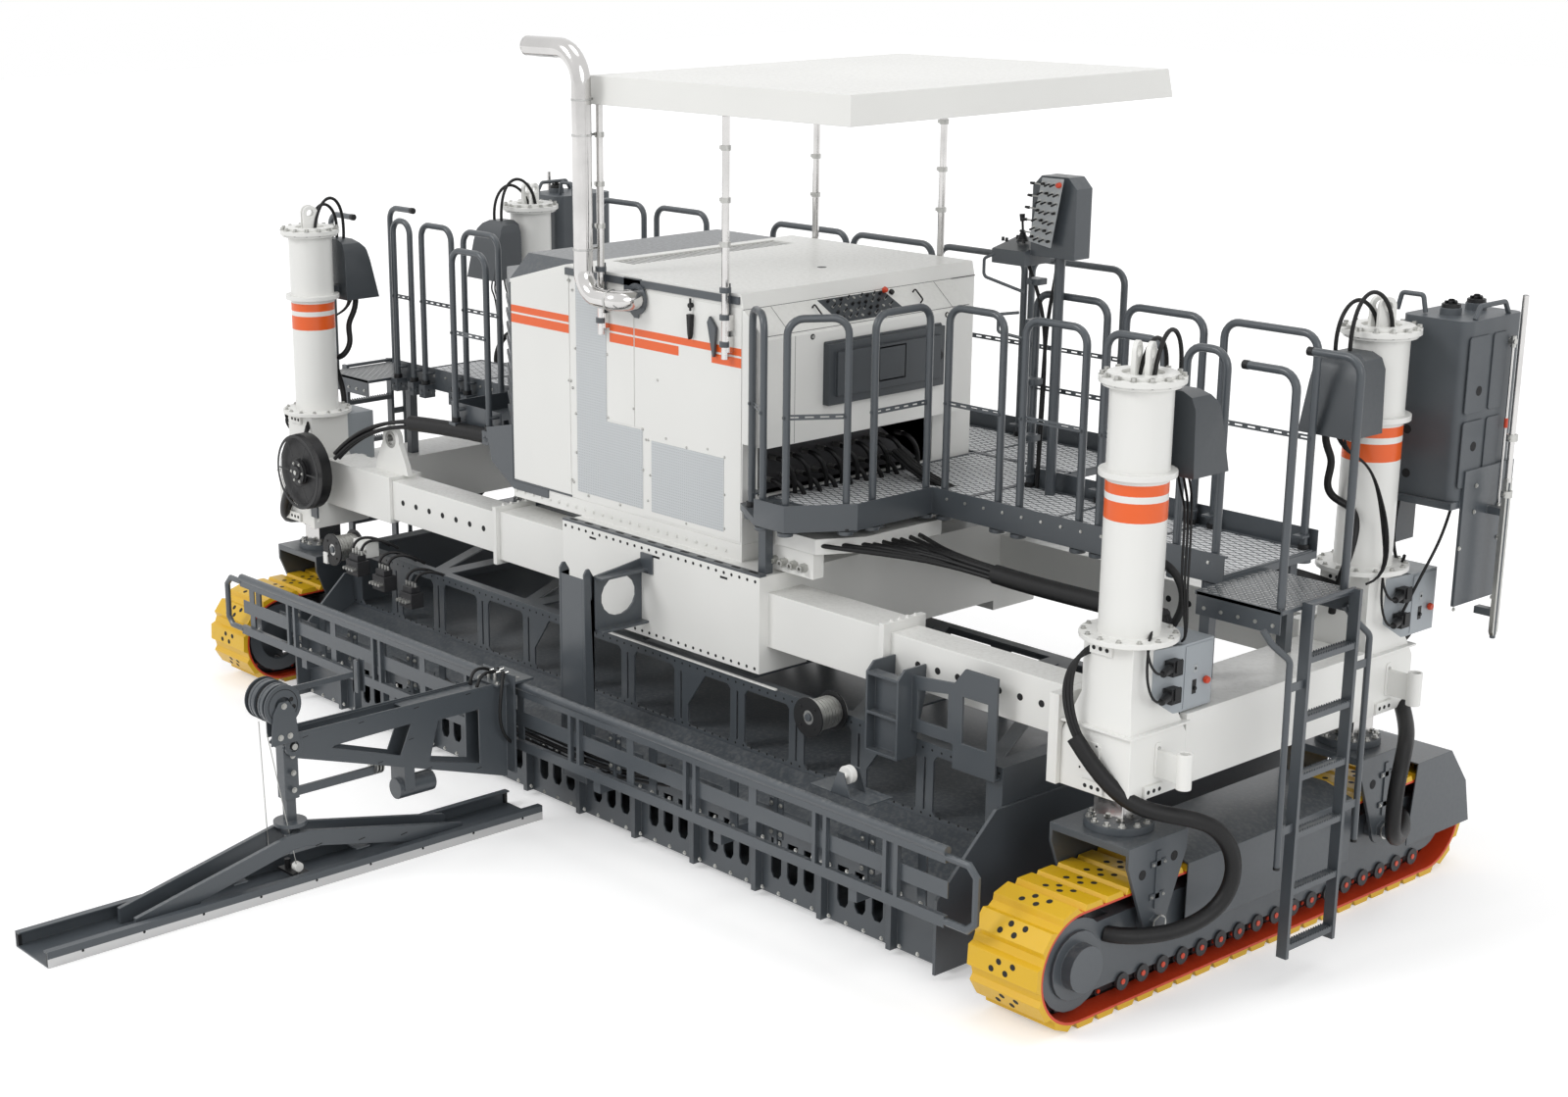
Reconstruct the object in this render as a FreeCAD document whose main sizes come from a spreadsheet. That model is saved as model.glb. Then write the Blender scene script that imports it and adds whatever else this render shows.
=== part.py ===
import FreeCAD, Part
import math
import os
import re
import Sketcher

# Slipform paver on two crawler tracks, in millimetres.
# X points to the machine's right, Y forward, Z up. Sizes are written in the machine's own
# coordinates, centred between the four lifting columns on the ground; each sub-part is then
# shifted along Y, so that the origin lies under the middle of the whole machine.

doc = FreeCAD.newDocument("slipform_paver")
sheet = doc.addObject("Spreadsheet::Sheet", "sizes")
values = {}
nodes = []
V = FreeCAD.Vector


def bound(text):
    """Turn an expression in size names into one that the document understands."""
    return re.sub(r"[A-Za-z_]\w*", lambda word: f"sizes.{word[0]}" if word[0] in values else word[0], str(text))


def number(text):
    """Read the present value of an expression in size names."""
    return float(sheet.evalExpression(bound(text))) if isinstance(text, str) else float(text)


crawler_sizes = {
    # crawler units
    "track_x": 3572, "shoe_width": 440, "shoe_count": 49, "pin_radius": 250, "wheel_rear_y": -1460,
    "wheel_span": 2940, "track_height": 640, "shoe_thickness": 32, "shoe_base": 12, "shoe_gap": 14,
    "shoe_chamfer": 16, "chain_width": 160, "chain_depth": 40, "frame_half_width": 178,
    "frame_bottom": 140, "frame_core_bottom": 250, "frame_top": 500, "side_plate": 38,
    "frame_core_end": 1180, "drive_disc_radius": 240, "drive_hub_radius": 150, "hub_clearance": 5,
    "sprocket_clearance": 3, "sprocket_width": 100, "sprocket_teeth": 15, "tooth_depth": 34,
    "drive_flange_radius": 178, "drive_cap_radius": 120, "drive_cap_reach": 222, "roller_radius": 55,
    "roller_pitch": 240, "rollers": 9, "running_gap": 0.3, "sheet_thickness": 8,
    "cover_half_length": 690, "cover_bottom": 300, "cover_edge_height": 655, "cover_height": 705,
    "cover_crown": 60, "shoe_side_clearance": 5, "nose_back": 1240, "nose_top_back": 1290,
    "nose_top_front": 1615, "nose_brow_y": 1783, "nose_brow_height": 492, "nose_front": 1845,
    "nose_bottom": 240,
    # legs and forks
    "column_y": 955, "ring_radius": 172, "ring_bottom": 860, "ring_thickness": 40, "leg_width": 180,
    "leg_top": 2350, "fork_plate": 20, "fork_gap": 8, "fork_top_thickness": 40, "fork_half_length": 225,
    "fork_pin_height": 420, "fork_foot_radius": 85, "fork_shoulder": 760, "fork_boss_radius": 60,
    "fork_nut_radius": 48, "fork_nut_length": 34,
    # lifting columns
    "tube_radius": 150, "passage_top": 2520, "tube_bottom": 1830, "tube_top": 3070,
    "foot_flange_radius": 240, "foot_flange": 26, "stop_ring_radius": 186, "stop_ring_height": 2625,
    "stop_ring": 30, "head_flange_radius": 205, "head_flange": 30, "seat_flange_radius": 188,
    "seat_flange": 16, "housing_bottom": 1070, "housing_half": 210, "housing_shoulder": 1350,
    "housing_neck": 1550, "neck_half": 150, "leg_clearance": 5, "lug_thickness": 24, "lug_gap": 44,
    "lug_radius": 52, "lug_eye_radius": 25, "lug_height": 110, "lug_turn": 20, "boss_reach": 370,
    "boss_radius": 38, "boss_bore": 25, "boss_bottom": 1150, "boss_height": 180, "boss_web": 22,
}
frame_sizes = {
    # white main frame
    "box_left": -570, "box_right": 1180, "box_rear": -1150, "box_bottom": 1090, "box_top": 1650,
    "box_depth": 370, "cross_width": 200, "beam_rear": -1085, "beam_depth": 260, "beam_bottom": 1240,
    "beam_top": 1555, "beam_left": -1330, "beam_right": 2100, "collar": 36, "collar_rim": 30,
    "inner_margin": 24, "side_flange_x": 3300, "side_flange": 62, "side_flange_top": 1530,
    "side_beam_half": 210, "side_beam_bottom": 1075, "side_beam_top": 1440, "left_module_right": -2520,
    "bed_bottom": 1650, "eye_x": -2648, "eye_radius": 95, "eye_bore": 50, "eye_height": 1780,
    "eye_thickness": 40, "eye_foot": 190,
    # engine hood
    "hood_left": -1250, "hood_rear": -1000, "hood_front": 860, "hood_bottom": 1750,
    "hood_low_top": 3020, "hood_peak_x": -700, "hood_top": 3165, "hood_brow_x": 850, "hood_brow": 3085,
    "hood_right": 1050, "hood_crease": 2935, "hood_chin": 2330, "hood_wall_x": 870, "hood_skin": 30,
    "brow_front": 650, "cap_lean": 150, "port_bottom": 2010, "port_margin": 120, "louvre_left": -620,
    "louvre_right": -420, "radiator_left": -1780, "radiator_rear": -620, "radiator_front": 480,
    "radiator_top": 3000, "louvre_depth": 15, "louvre_height": 30, "louvre_pitch": 90,
    "louvre_first": 60, "louvres": 13, "panel_rear": -560, "panel_front": 370, "panel_bottom": 2520,
    "panel_top": 2890, "panel_thickness": 70, "panel_hinge_radius": 12, "engine_left": -1000,
    "engine_right": 420, "engine_half": 430, "engine_top": 2640, "exhaust_radius": 58,
    "exhaust_y": -1152, "exhaust_x": -340, "exhaust_port_x": 0, "exhaust_port_height": 3040,
    "exhaust_top": 4270, "exhaust_tip_x": -830, "exhaust_tip_height": 4440, "canopy_left": -417,
    "canopy_right": 1737, "canopy_rear": -1069, "canopy_front": 1518, "canopy_bottom": 4125,
    "canopy_top": 4284, "canopy_taper": 22, "post_radius": 22, "post_rear_y": -1042,
    "post_front_y": 902, "post_rear_left": -310, "post_rear_right": 770, "post_front_left": -530,
    "post_front_right": 550, "post_bottom": 2800, "clamp_height": 90, "clamp_half": 34,
    # decks, rails and ladders
    "deck_top": 2000, "deck_thickness": 40, "toe_height": 110, "toe_thickness": 6, "walk_rear": -280,
    "walk_front": 500, "walk_right": 3600, "bay_right": 1640, "bay_rear": -1200, "bay_corner_x": 1420,
    "bay_corner_y": -860, "front_walk_front": 1480, "front_left": -3420, "left_bay_left": -2100, "left_bay_right": -1560, "landing_right": 4110,
    "landing_rear": -500, "landing_front": 90, "landing_thickness": 20, "deck_clearance": 6,
    "rail_radius": 21, "rail_height": 1115, "rail_bend": 90, "socket_reach": 55, "socket_width": 70,
    "socket_height": 90, "ladder_x": 4140.3, "ladder_rear": -350, "ladder_front": 60,
    "ladder_bottom": 160, "ladder_top": 2000, "ladder_hinge_x": 4125, "ladder_hinge_z": 1992,
    "ladder_hinge_radius": 12, "stile_depth": 60, "stile_width": 24, "rung_pitch": 300,
    "rung_height": 30, "rung_depth": 50, "prop_half": 30, "prop_x": 3480,
}
mould_sizes = {
    # mould
    "mould_half": 2960, "truss_rear": -1120, "truss_front": 560, "truss_bottom": 600, "truss_top": 1010,
    "truss_wall": 12, "bay_count": 12, "bay_post": 60, "bay_margin": 50, "bay_slope": 60, "bay_low": 24,
    "bay_chamfer": 22, "bay_slot": 14, "bay_brace": 150, "pan_bottom": 30, "pan_thickness": 20,
    "skirt_rear": -1500, "skirt_top": 430, "skirt_posts": 11, "skirt_post": 36, "skirt_post_depth": 50,
    "skirt_post_pitch": 512, "skirt_post_first": -2519, "slot_radius": 40, "slot_height": 230,
    "slot_pitch": 128, "slot_bottom": 130, "side_form": 20, "side_form_rear": -1600,
    "side_form_front": 1330, "side_form_top": 820, "side_form_bottom": 30, "mould_front": 620,
    "front_wall_top": 600, "auger_y": 950, "auger_height": 330, "auger_radius": 190, "auger_shaft": 55,
    "auger_pitch": 480, "auger_flats": 12, "flight": 12, "auger_end_gap": 12, "auger_hanger": 40,
    "hanger_plate": 16, "hanger_bottom": 690, "hanger_low": 930, "hanger_top": 1420,
    "hanger_right": 2245, "hanger_half": 118, "hanger_depth": 150, "hanger_cheek": 14, "bracket_x": 157,
    "bracket_plate": 14, "bracket_top": 1560, "bracket_bottom": 1180, "oval_half": 130,
    "outrigger_right": 2943, "outrigger_top": 1500,
}
finish_sizes = {
    # finishing beam and smoother
    "rail_beam_y": -1830, "rail_beam_half": 3250, "rail_beam_bottom": 455, "rail_beam_top": 850,
    "rail_tube_radius": 26, "rail_beam_depth": 30, "rail_post": 26, "rail_post_gap": 52,
    "rail_pitch": 1000, "rail_first": -2670, "strap_width": 60, "strap_thickness": 8,
    "flat_bottom": 600, "flat_height": 90, "guard_reach": 190, "guard_radius": 20, "bracket_width": 60,
    "carriage_x": -250, "carriage_half": 150, "carriage_plate": 14, "carriage_bottom": 330,
    "carriage_top": 930, "roller_gap": 0.3, "arm_half": 72, "arm_plate": 10, "arm_pivot_y": -3360,
    "arm_pivot_height": 820, "arm_end_radius": 70, "arm_root_bottom": 290, "arm_root_top": 880,
    "leg_half_x": 40, "leg_half_y": 45, "sleeve_bottom": 400, "leg_pin_radius": 25, "spool_radius": 115,
    "spool_height": 1075, "spool_y": -3430, "spool_width": 50, "motor_height": 375, "motor_radius": 62,
    "motor_seat_top": 545, "pan_left": -450, "pan_right": -80, "pan_rear": -4950, "pan_front": -1720,
    "pan_edge": 90, "smooth_pan_thickness": 10, "lip": 45, "apex_height": 300, "a_frame_rear": -4400,
    "a_frame_front": -2260, "a_frame_half": 105, "a_frame_width": 30, "swivel_radius": 95,
    "apex_pin_radius": 22,
    # drums, tanks and boxes
    "drum_radius": 110, "drum_core": 80, "drum_length": 190, "drum_flange": 12, "drum_height": 1030,
    "drum_y": -1230, "drum_right_x": 1760, "drum_left_x": -2880, "reel_x": -3275, "reel_y": -1255,
    "reel_height": 1500, "reel_radius": 262, "reel_thickness": 80, "reel_hub": 90, "reel_boss": 30,
    "spindle_radius": 22, "tank_left": 3530, "tank_right": 3930, "tank_rear": 1185, "tank_front": 1700,
    "tank_bottom": 2200, "tank_top": 3140, "tank_round": 60, "valve_left": 3430, "valve_width": 320,
    "valve_depth": 270, "valve_bottom": 2600, "valve_top": 3010, "junction_left": 3500,
    "junction_width": 260, "junction_depth": 230, "junction_bottom": 1450, "junction_height": 340,
    "mast_radius": 16, "mast_x": 4040, "mast_y": 1500, "mast_top": 3260, "mast_bottom": 1430,
    "console_x": 1900, "console_y": 405, "console_top": 3780, "console_base": 3340,
    "console_left": 1740, "console_right": 2050, "console_depth": 130, "desk_left": 1500,
}
for table in (crawler_sizes, frame_sizes, mould_sizes, finish_sizes):
    for name, size in table.items():
        row = len(values) + 1
        sheet.set(f"A{row}", name)
        sheet.set(f"B{row}", str(size))
        sheet.setAlias(f"B{row}", name)
        values[name] = size
doc.recompute()
tube_sides = 28
shift_y = "0 - (pan_rear + nose_front)/2"


def named(kind, name):
    return doc.addObject(kind, name)


def block(name, x, y, z):
    """A box between two limits on each axis."""
    box = named("Part::Box", name)
    for side, corner, (low, high) in (("Length", "x", x), ("Width", "y", y), ("Height", "z", z)):
        box.setExpression(side, bound(f"({high}) - ({low})"))
        box.setExpression(f"Placement.Base.{corner}", bound(low))
    return box


turns = {"X": FreeCAD.Rotation(V(0, 1, 0), 90), "Y": FreeCAD.Rotation(V(1, 0, 0), -90), "Z": FreeCAD.Rotation()}


def rod(name, axis, start, radius, length, sides=0):
    """A cylinder from a start point along one axis, or a bar with a number of flats."""
    cylinder = named("Part::Prism" if sides else "Part::Cylinder", name)
    cylinder.Placement = FreeCAD.Placement(V(), turns[axis])
    if sides:
        cylinder.Polygon = sides
    cylinder.setExpression("Circumradius" if sides else "Radius", bound(radius))
    cylinder.setExpression("Height", bound(length))
    for corner, place in zip("xyz", start):
        cylinder.setExpression(f"Placement.Base.{corner}", bound(place))
    return cylinder


def origin_plane(body, role):
    return next(feature for feature in body.Origin.OriginFeatures if feature.Role == role)


def outline(body, name, role, start, loops, rounds=()):
    """A sketch of closed polygons and circles, every point tied to the sheet."""
    sketch = body.newObject("Sketcher::SketchObject", name)
    sketch.AttachmentSupport = (origin_plane(body, role), [""])
    sketch.MapMode = "FlatFace"
    sketch.setExpression(".AttachmentOffset.Base.z", bound(start))
    for loop in loops:
        first = sketch.GeometryCount
        points = [V(number(across), number(up), 0) for across, up in loop]
        for index, point in enumerate(points):
            sketch.addGeometry(Part.LineSegment(point, points[(index + 1) % len(points)]))
        for index in range(len(points)):
            following = first + (index + 1) % len(points)
            sketch.addConstraint(Sketcher.Constraint("Coincident", first + index, 2, following, 1))
        for index, ends in enumerate(loop):
            for kind, text, value in zip(("DistanceX", "DistanceY"), ends, points[index]):
                tie = sketch.addConstraint(Sketcher.Constraint(kind, -1, 1, first + index, 1, value))
                sketch.setExpression(f"Constraints[{tie}]", bound(text))
    for across, up, radius in rounds:
        centre = V(number(across), number(up), 0)
        circle = sketch.addGeometry(Part.Circle(centre, V(0, 0, 1), number(radius)))
        for kind, text, value in (("DistanceX", across, centre.x), ("DistanceY", up, centre.y)):
            tie = sketch.addConstraint(Sketcher.Constraint(kind, -1, 1, circle, 3, value))
            sketch.setExpression(f"Constraints[{tie}]", bound(text))
        tie = sketch.addConstraint(Sketcher.Constraint("Radius", circle, number(radius)))
        sketch.setExpression(f"Constraints[{tie}]", bound(radius))
    return sketch


def slab(name, role, start, thickness, loops, rounds=()):
    """A padded outline. XZ outlines grow towards -Y from y = -start, YZ ones towards +X, XY ones up."""
    body = named("PartDesign::Body", name)
    sketch = outline(body, name + "_outline", role, start, loops, rounds)
    pad = body.newObject("PartDesign::Pad", name + "_pad")
    pad.Profile = sketch
    pad.setExpression("Length", bound(thickness))
    body.Tip = pad
    return body


def wall(name, y, thickness, loops, rounds=()):
    """A plate in the XZ plane whose front face is at y and whose back is thickness behind it."""
    return slab(name, "XZ_Plane", f"-({y})", thickness, loops, rounds)


def cheek(name, x, thickness, loops, rounds=()):
    """A plate in the YZ plane from x to x + thickness."""
    return slab(name, "YZ_Plane", x, thickness, loops, rounds)


def sheet_plate(name, z, thickness, loops, rounds=()):
    """A level plate from z up."""
    return slab(name, "XY_Plane", z, thickness, loops, rounds)


def joined(name, pieces, cuts=()):
    """Pieces that touch become one solid; cuts are taken away."""
    whole = pieces[0]
    if len(pieces) > 1:
        whole = named("Part::MultiFuse", name + "_pieces" if cuts else name)
        whole.Shapes = pieces
    if cuts:
        tool = cuts[0]
        if len(cuts) > 1:
            tool = named("Part::MultiFuse", name + "_cuts")
            tool.Shapes = cuts
        solid = named("Part::Cut", name)
        solid.Base = whole
        solid.Tool = tool
        whole = solid
    return whole


def group(name, pieces):
    """Like pieces of one body that don't touch, kept as one sub-part."""
    together = named("Part::Compound", name)
    together.Links = pieces
    return together


def node(label, solid):
    """Register a sub-part and shift it to the part's own origin."""
    if solid.TypeId in ("Part::Box", "PartDesign::Body"):
        solid = group(label + "_node", [solid])
    solid.Label = label
    solid.setExpression("Placement.Base.y", bound(shift_y))
    nodes.append((label, solid))
    return solid


def mirrored(label, solid, normal=V(1, 0, 0)):
    """The same sub-part on the other side of the machine."""
    twin = named("Part::Mirroring", label)
    twin.Source = solid
    twin.Normal = normal
    twin.Label = label
    nodes.append((label, twin))
    return twin


def copied(name, solid, axis, step, count):
    """Copies of a solid along one axis, each tied to the pitch."""
    copies = []
    for index in range(count):
        link = named("Part::Compound", f"{name}_{index + 1}")
        link.Links = [solid]
        link.setExpression(f"Placement.Base.{axis}", bound(f"({step})*{index}"))
        copies.append(link)
    return copies


def pipe(name, points, radius, sides=8):
    """A tube with flats along straight runs with mitred corners."""
    path = Part.makePolygon([V(*(number(value) for value in point)) for point in points])
    start, heading = path.Vertexes[0].Point, path.Edges[0].tangentAt(0)
    across = heading.cross(V(0, 0, 1) if abs(heading.z) < 0.9 else V(0, 1, 0)).normalize() * number(radius)
    corners = []
    for index in range(sides + 1):
        corners.append(start + FreeCAD.Rotation(heading, 360 * (index + 0.5) / sides).multVec(across))
    profile = Part.makePolygon(corners[:-1] + corners[:1])
    maker = Part.BRepOffsetAPI.MakePipeShell(path)
    maker.setTransitionMode(1)
    maker.add(profile)
    maker.build()
    maker.makeSolid()
    tube = named("Part::Feature", name)
    tube.Shape = maker.shape()
    return tube


# Crawler units. The right one is drawn about its own middle plane; the left one mirrors it.
def loop_place(travel, radius, length, offset, rear, height):
    """Point and heading on the chain loop after a travel, at an offset outside the pin line."""
    arc = math.pi * radius
    travel = travel % (2 * length + 2 * arc)
    if travel < length:
        return V(0, rear + travel, height + radius + offset), V(0, 1, 0)
    travel -= length
    if travel < arc:
        angle = math.pi / 2 - travel / radius
        out = V(0, math.cos(angle), math.sin(angle))
        return V(0, rear + length, height) + out * (radius + offset), V(0, math.sin(angle), -math.cos(angle))
    travel -= arc
    if travel < length:
        return V(0, rear + length - travel, height - radius - offset), V(0, -1, 0)
    travel -= length
    angle = -math.pi / 2 - travel / radius
    out = V(0, math.cos(angle), math.sin(angle))
    return V(0, rear, height) + out * (radius + offset), V(0, math.sin(angle), -math.cos(angle))


def stadium(radius, length, rear, height, left, width):
    """A round-ended solid about the loop's middle, its ends in even steps, across the track's width."""
    points = []
    for middle, start in ((rear + length, 90), (rear, -90)):
        for step in range(19):
            angle = math.radians(start - 10 * step)
            points.append(V(left, middle + radius * math.cos(angle), height + radius * math.sin(angle)))
    return Part.Face(Part.makePolygon(points + points[:1])).extrude(V(width, 0, 0))


pin_radius = number("pin_radius")
wheel_height = number("track_height/2")
wheel_rear_y = number("wheel_rear_y")
shoe_outside = wheel_height - pin_radius
shoe_pitch = 2 * (math.pi * pin_radius + number("wheel_span")) / number("shoe_count")
loop_length = (shoe_pitch * number("shoe_count") - 2 * math.pi * pin_radius) / 2
wheel_front_y = wheel_rear_y + loop_length


def track_loop(name):
    """The shoes and their plates as one outline, with the narrower chain inside."""
    half = (shoe_pitch - number("shoe_gap")) / 2
    chamfer = number("shoe_chamfer")
    base = shoe_outside - number("shoe_thickness")
    points = []
    for index in range(int(number("shoe_count"))):
        place, along = loop_place((index + 0.5) * shoe_pitch, pin_radius, loop_length, 0, wheel_rear_y, wheel_height)
        out = V(0, -along.z, along.y)
        for step, rise in ((-half, base), (chamfer - half, shoe_outside), (half - chamfer, shoe_outside), (half, base)):
            points.append(place + along * step + out * rise)
    left = number("track_x - shoe_width/2")
    width = number("shoe_width")
    outer = Part.Face(Part.makePolygon(points + points[:1])).extrude(V(width, 0, 0))
    outer.translate(V(left, 0, 0))
    inside = pin_radius + base - number("shoe_base")
    hole = stadium(inside, loop_length, wheel_rear_y, wheel_height, left, width)
    chain_left = number("track_x - chain_width/2")
    chain = stadium(inside + 1, loop_length, wheel_rear_y, wheel_height, chain_left, number("chain_width"))
    bore = stadium(pin_radius - number("chain_depth"), loop_length, wheel_rear_y, wheel_height, chain_left,
                   number("chain_width"))
    loop = named("Part::Feature", name)
    loop.Shape = outer.cut(hole).fuse(chain.cut(bore)).removeSplitter()
    return loop


track_wheel = ("track_x", "wheel_rear_y", "track_height/2")
front_wheel_y = f"wheel_rear_y + {loop_length}"
inner_face = "track_x - frame_half_width"
outer_face = "track_x + frame_half_width"

right_track = node("right_track", track_loop("track_outline"))
mirrored("left_track", right_track)


def track_frame():
    """Box girder inside the loop, with side plates that carry the drive, idler and rollers."""
    core = block("frame_core", (inner_face, outer_face), ("0 - frame_core_end", "frame_core_end"),
                 ("frame_core_bottom", "frame_top"))
    parts = [core]
    for side, start in (("inner", inner_face), ("outer", f"{outer_face} - side_plate")):
        strip = block(f"frame_{side}_strip", (start, f"{start} + side_plate"), ("wheel_rear_y", front_wheel_y),
                      ("frame_bottom", "frame_top"))
        rear = rod(f"frame_{side}_rear", "X", (start, *track_wheel[1:]), "drive_disc_radius", "side_plate", 24)
        front = rod(f"frame_{side}_front", "X", (start, front_wheel_y, "track_height/2"),
                    "(frame_top - frame_bottom)/2", "side_plate", 24)
        parts += [strip, rear, front]
    hub = rod("frame_hub_hole", "X", (f"{inner_face} - 1", *track_wheel[1:]),
              "drive_hub_radius + hub_clearance", "2*frame_half_width + 2", 24)
    return joined("track_frame", parts, [hub])


right_frame = node("right_track_frame", track_frame())
mirrored("left_track_frame", right_frame)


def drive():
    """Toothed sprocket, hub motor and its bolted flange on the outer side plate."""
    tip = number("pin_radius - chain_depth - sprocket_clearance")
    teeth = int(number("sprocket_teeth"))
    loop = []
    for step in range(4 * teeth):
        angle = 360 / (4 * teeth) * (step + 0.5)
        reach = f"({tip} - {'0' if step % 4 in (0, 1) else 'tooth_depth'})"
        loop.append((f"wheel_rear_y + {reach}*{math.cos(math.radians(angle))}",
                     f"track_height/2 + {reach}*{math.sin(math.radians(angle))}"))
    parts = [cheek("sprocket", "track_x - sprocket_width/2", "sprocket_width", [loop])]
    for name, radius, start, end in (("hub", "drive_hub_radius", "sprocket_width/2", "frame_half_width"),
                                     ("flange", "drive_flange_radius", "frame_half_width", "frame_half_width + 16"),
                                     ("cap", "drive_cap_radius", "frame_half_width + 16", "drive_cap_reach")):
        parts.append(rod(f"drive_{name}", "X", (f"track_x + {start}", *track_wheel[1:]), radius, f"({end}) - {start}", 20))
    return joined("drive", parts)


def idler():
    """Front wheel on an axle that ends against the side plates."""
    rim = "pin_radius - chain_depth - sprocket_clearance"
    axle = "frame_half_width - side_plate"
    return joined("idler", [
        rod("idler_rim", "X", ("track_x - sprocket_width/2", front_wheel_y, "track_height/2"), rim, "sprocket_width", 24),
        rod("idler_axle", "X", (f"track_x - ({axle})", front_wheel_y, "track_height/2"), "roller_radius",
            f"2*({axle})", 8)])


def track_wheels():
    """Drive, front idler and the row of bottom rollers that run on the chain."""
    axle = "frame_half_width - side_plate"
    height = "track_height/2 - pin_radius + chain_depth + running_gap + roller_radius"
    first = rod("track_roller", "X", (f"track_x - ({axle})", "0 - roller_pitch*(rollers - 1)/2", height),
                "roller_radius", f"2*({axle})", 10)
    return group("wheel_set", [drive(), idler()] + copied("roller", first, "y", "roller_pitch", int(number("rollers"))))


right_wheels = node("right_track_wheels", track_wheels())
mirrored("left_track_wheels", right_wheels)


def track_covers():
    """Channel over the upper run, and the pointed cover over the front wheel."""
    half = "(shoe_width/2 + shoe_side_clearance)"
    skin = "sheet_thickness"
    frame_side = "frame_half_width"
    section = [(f"track_x + {across}", up) for across, up in (
        (frame_side, "cover_bottom"), (f"{half} + {skin}", "cover_bottom"), (f"{half} + {skin}", "cover_edge_height"),
        ("cover_crown", "cover_height"), (f"0 - {half} - {skin}", "cover_height"),
        (f"0 - {half} - {skin}", "cover_bottom"), (f"0 - {frame_side}", "cover_bottom"),
        (f"0 - {frame_side}", f"cover_bottom + {skin}"), (f"0 - {half}", f"cover_bottom + {skin}"),
        (f"0 - {half}", f"cover_height - {skin}"), (f"cover_crown - 2", f"cover_height - {skin}"),
        (half, f"cover_edge_height - {skin}"), (half, f"cover_bottom + {skin}"),
        (frame_side, f"cover_bottom + {skin}"))]
    channel = wall("cover_channel", "cover_half_length", "2*cover_half_length", [section])
    nose = [("nose_back", "cover_bottom"), ("nose_top_back", "cover_height"), ("nose_top_front", "cover_height"),
            ("nose_brow_y", "nose_brow_height"), ("nose_front", "nose_bottom"), ("nose_back", "nose_bottom")]
    inside = [("nose_back - 1", "nose_bottom - 1"), ("nose_back - 1", f"cover_height - {skin}"),
              (f"nose_top_front - {skin}/2", f"cover_height - {skin}"), (f"nose_brow_y - {skin}", "nose_brow_height"),
              (f"nose_front - {skin}", "nose_bottom - 1")]
    outer = cheek("nose_outside", f"track_x - {half} - {skin}", f"2*({half} + {skin})", [nose])
    inner = cheek("nose_inside", f"track_x - {half}", f"2*({half})", [inside])
    webs = []
    for side, sign in (("inner", "-1"), ("outer", "1")):
        face, plate = f"track_x + {sign}*frame_half_width", f"track_x + {sign}*({half} + {skin}/2)"
        low, high = (plate, face) if sign == "-1" else (face, plate)
        webs.append(block(f"nose_{side}_web", (low, high), ("nose_top_back", "nose_top_back + 60"),
                          ("cover_bottom", f"cover_bottom + {skin}")))
    shell = joined("nose_cover", [joined("nose_shell", [outer], [inner])] + webs)
    return group("covers", [channel, shell])


right_covers = node("right_track_covers", track_covers())
mirrored("left_track_covers", right_covers)


def fork(name, facing):
    """Yoke over the track: top plate, two tapered cheeks with pin bosses and nuts."""
    middle = f"{facing}*column_y"
    reach = "shoe_width/2 + fork_gap"
    high = "ring_bottom"
    low = "ring_bottom - fork_top_thickness"
    top = block(f"{name}_top", (f"track_x - ({reach}) - fork_plate", f"track_x + {reach} + fork_plate"),
                (f"{middle} - fork_half_length", f"{middle} + fork_half_length"), (low, high))
    shape = [(f"{middle} - fork_half_length", low), (f"{middle} - fork_half_length", "fork_shoulder"),
             (f"{middle} - fork_foot_radius", "fork_pin_height"), (f"{middle} + fork_foot_radius", "fork_pin_height"),
             (f"{middle} + fork_half_length", "fork_shoulder"), (f"{middle} + fork_half_length", low)]
    parts = [top]
    for side, start, boss, nut in (
            ("inner", f"track_x - ({reach}) - fork_plate", f"track_x - ({reach})",
             f"track_x - ({reach}) - fork_plate - fork_nut_length"),
            ("outer", f"track_x + {reach}", outer_face, f"track_x + {reach} + fork_plate")):
        gap = f"{reach} - frame_half_width"
        parts.append(cheek(f"{name}_{side}", start, "fork_plate", [shape]))
        parts.append(rod(f"{name}_{side}_foot", "X", (start, middle, "fork_pin_height"), "fork_foot_radius",
                         "fork_plate", 18))
        parts.append(rod(f"{name}_{side}_boss", "X", (boss, middle, "fork_pin_height"), "fork_boss_radius", gap, 12))
        parts.append(rod(f"{name}_{side}_nut", "X", (nut, middle, "fork_pin_height"), "fork_nut_radius",
                         "fork_nut_length", 6))
    return joined(name, parts)


right_forks = node("right_forks", group("both_forks", [fork("rear_fork", "-1"), fork("front_fork", "1")]))
mirrored("left_forks", right_forks)


def leg(name, facing):
    """Square inner leg on its slewing ring."""
    middle = f"{facing}*column_y"
    ring = rod(f"{name}_ring", "Z", ("track_x", middle, "ring_bottom"), "ring_radius", "ring_thickness", 28)
    bar = block(f"{name}_bar", ("track_x - leg_width/2", "track_x + leg_width/2"),
                (f"{middle} - leg_width/2", f"{middle} + leg_width/2"), ("ring_bottom + ring_thickness", "leg_top"))
    return joined(name, [ring, bar])


right_legs = node("right_legs", group("both_legs", [leg("rear_leg", "-1"), leg("front_leg", "1")]))
mirrored("left_legs", right_legs)


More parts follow.
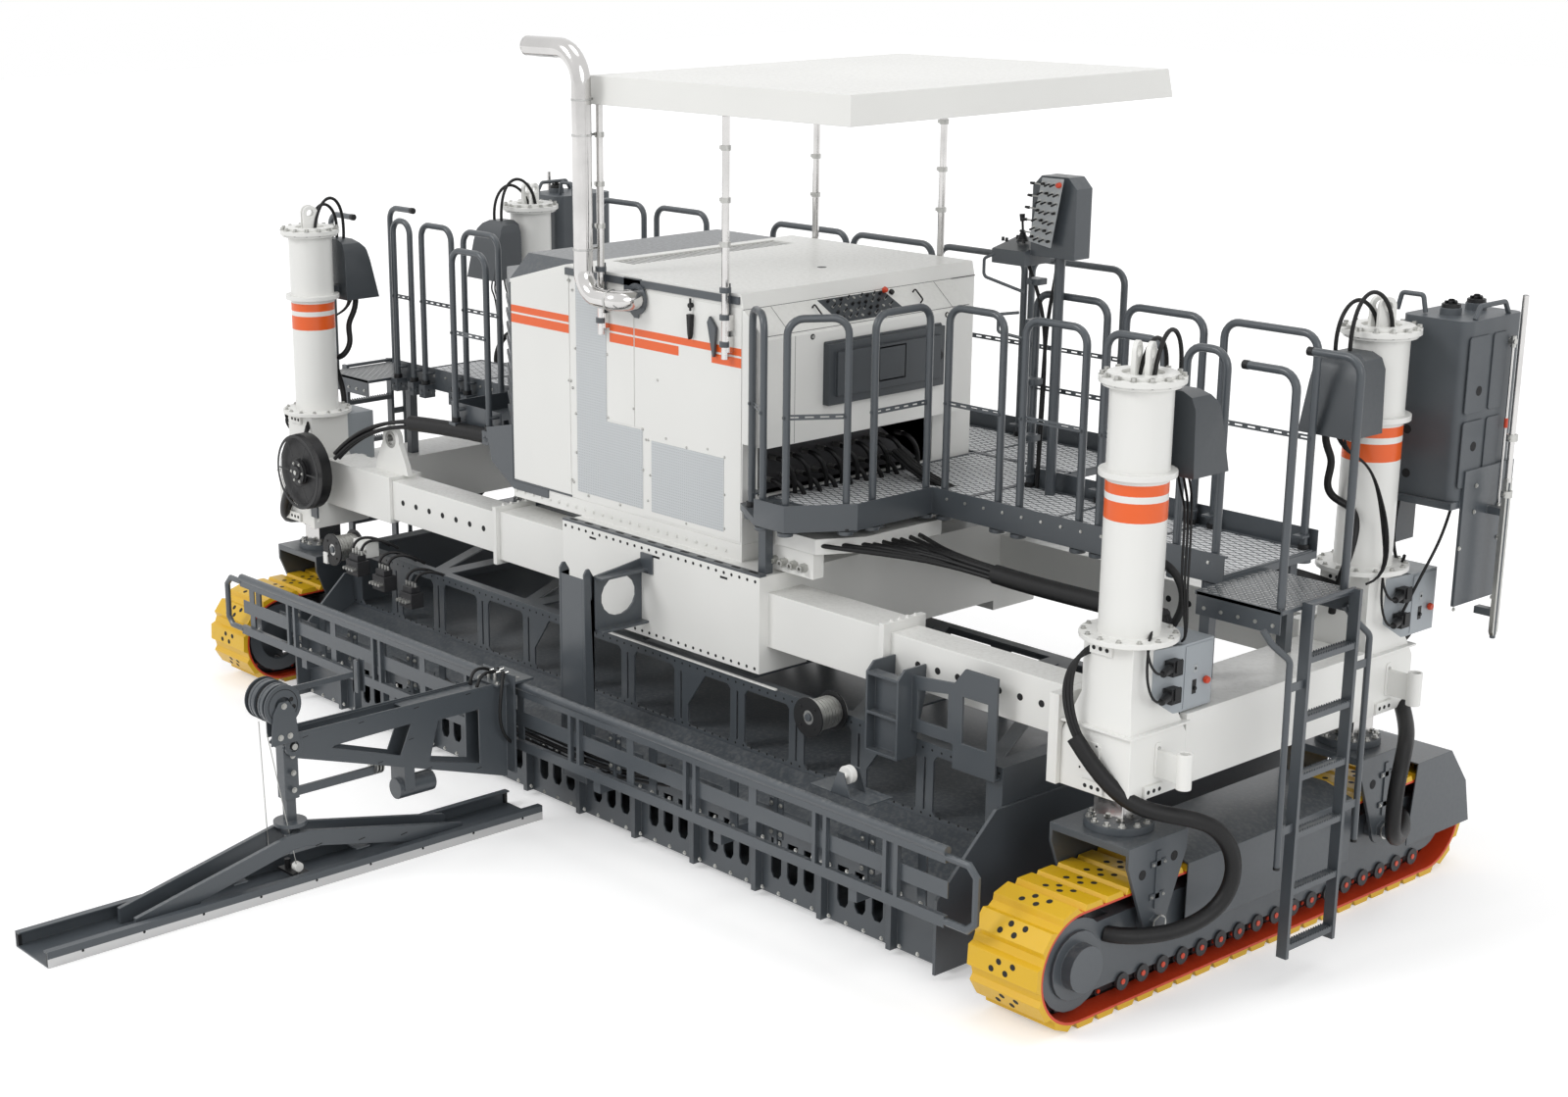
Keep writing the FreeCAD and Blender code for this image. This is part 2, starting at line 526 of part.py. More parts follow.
# Lifting columns: one drawn at the right rear, the others mirrored.
def lugs(head):
    """Two lifting lugs on the head flange, turned towards the slings, with one eye through both."""
    plates = []
    for index, start in enumerate(("0 - lug_gap/2 - lug_thickness", "lug_gap/2")):
        plates.append(block(f"lug_{index}", (start, f"{start} + lug_thickness"), ("0 - lug_radius", "lug_radius"),
                            ("0", "lug_height")))
        plates.append(rod(f"lug_top_{index}", "X", (start, "0", "lug_height"), "lug_radius", "lug_thickness", 20))
    foot = block("lug_foot", ("0 - lug_gap/2 - lug_thickness", "lug_gap/2 + lug_thickness"),
                 ("0 - lug_radius", "lug_radius"), ("0 - head_flange/2", "0"))
    eye = rod("lug_eye", "X", ("0 - lug_gap/2 - lug_thickness - 1", "0", "lug_height"), "lug_eye_radius",
              "lug_gap + 2*lug_thickness + 2")
    pair = joined("lugs", [foot] + plates, [eye])
    pair.Placement = FreeCAD.Placement(V(), FreeCAD.Rotation(V(0, 0, 1), number("lug_turn")))
    pair.setExpression("Placement.Rotation.Angle", bound("lug_turn"))
    for corner, place in zip("xyz", ("track_x", "0 - column_y", head)):
        pair.setExpression(f"Placement.Base.{corner}", bound(place))
    return pair


def column():
    """Tube with flanges and lifting lugs on a square housing, bored for the leg."""
    bottom, top = "tube_bottom", "tube_top"
    parts = []
    for name, low, high, radius in (("tube", bottom, top, "tube_radius"),
                                    ("foot", bottom, f"{bottom} + foot_flange", "foot_flange_radius"),
                                    ("stop", "stop_ring_height", "stop_ring_height + stop_ring", "stop_ring_radius"),
                                    ("seat", f"{top} - seat_flange", top, "seat_flange_radius"),
                                    ("head", top, f"{top} + head_flange", "head_flange_radius")):
        parts.append(rod(f"column_{name}", "Z", ("track_x", "0 - column_y", low), radius, f"({high}) - ({low})", tube_sides))
    neck = block("housing_upper", ("track_x - neck_half", "track_x + neck_half"),
                 ("0 - column_y - neck_half", "neck_half - column_y"), ("housing_neck", bottom))
    low = block("housing_lower", ("track_x - housing_half", "track_x + housing_half"),
                ("0 - column_y - housing_half", "housing_half - column_y"), ("housing_bottom", "housing_shoulder"))
    skirt = named("Part::Wedge", "housing_skirt")
    for key, text in (("Xmin", "0 - housing_half"), ("Xmax", "housing_half"), ("Zmin", "0 - housing_half"),
                      ("Zmax", "housing_half"), ("X2min", "0 - neck_half"), ("X2max", "neck_half"),
                      ("Z2min", "0 - neck_half"), ("Z2max", "neck_half"), ("Ymin", "0"),
                      ("Ymax", "housing_neck - housing_shoulder")):
        skirt.setExpression(key, bound(text))
    skirt.Placement = FreeCAD.Placement(V(), FreeCAD.Rotation(V(1, 0, 0), 90))
    for corner, text in zip("xyz", ("track_x", "0 - column_y", "housing_shoulder")):
        skirt.setExpression(f"Placement.Base.{corner}", bound(text))
    passages = []
    for name, bore, start, end in (("guide", "leg_width/2 + running_gap", "housing_bottom - 1", "passage_top"),
                                   ("relief", "leg_width/2 + leg_clearance", "housing_bottom + 60", f"{bottom} - 60")):
        passages.append(block(f"leg_{name}", (f"track_x - ({bore})", f"track_x + {bore}"),
                              (f"0 - column_y - ({bore})", f"{bore} - column_y"), (start, end)))
    parts += [neck, low, skirt, lugs(f"{top} + head_flange")]
    parts.append(rod("corner_boss", "Z", ("track_x + boss_reach", "0 - column_y", "boss_bottom"), "boss_radius",
                     "boss_height", 16))
    parts.append(block("corner_web", ("track_x + housing_half", "track_x + boss_reach"),
                       ("0 - column_y - boss_web/2", "boss_web/2 - column_y"),
                       ("boss_bottom + 20", "boss_bottom + boss_height - 20")))
    bore_hole = rod("corner_bore", "Z", ("track_x + boss_reach", "0 - column_y", "boss_bottom - 1"), "boss_bore",
                    "boss_height + 2")
    return joined("column", parts, passages + [bore_hole])


def column_pair():
    """Rear column and its mirror image in front."""
    rear = column()
    front = named("Part::Mirroring", "front_column")
    front.Source = rear
    front.Normal = V(0, 1, 0)
    return group("column_pair", [rear, front])


right_columns = node("right_columns", column_pair())
mirrored("left_columns", right_columns)


# White main frame.
def beam_pair(name, left, right, margin):
    """Rear and front beams of one telescopic size."""
    beams = []
    for place, low, high in (("rear", "beam_rear", "beam_rear + beam_depth"),
                             ("front", "0 - beam_rear - beam_depth", "0 - beam_rear")):
        beams.append(block(f"{name}_{place}", (left, right), (f"{low} + {margin}", f"{high} - {margin}"),
                           (f"beam_bottom + {margin}", f"beam_top - {margin}")))
    return beams


def main_frame():
    """Two boxes with cross members, the outer telescopic beams and the engine bed."""
    parts = beam_pair("outer_beam", "beam_left", "beam_right", "0")
    for place, low in (("rear", "box_rear"), ("front", "0 - box_rear - box_depth")):
        parts.append(block(f"box_{place}", ("box_left", "box_right"), (low, f"{low} + box_depth"),
                           ("box_bottom", "box_top")))
    for place, low in (("left", "box_left"), ("right", "box_right - cross_width")):
        parts.append(block(f"cross_{place}", (low, f"{low} + cross_width"), ("box_rear + box_depth/2",
                                                                         "0 - box_rear - box_depth/2"),
                           ("box_bottom + 60", "box_top")))
    for end, low in (("left", "beam_left"), ("right", "beam_right - collar")):
        for place, rear in (("rear", "beam_rear - collar_rim"), ("front", "0 - beam_rear - beam_depth - collar_rim")):
            parts.append(block(f"collar_{end}_{place}", (low, f"{low} + collar"),
                               (rear, f"{rear} + beam_depth + 2*collar_rim"),
                               ("beam_bottom - collar_rim", "beam_top + collar_rim")))
    parts.append(block("engine_bed", ("hood_left", "hood_wall_x"), ("hood_rear", "hood_front"),
                       ("bed_bottom", "hood_bottom")))
    return joined("main_frame", parts)


node("main_frame", main_frame())
node("telescopic_beams", group("inner_beams", beam_pair("inner_right", "beam_right", "side_flange_x", "inner_margin")
                               + beam_pair("inner_left", "left_module_right", "beam_left", "inner_margin")))


def side_beam():
    """Beam between a side's two columns, with the flanges that take the telescopic beams."""
    parts = [block("side_box", ("track_x - side_beam_half", "track_x + side_beam_half"),
                   ("housing_half - column_y", "column_y - housing_half"), ("side_beam_bottom", "side_beam_top"))]
    for place, low in (("rear", "0 - column_y - 240"), ("front", "column_y - 215")):
        parts.append(block(f"side_flange_{place}", ("side_flange_x", "side_flange_x + side_flange"),
                           (low, f"{low} + 455"), ("housing_bottom", "side_flange_top")))
    return joined("side_beam", parts)


right_side_beam = node("right_side_beam", side_beam())
mirrored("left_side_beam", right_side_beam)


def left_module():
    """Wide modules on the left, each with a lifting eye on a broad foot."""
    parts = []
    for place, low in (("rear", "beam_rear"), ("front", "0 - beam_rear - beam_depth")):
        box = block(f"module_{place}", ("0 - side_flange_x", "left_module_right"), (low, f"{low} + beam_depth"),
                    ("beam_bottom", "beam_top"))
        front = f"{low} + beam_depth/2 + eye_thickness/2"
        ear = wall(f"eye_{place}_foot", front, "eye_thickness", [[
            ("eye_x - eye_foot", "beam_top"), ("eye_x + eye_foot", "beam_top"), ("eye_x + eye_foot - 20", "beam_top + 70"),
            ("eye_x + eye_radius*0.9", "eye_height"), ("eye_x - eye_radius*0.9", "eye_height"),
            ("eye_x - eye_foot + 20", "beam_top + 70")]])
        ring = rod(f"eye_{place}_ring", "Y", ("eye_x", f"{front} - eye_thickness", "eye_height"), "eye_radius",
                   "eye_thickness", 20)
        hole = rod(f"eye_{place}_hole", "Y", ("eye_x", f"{front} - eye_thickness - 1", "eye_height"),
                   "eye_bore", "eye_thickness + 2")
        parts.append(joined(f"left_module_{place}", [box, ear, ring], [hole]))
    return group("left_modules", parts)


node("left_frame_modules", left_module())


# Engine hood and what it carries.
def hood():
    """Hollow hood with the sloped shelf under its right end, which stops short of the front."""
    skin = "hood_skin"
    shape = [("hood_left", "hood_bottom"), ("hood_left", "hood_low_top"), ("hood_peak_x", "hood_top"),
             ("hood_brow_x", "hood_top"), ("hood_wall_x", "hood_brow"), ("hood_right", "hood_crease"),
             ("hood_right", "hood_chin"), ("hood_wall_x", "hood_chin"), ("hood_wall_x", "hood_bottom")]
    hollow = [(f"hood_left + {skin}", "hood_bottom - 1"), (f"hood_left + {skin}", f"hood_low_top - {skin}"),
              ("hood_peak_x", f"hood_top - {skin}"), (f"hood_brow_x - {skin}", f"hood_top - {skin}"),
              (f"hood_wall_x - {skin}", f"hood_brow - {skin}"), (f"hood_wall_x - {skin}", "hood_bottom - 1")]
    brow = [(f"hood_wall_x - {skin} - 1", f"hood_brow - {skin}"), (f"hood_right - {skin}", f"hood_crease - {skin}"),
            (f"hood_right - {skin}", f"hood_chin + {skin}"), (f"hood_wall_x - {skin} - 1", f"hood_chin + {skin}")]
    outer = wall("hood_outside", "hood_front", "hood_front - hood_rear", [shape])
    inner = wall("hood_inside", f"hood_front - {skin}", f"hood_front - hood_rear - 2*{skin}", [hollow])
    nook = wall("brow_inside", f"brow_front - {skin}", f"brow_front - hood_rear - 2*{skin}", [brow])
    end = block("brow_end", ("hood_wall_x", "hood_right + 1"), ("brow_front", "hood_front + 1"),
                ("hood_bottom - 1", "hood_top + 1"))
    port = block("hood_port", (f"hood_wall_x - 2*{skin}", "hood_right + 1"),
                 ("hood_rear + port_margin", "brow_front - port_margin"), ("port_bottom", "hood_chin"))
    chin = block("hood_chin_port", (f"hood_wall_x - 2*{skin}", f"hood_right - {skin}"),
                 ("hood_rear + port_margin", "brow_front - port_margin"), ("hood_chin - 1", f"hood_chin + {skin} + 1"))
    grille = block("hood_top_louvre", ("louvre_left", "louvre_right"), ("hood_rear + 300", "hood_front - 240"),
                   (f"hood_top - {skin}/2", "hood_top + 1"))
    return joined("hood", [outer], [inner, nook, end, port, chin, grille])


node("hood", hood())
node("engine", block("engine_block", ("engine_left", "engine_right"), ("0 - engine_half", "engine_half"),
                     ("hood_bottom", "engine_top")))


def radiator_end():
    """Grey end cowl with louvres on its bevels, and the leaning cap on the hood's left end."""
    plan = [("hood_left", "hood_rear + 10"), ("hood_left", "hood_front - 10"), ("radiator_left", "radiator_front"),
            ("radiator_left", "radiator_rear")]
    cowl = sheet_plate("cowl_body", "hood_bottom", "radiator_top - hood_bottom", [plan])
    blades = []
    for name, near, far, side in (("rear", "hood_rear + 10", "radiator_rear", "-1"),
                                  ("front", "hood_front - 10", "radiator_front", "1")):
        blade = sheet_plate(f"louvre_{name}", "hood_bottom + louvre_first", "louvre_height", [[
            ("hood_left", near), ("hood_left", f"{near} + {side}*louvre_depth"),
            ("radiator_left", f"{far} + {side}*louvre_depth"), ("radiator_left", far)]])
        blades += copied(f"louvre_{name}", blade, "z", "louvre_pitch", int(number("louvres")))
    over = wall("cap_over", "hood_front", "hood_front - hood_rear", [[
        ("hood_left", "hood_low_top"), ("hood_peak_x", "hood_top"), ("hood_left", "hood_top")]])
    lean = cheek("cap_lean_section", "hood_left", "hood_peak_x - hood_left", [[
        ("hood_rear", "hood_low_top"), ("hood_front", "hood_low_top"), ("hood_front - cap_lean", "hood_top"),
        ("hood_rear + cap_lean", "hood_top")]])
    cap = named("Part::MultiCommon", "cowl_cap")
    cap.Shapes = [over, lean]
    return group("cowl", [joined("cowl_louvred", [cowl] + blades), cap])


node("radiator_end", radiator_end())


def panel_cover():
    """Moulded cover with a raised rim and its hinge barrel along the top edge."""
    base = block("panel_base", ("hood_right + running_gap", "hood_right + panel_thickness - 20"),
                 ("panel_rear", "panel_front"), ("panel_bottom", "panel_top - 2*panel_hinge_radius"))
    crown = block("panel_crown", ("hood_right + panel_thickness - 20", "hood_right + panel_thickness"),
                  ("panel_rear + 50", "panel_front - 50"), ("panel_bottom + 50", "panel_top - 70"))
    barrel = rod("panel_barrel", "Y", ("hood_right + running_gap + panel_hinge_radius", "panel_rear",
                                       "panel_top - 2*panel_hinge_radius"), "panel_hinge_radius",
                 "panel_front - panel_rear")
    return joined("panel_cover", [base, crown, barrel])


node("panel_cover", panel_cover())

node("exhaust", pipe("exhaust_pipe", [
    ("exhaust_port_x", "hood_rear", "exhaust_port_height"),
    ("exhaust_port_x", "exhaust_y + 40", "exhaust_port_height"),
    ("exhaust_port_x - 50", "exhaust_y", "exhaust_port_height"),
    ("exhaust_x + 60", "exhaust_y", "exhaust_port_height"),
    ("exhaust_x", "exhaust_y", "exhaust_port_height + 80"),
    ("exhaust_x", "exhaust_y", "exhaust_top"),
    ("exhaust_x - 70", "exhaust_y", "exhaust_top + 130"),
    ("exhaust_x - 220", "exhaust_y", "exhaust_tip_height"),
    ("exhaust_tip_x", "exhaust_y", "exhaust_tip_height")], "exhaust_radius"))


def canopy():
    """Flat roof whose sides lean in towards the top."""
    roof = named("Part::Wedge", "roof")
    for key, text in (("Xmin", "canopy_left"), ("Xmax", "canopy_right"), ("Zmin", "0 - canopy_front"),
                      ("Zmax", "0 - canopy_rear"), ("X2min", "canopy_left + canopy_taper"),
                      ("X2max", "canopy_right - canopy_taper"), ("Z2min", "canopy_taper - canopy_front"),
                      ("Z2max", "0 - canopy_rear - canopy_taper"), ("Ymin", "0"),
                      ("Ymax", "canopy_top - canopy_bottom")):
        roof.setExpression(key, bound(text))
    roof.Placement = FreeCAD.Placement(V(), FreeCAD.Rotation(V(1, 0, 0), 90))
    roof.setExpression("Placement.Base.z", bound("canopy_bottom"))
    return group("canopy_roof", [roof])


node("canopy", canopy())


def canopy_posts():
    """Four upright posts, each held to the hood by two clamps."""
    posts = []
    for name, across, along, face, sign in (
            ("rear_left", "post_rear_left", "post_rear_y", "hood_rear", "-1"),
            ("rear_right", "post_rear_right", "post_rear_y", "hood_rear", "-1"),
            ("front_left", "post_front_left", "post_front_y", "hood_front", "1"),
            ("front_right", "post_front_right", "post_front_y", "hood_front", "1")):
        parts = [rod(f"post_{name}", "Z", (across, along, "post_bottom"), "post_radius", "canopy_bottom - post_bottom", 8)]
        low, high = (along, face) if sign == "-1" else (face, along)
        for index, height in enumerate(("post_bottom + 40", "hood_low_top - 60")):
            parts.append(block(f"clamp_{name}_{index}", (f"{across} - clamp_half", f"{across} + clamp_half"),
                               (low, high), (height, f"{height} + clamp_height")))
        posts.append(joined(f"posts_{name}", parts))
    return group("posts", posts)


node("canopy_posts", canopy_posts())


# Decks, rails and ladders. The left-hand rails stand in sockets outside the toe boards.
left_walk_line, left_bay_line = "walk_rear - socket_reach", "bay_corner_y - socket_reach"
left_spans = [((("0 - walk_right", start), ("0 - walk_right", end)), left_walk_line)
              for start, end in ((130, 330), (470, 820), (960, 1350))]
left_spans.append(((("left_bay_left", 130), ("left_bay_left", 490)), left_bay_line))
left_feet = [(f"{edge} + {step}", line) for ends, line in left_spans for edge, step in ends]


def decks():
    """Platforms beside the hood, both walkways, the front walkway, the landings and the toe boards."""
    low = "deck_top - deck_thickness"
    board = "toe_thickness"
    left = "0 - walk_right"
    cowl = "radiator_left - deck_clearance"
    rim = [("bay_corner_x - 240", "bay_rear"), ("bay_corner_x", "bay_rear"), ("bay_right", "bay_corner_y")]
    rear_bay = [("hood_wall_x + deck_clearance", "hood_rear - 20"), *rim, ("bay_right", "walk_front"),
                ("hood_wall_x + deck_clearance", "walk_front")]
    kerb = [*rim, (f"bay_right - {board}", "bay_corner_y"), (f"bay_corner_x - {board}/2", f"bay_rear + {board}"),
            ("bay_corner_x - 240", f"bay_rear + {board}")]
    parts = [sheet_plate("bay_deck", low, "deck_thickness", [rear_bay]),
             sheet_plate("bay_kerb", "deck_top", "toe_height", [kerb]),
             sheet_plate("left_bay", low, "deck_thickness", [[
                 ("left_bay_left", "bay_corner_y"), ("left_bay_right", "bay_corner_y"),
                 ("left_bay_right", "bay_corner_y + 30"), (cowl, "radiator_rear - 50"), (cowl, "walk_rear"),
                 ("left_bay_left", "walk_rear")]])]
    for name, x, y in (("right_walk", ("bay_right", "walk_right"), ("walk_rear", "walk_front")),
                       ("front_walk", ("front_left", "bay_right"), ("hood_front + deck_clearance", "front_walk_front")),
                       ("bay_link", ("hood_wall_x + deck_clearance", "bay_right"), ("walk_front", "front_walk_front")),
                       ("left_walk", (left, cowl), ("walk_rear", "walk_front")),
                       ("left_link", ("front_left", cowl), ("walk_front", "front_walk_front"))):
        parts.append(block(name, x, y, (low, "deck_top")))
    for name, x in (("right", ("walk_right", "landing_right")), ("left", ("0 - landing_right", left))):
        parts.append(block(f"{name}_landing", x, ("landing_rear", "landing_front"), (low, f"{low} + landing_thickness")))
    for name, x, y in (("right_rear", (f"bay_right - {board}", "walk_right"), ("walk_rear", f"walk_rear + {board}")),
                       ("right_front", ("bay_right", "walk_right"), (f"walk_front - {board}", "walk_front")),
                       ("left_rear", (left, "left_bay_left"), ("walk_rear", f"walk_rear + {board}")),
                       ("left_side", ("left_bay_left", f"left_bay_left + {board}"), ("bay_corner_y", f"walk_rear + {board}")),
                       ("left_bay_rear", ("left_bay_left", "left_bay_right"), ("bay_corner_y", f"bay_corner_y + {board}")),
                       ("front", ("front_left", "bay_right"), (f"front_walk_front - {board}", "front_walk_front")),
                       ("bay_side", (f"bay_right - {board}", "bay_right"), ("bay_corner_y", "walk_rear"))):
        parts.append(block(f"toe_{name}", x, y, ("deck_top", "deck_top + toe_height")))
    for index, (across, along) in enumerate(left_feet):
        edge = "bay_corner_y" if along == left_bay_line else "walk_rear"
        parts.append(block(f"socket_{index}", (f"{across} - socket_width/2", f"{across} + socket_width/2"),
                           (f"{along} - socket_width/2", edge), ("deck_top - socket_height", "deck_top")))
    return joined("deck_plates", parts)


node("decks", decks())


def deck_supports():
    """Props from the white frame and the side beams up to the decks."""
    top = "deck_top - deck_thickness"
    props = []
    for name, across, along, foot in (
            ("right_rear", "prop_x", "walk_rear + 60", "side_beam_top"),
            ("right_front", "prop_x", "walk_front - 60", "side_beam_top"),
            ("left_rear", "0 - prop_x", "walk_rear + 60", "side_beam_top"),
            ("left_front", "0 - prop_x", "walk_front - 60", "side_beam_top"),
            ("bay_rear", "box_right - 60", "box_rear + 100", "box_top"),
            ("bay_front", "box_right - 60", "0 - box_rear - 100", "box_top"),
            ("front_left", "box_left + 60", "0 - box_rear - 100", "box_top")):
        props.append(block(f"prop_{name}", (f"{across} - prop_half", f"{across} + prop_half"),
                           (f"{along} - prop_half", f"{along} + prop_half"), (foot, top)))
    return group("props", props)


node("deck_supports", deck_supports())


def loop_rail(name, first, second, foot):
    """An inverted U rail between two feet, its corners bevelled."""
    top = f"{foot} + rail_height"
    run = math.dist([number(value) for value in first], [number(value) for value in second])
    share = f"rail_bend/{run}"
    def between(part):
        return tuple(f"({a}) + (({b}) - ({a}))*({part})" for a, b in zip(first, second))
    return pipe(name, [(*first, foot), (*first, f"{top} - rail_bend"), (*between(share), top),
                       (*between(f"1 - {share}"), top), (*second, f"{top} - rail_bend"), (*second, foot)],
                "rail_radius")


def rails(name, feet):
    """Rail loops of one side, standing on the deck."""
    return group(name, [loop_rail(f"{name}_{index + 1}", *ends, "deck_top") for index, ends in enumerate(feet)])


bay_x, bay_y = "bay_right - 40", "bay_rear + 40"
rear_y, ahead_y = "walk_rear + 36", "walk_front - 36"
right_rails = [(("hood_wall_x + 110", "hood_rear - 30"), ("bay_corner_x - 210", bay_y)),
               (("bay_corner_x - 30", bay_y), ("bay_right - 60", "bay_corner_y - 30")),
               ((bay_x, "bay_corner_y + 150"), (bay_x, "walk_rear - 10"))]
for along, spans in ((rear_y, ((60, 450), (600, 1010), (1140, 1500), (1640, 1880))),
                     (ahead_y, ((60, 560), (690, 1200), (1330, 1900)))):
    right_rails += [((f"bay_right + {start}", along), (f"bay_right + {end}", along)) for start, end in spans]
def handrails():
    """Pair of rails that bend down from the walkway onto the landing, beside the ladder."""
    made = []
    for name, along in (("rear", "landing_rear + 40"), ("front", "landing_front - 40")):
        made.append(pipe(f"handrail_{name}", [
            ("landing_right - 40", along, "deck_top - deck_thickness + landing_thickness"),
            ("landing_right - 40", along, "deck_top + rail_height - rail_bend"),
            ("landing_right - 40 - rail_bend", along, "deck_top + rail_height"),
            ("landing_right - 340", along, "deck_top + rail_height")], "rail_radius"))
    return group("handrail_pair", made)


landing_rails = handrails()
left_landing_rails = named("Part::Mirroring", "left_handrails")
left_landing_rails.Source = landing_rails
left_landing_rails.Normal = V(1, 0, 0)
node("right_rails", group("right_rail_group", [rails("right_rail_set", right_rails), landing_rails]))
front_y = "front_walk_front - 36"
node("front_rails", rails("front_rail_set", [
    ((f"0 - 1500 + 770*{index}", front_y), (f"0 - 790 + 770*{index}", front_y)) for index in range(4)]))
left_rails = list(zip(left_feet[::2], left_feet[1::2]))
left_rails += [((f"front_left + {start}", front_y), (f"front_left + {end}", front_y))
               for start, end in ((60, 560), (700, 1240))]
node("left_rails", group("left_rail_group", [rails("left_rail_set", left_rails), left_landing_rails]))


def ladder():
    """Two stiles with flat rungs, hung from the landing's edge."""
    x = ("ladder_x - stile_depth/2", "ladder_x + stile_depth/2")
    parts = [block("stile_rear", x, ("ladder_rear", "ladder_rear + stile_width"), ("ladder_bottom", "ladder_top")),
             block("stile_front", x, ("ladder_front - stile_width", "ladder_front"), ("ladder_bottom", "ladder_top"))]
    rung = block("rung", ("ladder_x - rung_depth/2", "ladder_x + rung_depth/2"),
                 ("ladder_rear + stile_width", "ladder_front - stile_width"),
                 ("ladder_bottom + 40", "ladder_bottom + 40 + rung_height"))
    barrel = rod("ladder_barrel", "Y", ("ladder_hinge_x", "ladder_rear", "ladder_hinge_z"), "ladder_hinge_radius",
                 "ladder_front - ladder_rear")
    return joined("ladder", parts + [barrel] + copied("rungs", rung, "z", "rung_pitch", 6))


right_ladder = node("right_ladder", ladder())
mirrored("left_ladder", right_ladder)


def console():
    """Operator's desk and upright switch box on a post at the walkway's edge."""
    post = rod("console_post", "Z", ("console_x", "console_y", "deck_top"), "30", "console_base - deck_top", 12)
    box = wall("console_box", "console_y + console_depth/2", "console_depth", [[
        ("console_left", "console_base"), ("console_right", "console_base"), ("console_right", "console_top - 60"),
        ("console_right - 60", "console_top"), ("console_left + 60", "console_top"), ("console_left", "console_top - 60")]])
    desk = cheek("console_desk", "desk_left", "console_left - desk_left", [[
        ("console_y - 110", "console_base - 60"), ("console_y + 110", "console_base - 60"),
        ("console_y + 110", "console_base + 70"), ("console_y - 110", "console_base + 20")]])
    return joined("console", [post, box, desk])


node("console", console())


# Tanks, valve covers, junction boxes and masts.
def tank():
    """Moulded water tank with rounded upright edges, filler necks and its bracket."""
    shell = block("tank_shell", ("tank_left", "tank_right"), ("tank_rear", "tank_front"), ("tank_bottom", "tank_top"))
    rounded = named("Part::Fillet", "tank_rounded")
    rounded.Base = shell
    doc.recompute()
    upright = [index + 1 for index, edge in enumerate(shell.Shape.Edges)
               if abs(edge.tangentAt(edge.FirstParameter).z) > 0.9]
    rounded.Edges = [(index, number("tank_round"), number("tank_round")) for index in upright]
    necks = [rod(f"tank_neck_{index}", "Z", ("(tank_left + tank_right)/2", along, "tank_top"), "55", "40", 20)
             for index, along in enumerate(("tank_rear + 140", "tank_front - 140"))]
    return joined("tank", [rounded] + necks)


def tank_bracket():
    """Shelf under the tank on a web from the column's tube, and the sensor rod clamped to its side plate."""
    shelf = block("tank_shelf", ("tank_left", "tank_right"), ("tank_rear - 20", "tank_front"),
                  ("tank_bottom - 40", "tank_bottom"))
    web = block("tank_web", ("track_x - 20", "track_x + 20"), ("column_y", "tank_rear + 200"),
                ("tube_bottom + foot_flange + 60", "tank_bottom - 40"))
    plate = block("tank_side", ("tank_right", "tank_right + 20"), ("tank_rear + 60", "tank_front"),
                  ("mast_bottom + 200", "tank_bottom + 160"))
    tube = rod("mast_tube", "Z", ("mast_x", "mast_y", "mast_bottom"), "mast_radius", "mast_top - mast_bottom", 8)
    clamps = [block(f"mast_clamp_{index}", ("tank_right", "mast_x"), ("mast_y - 25", "mast_y + 25"),
                    (height, f"{height} + 40")) for index, height in enumerate(("mast_bottom + 120", "tank_bottom - 100"))]
    clear = rod("tank_web_clear", "Z", ("track_x", "column_y", "tube_bottom"), "tube_radius + running_gap",
                "tank_bottom - tube_bottom")
    return joined("tank_bracket", [shelf, web, plate, tube] + clamps, [clear])


right_tank = node("right_water_tank", tank())
mirrored("left_water_tank", right_tank)
right_bracket = node("right_tank_bracket", tank_bracket())
mirrored("left_tank_bracket", right_bracket)


def valve_cover(name, middle, side):
    """Moulded cover over a column's valves: leaning face, rounded top, on an arm from the stop ring."""
    near, far = f"{middle} + {side}*(stop_ring_radius + 4)", f"{middle} + {side}*(stop_ring_radius + 4 + valve_depth)"
    lean = [(near, "valve_bottom"), (far, "valve_bottom"), (f"{far} - {side}*60", "valve_top - 150"),
            (f"{far} - {side}*90", "valve_top - 60"), (f"{far} - {side}*150", "valve_top"), (near, "valve_top")]
    left, right = "valve_left", "valve_left + valve_width"
    arch = [(left, "valve_bottom"), (right, "valve_bottom"), (f"{right} - 10", "valve_top - 80"),
            (f"{right} - 35", "valve_top - 25"), (f"{right} - 90", "valve_top"), (f"{left} + 90", "valve_top"),
            (f"{left} + 35", "valve_top - 25"), (f"{left} + 10", "valve_top - 80")]
    front = far if side > 0 else near
    hood_shape = named("Part::MultiCommon", f"{name}_moulding")
    hood_shape.Shapes = [cheek(f"{name}_lean", left, "valve_width", [lean]), wall(f"{name}_arch", front, "valve_depth", [arch])]
    arm = tuple([middle, f"{middle} + {side}*(stop_ring_radius + 20)"][::side])
    ring_top = "stop_ring_height + stop_ring"
    return joined(name, [hood_shape, block(f"{name}_arm", ("track_x - 40", "track_x + 40"), arm,
                                           (ring_top, f"{ring_top} + 40"))],
                  [rod(f"{name}_clear", "Z", ("track_x", middle, f"{ring_top} - 1"), "tube_radius + running_gap",
                       "42", tube_sides)])


def junction(name, middle):
    """Electric box on a backing plate in front of the housing's neck."""
    rear = f"{middle} + neck_half"
    plate = block(f"{name}_plate", ("track_x - 60", "track_x + 60"), (rear, f"{rear} + 36"),
                  ("housing_neck + 20", "junction_bottom + junction_height - 60"))
    box = block(f"{name}_box", ("junction_left", "junction_left + junction_width"),
                (f"{rear} + 36", f"{rear} + 36 + junction_depth"), ("junction_bottom", "junction_bottom + junction_height"))
    return joined(name, [plate, box])


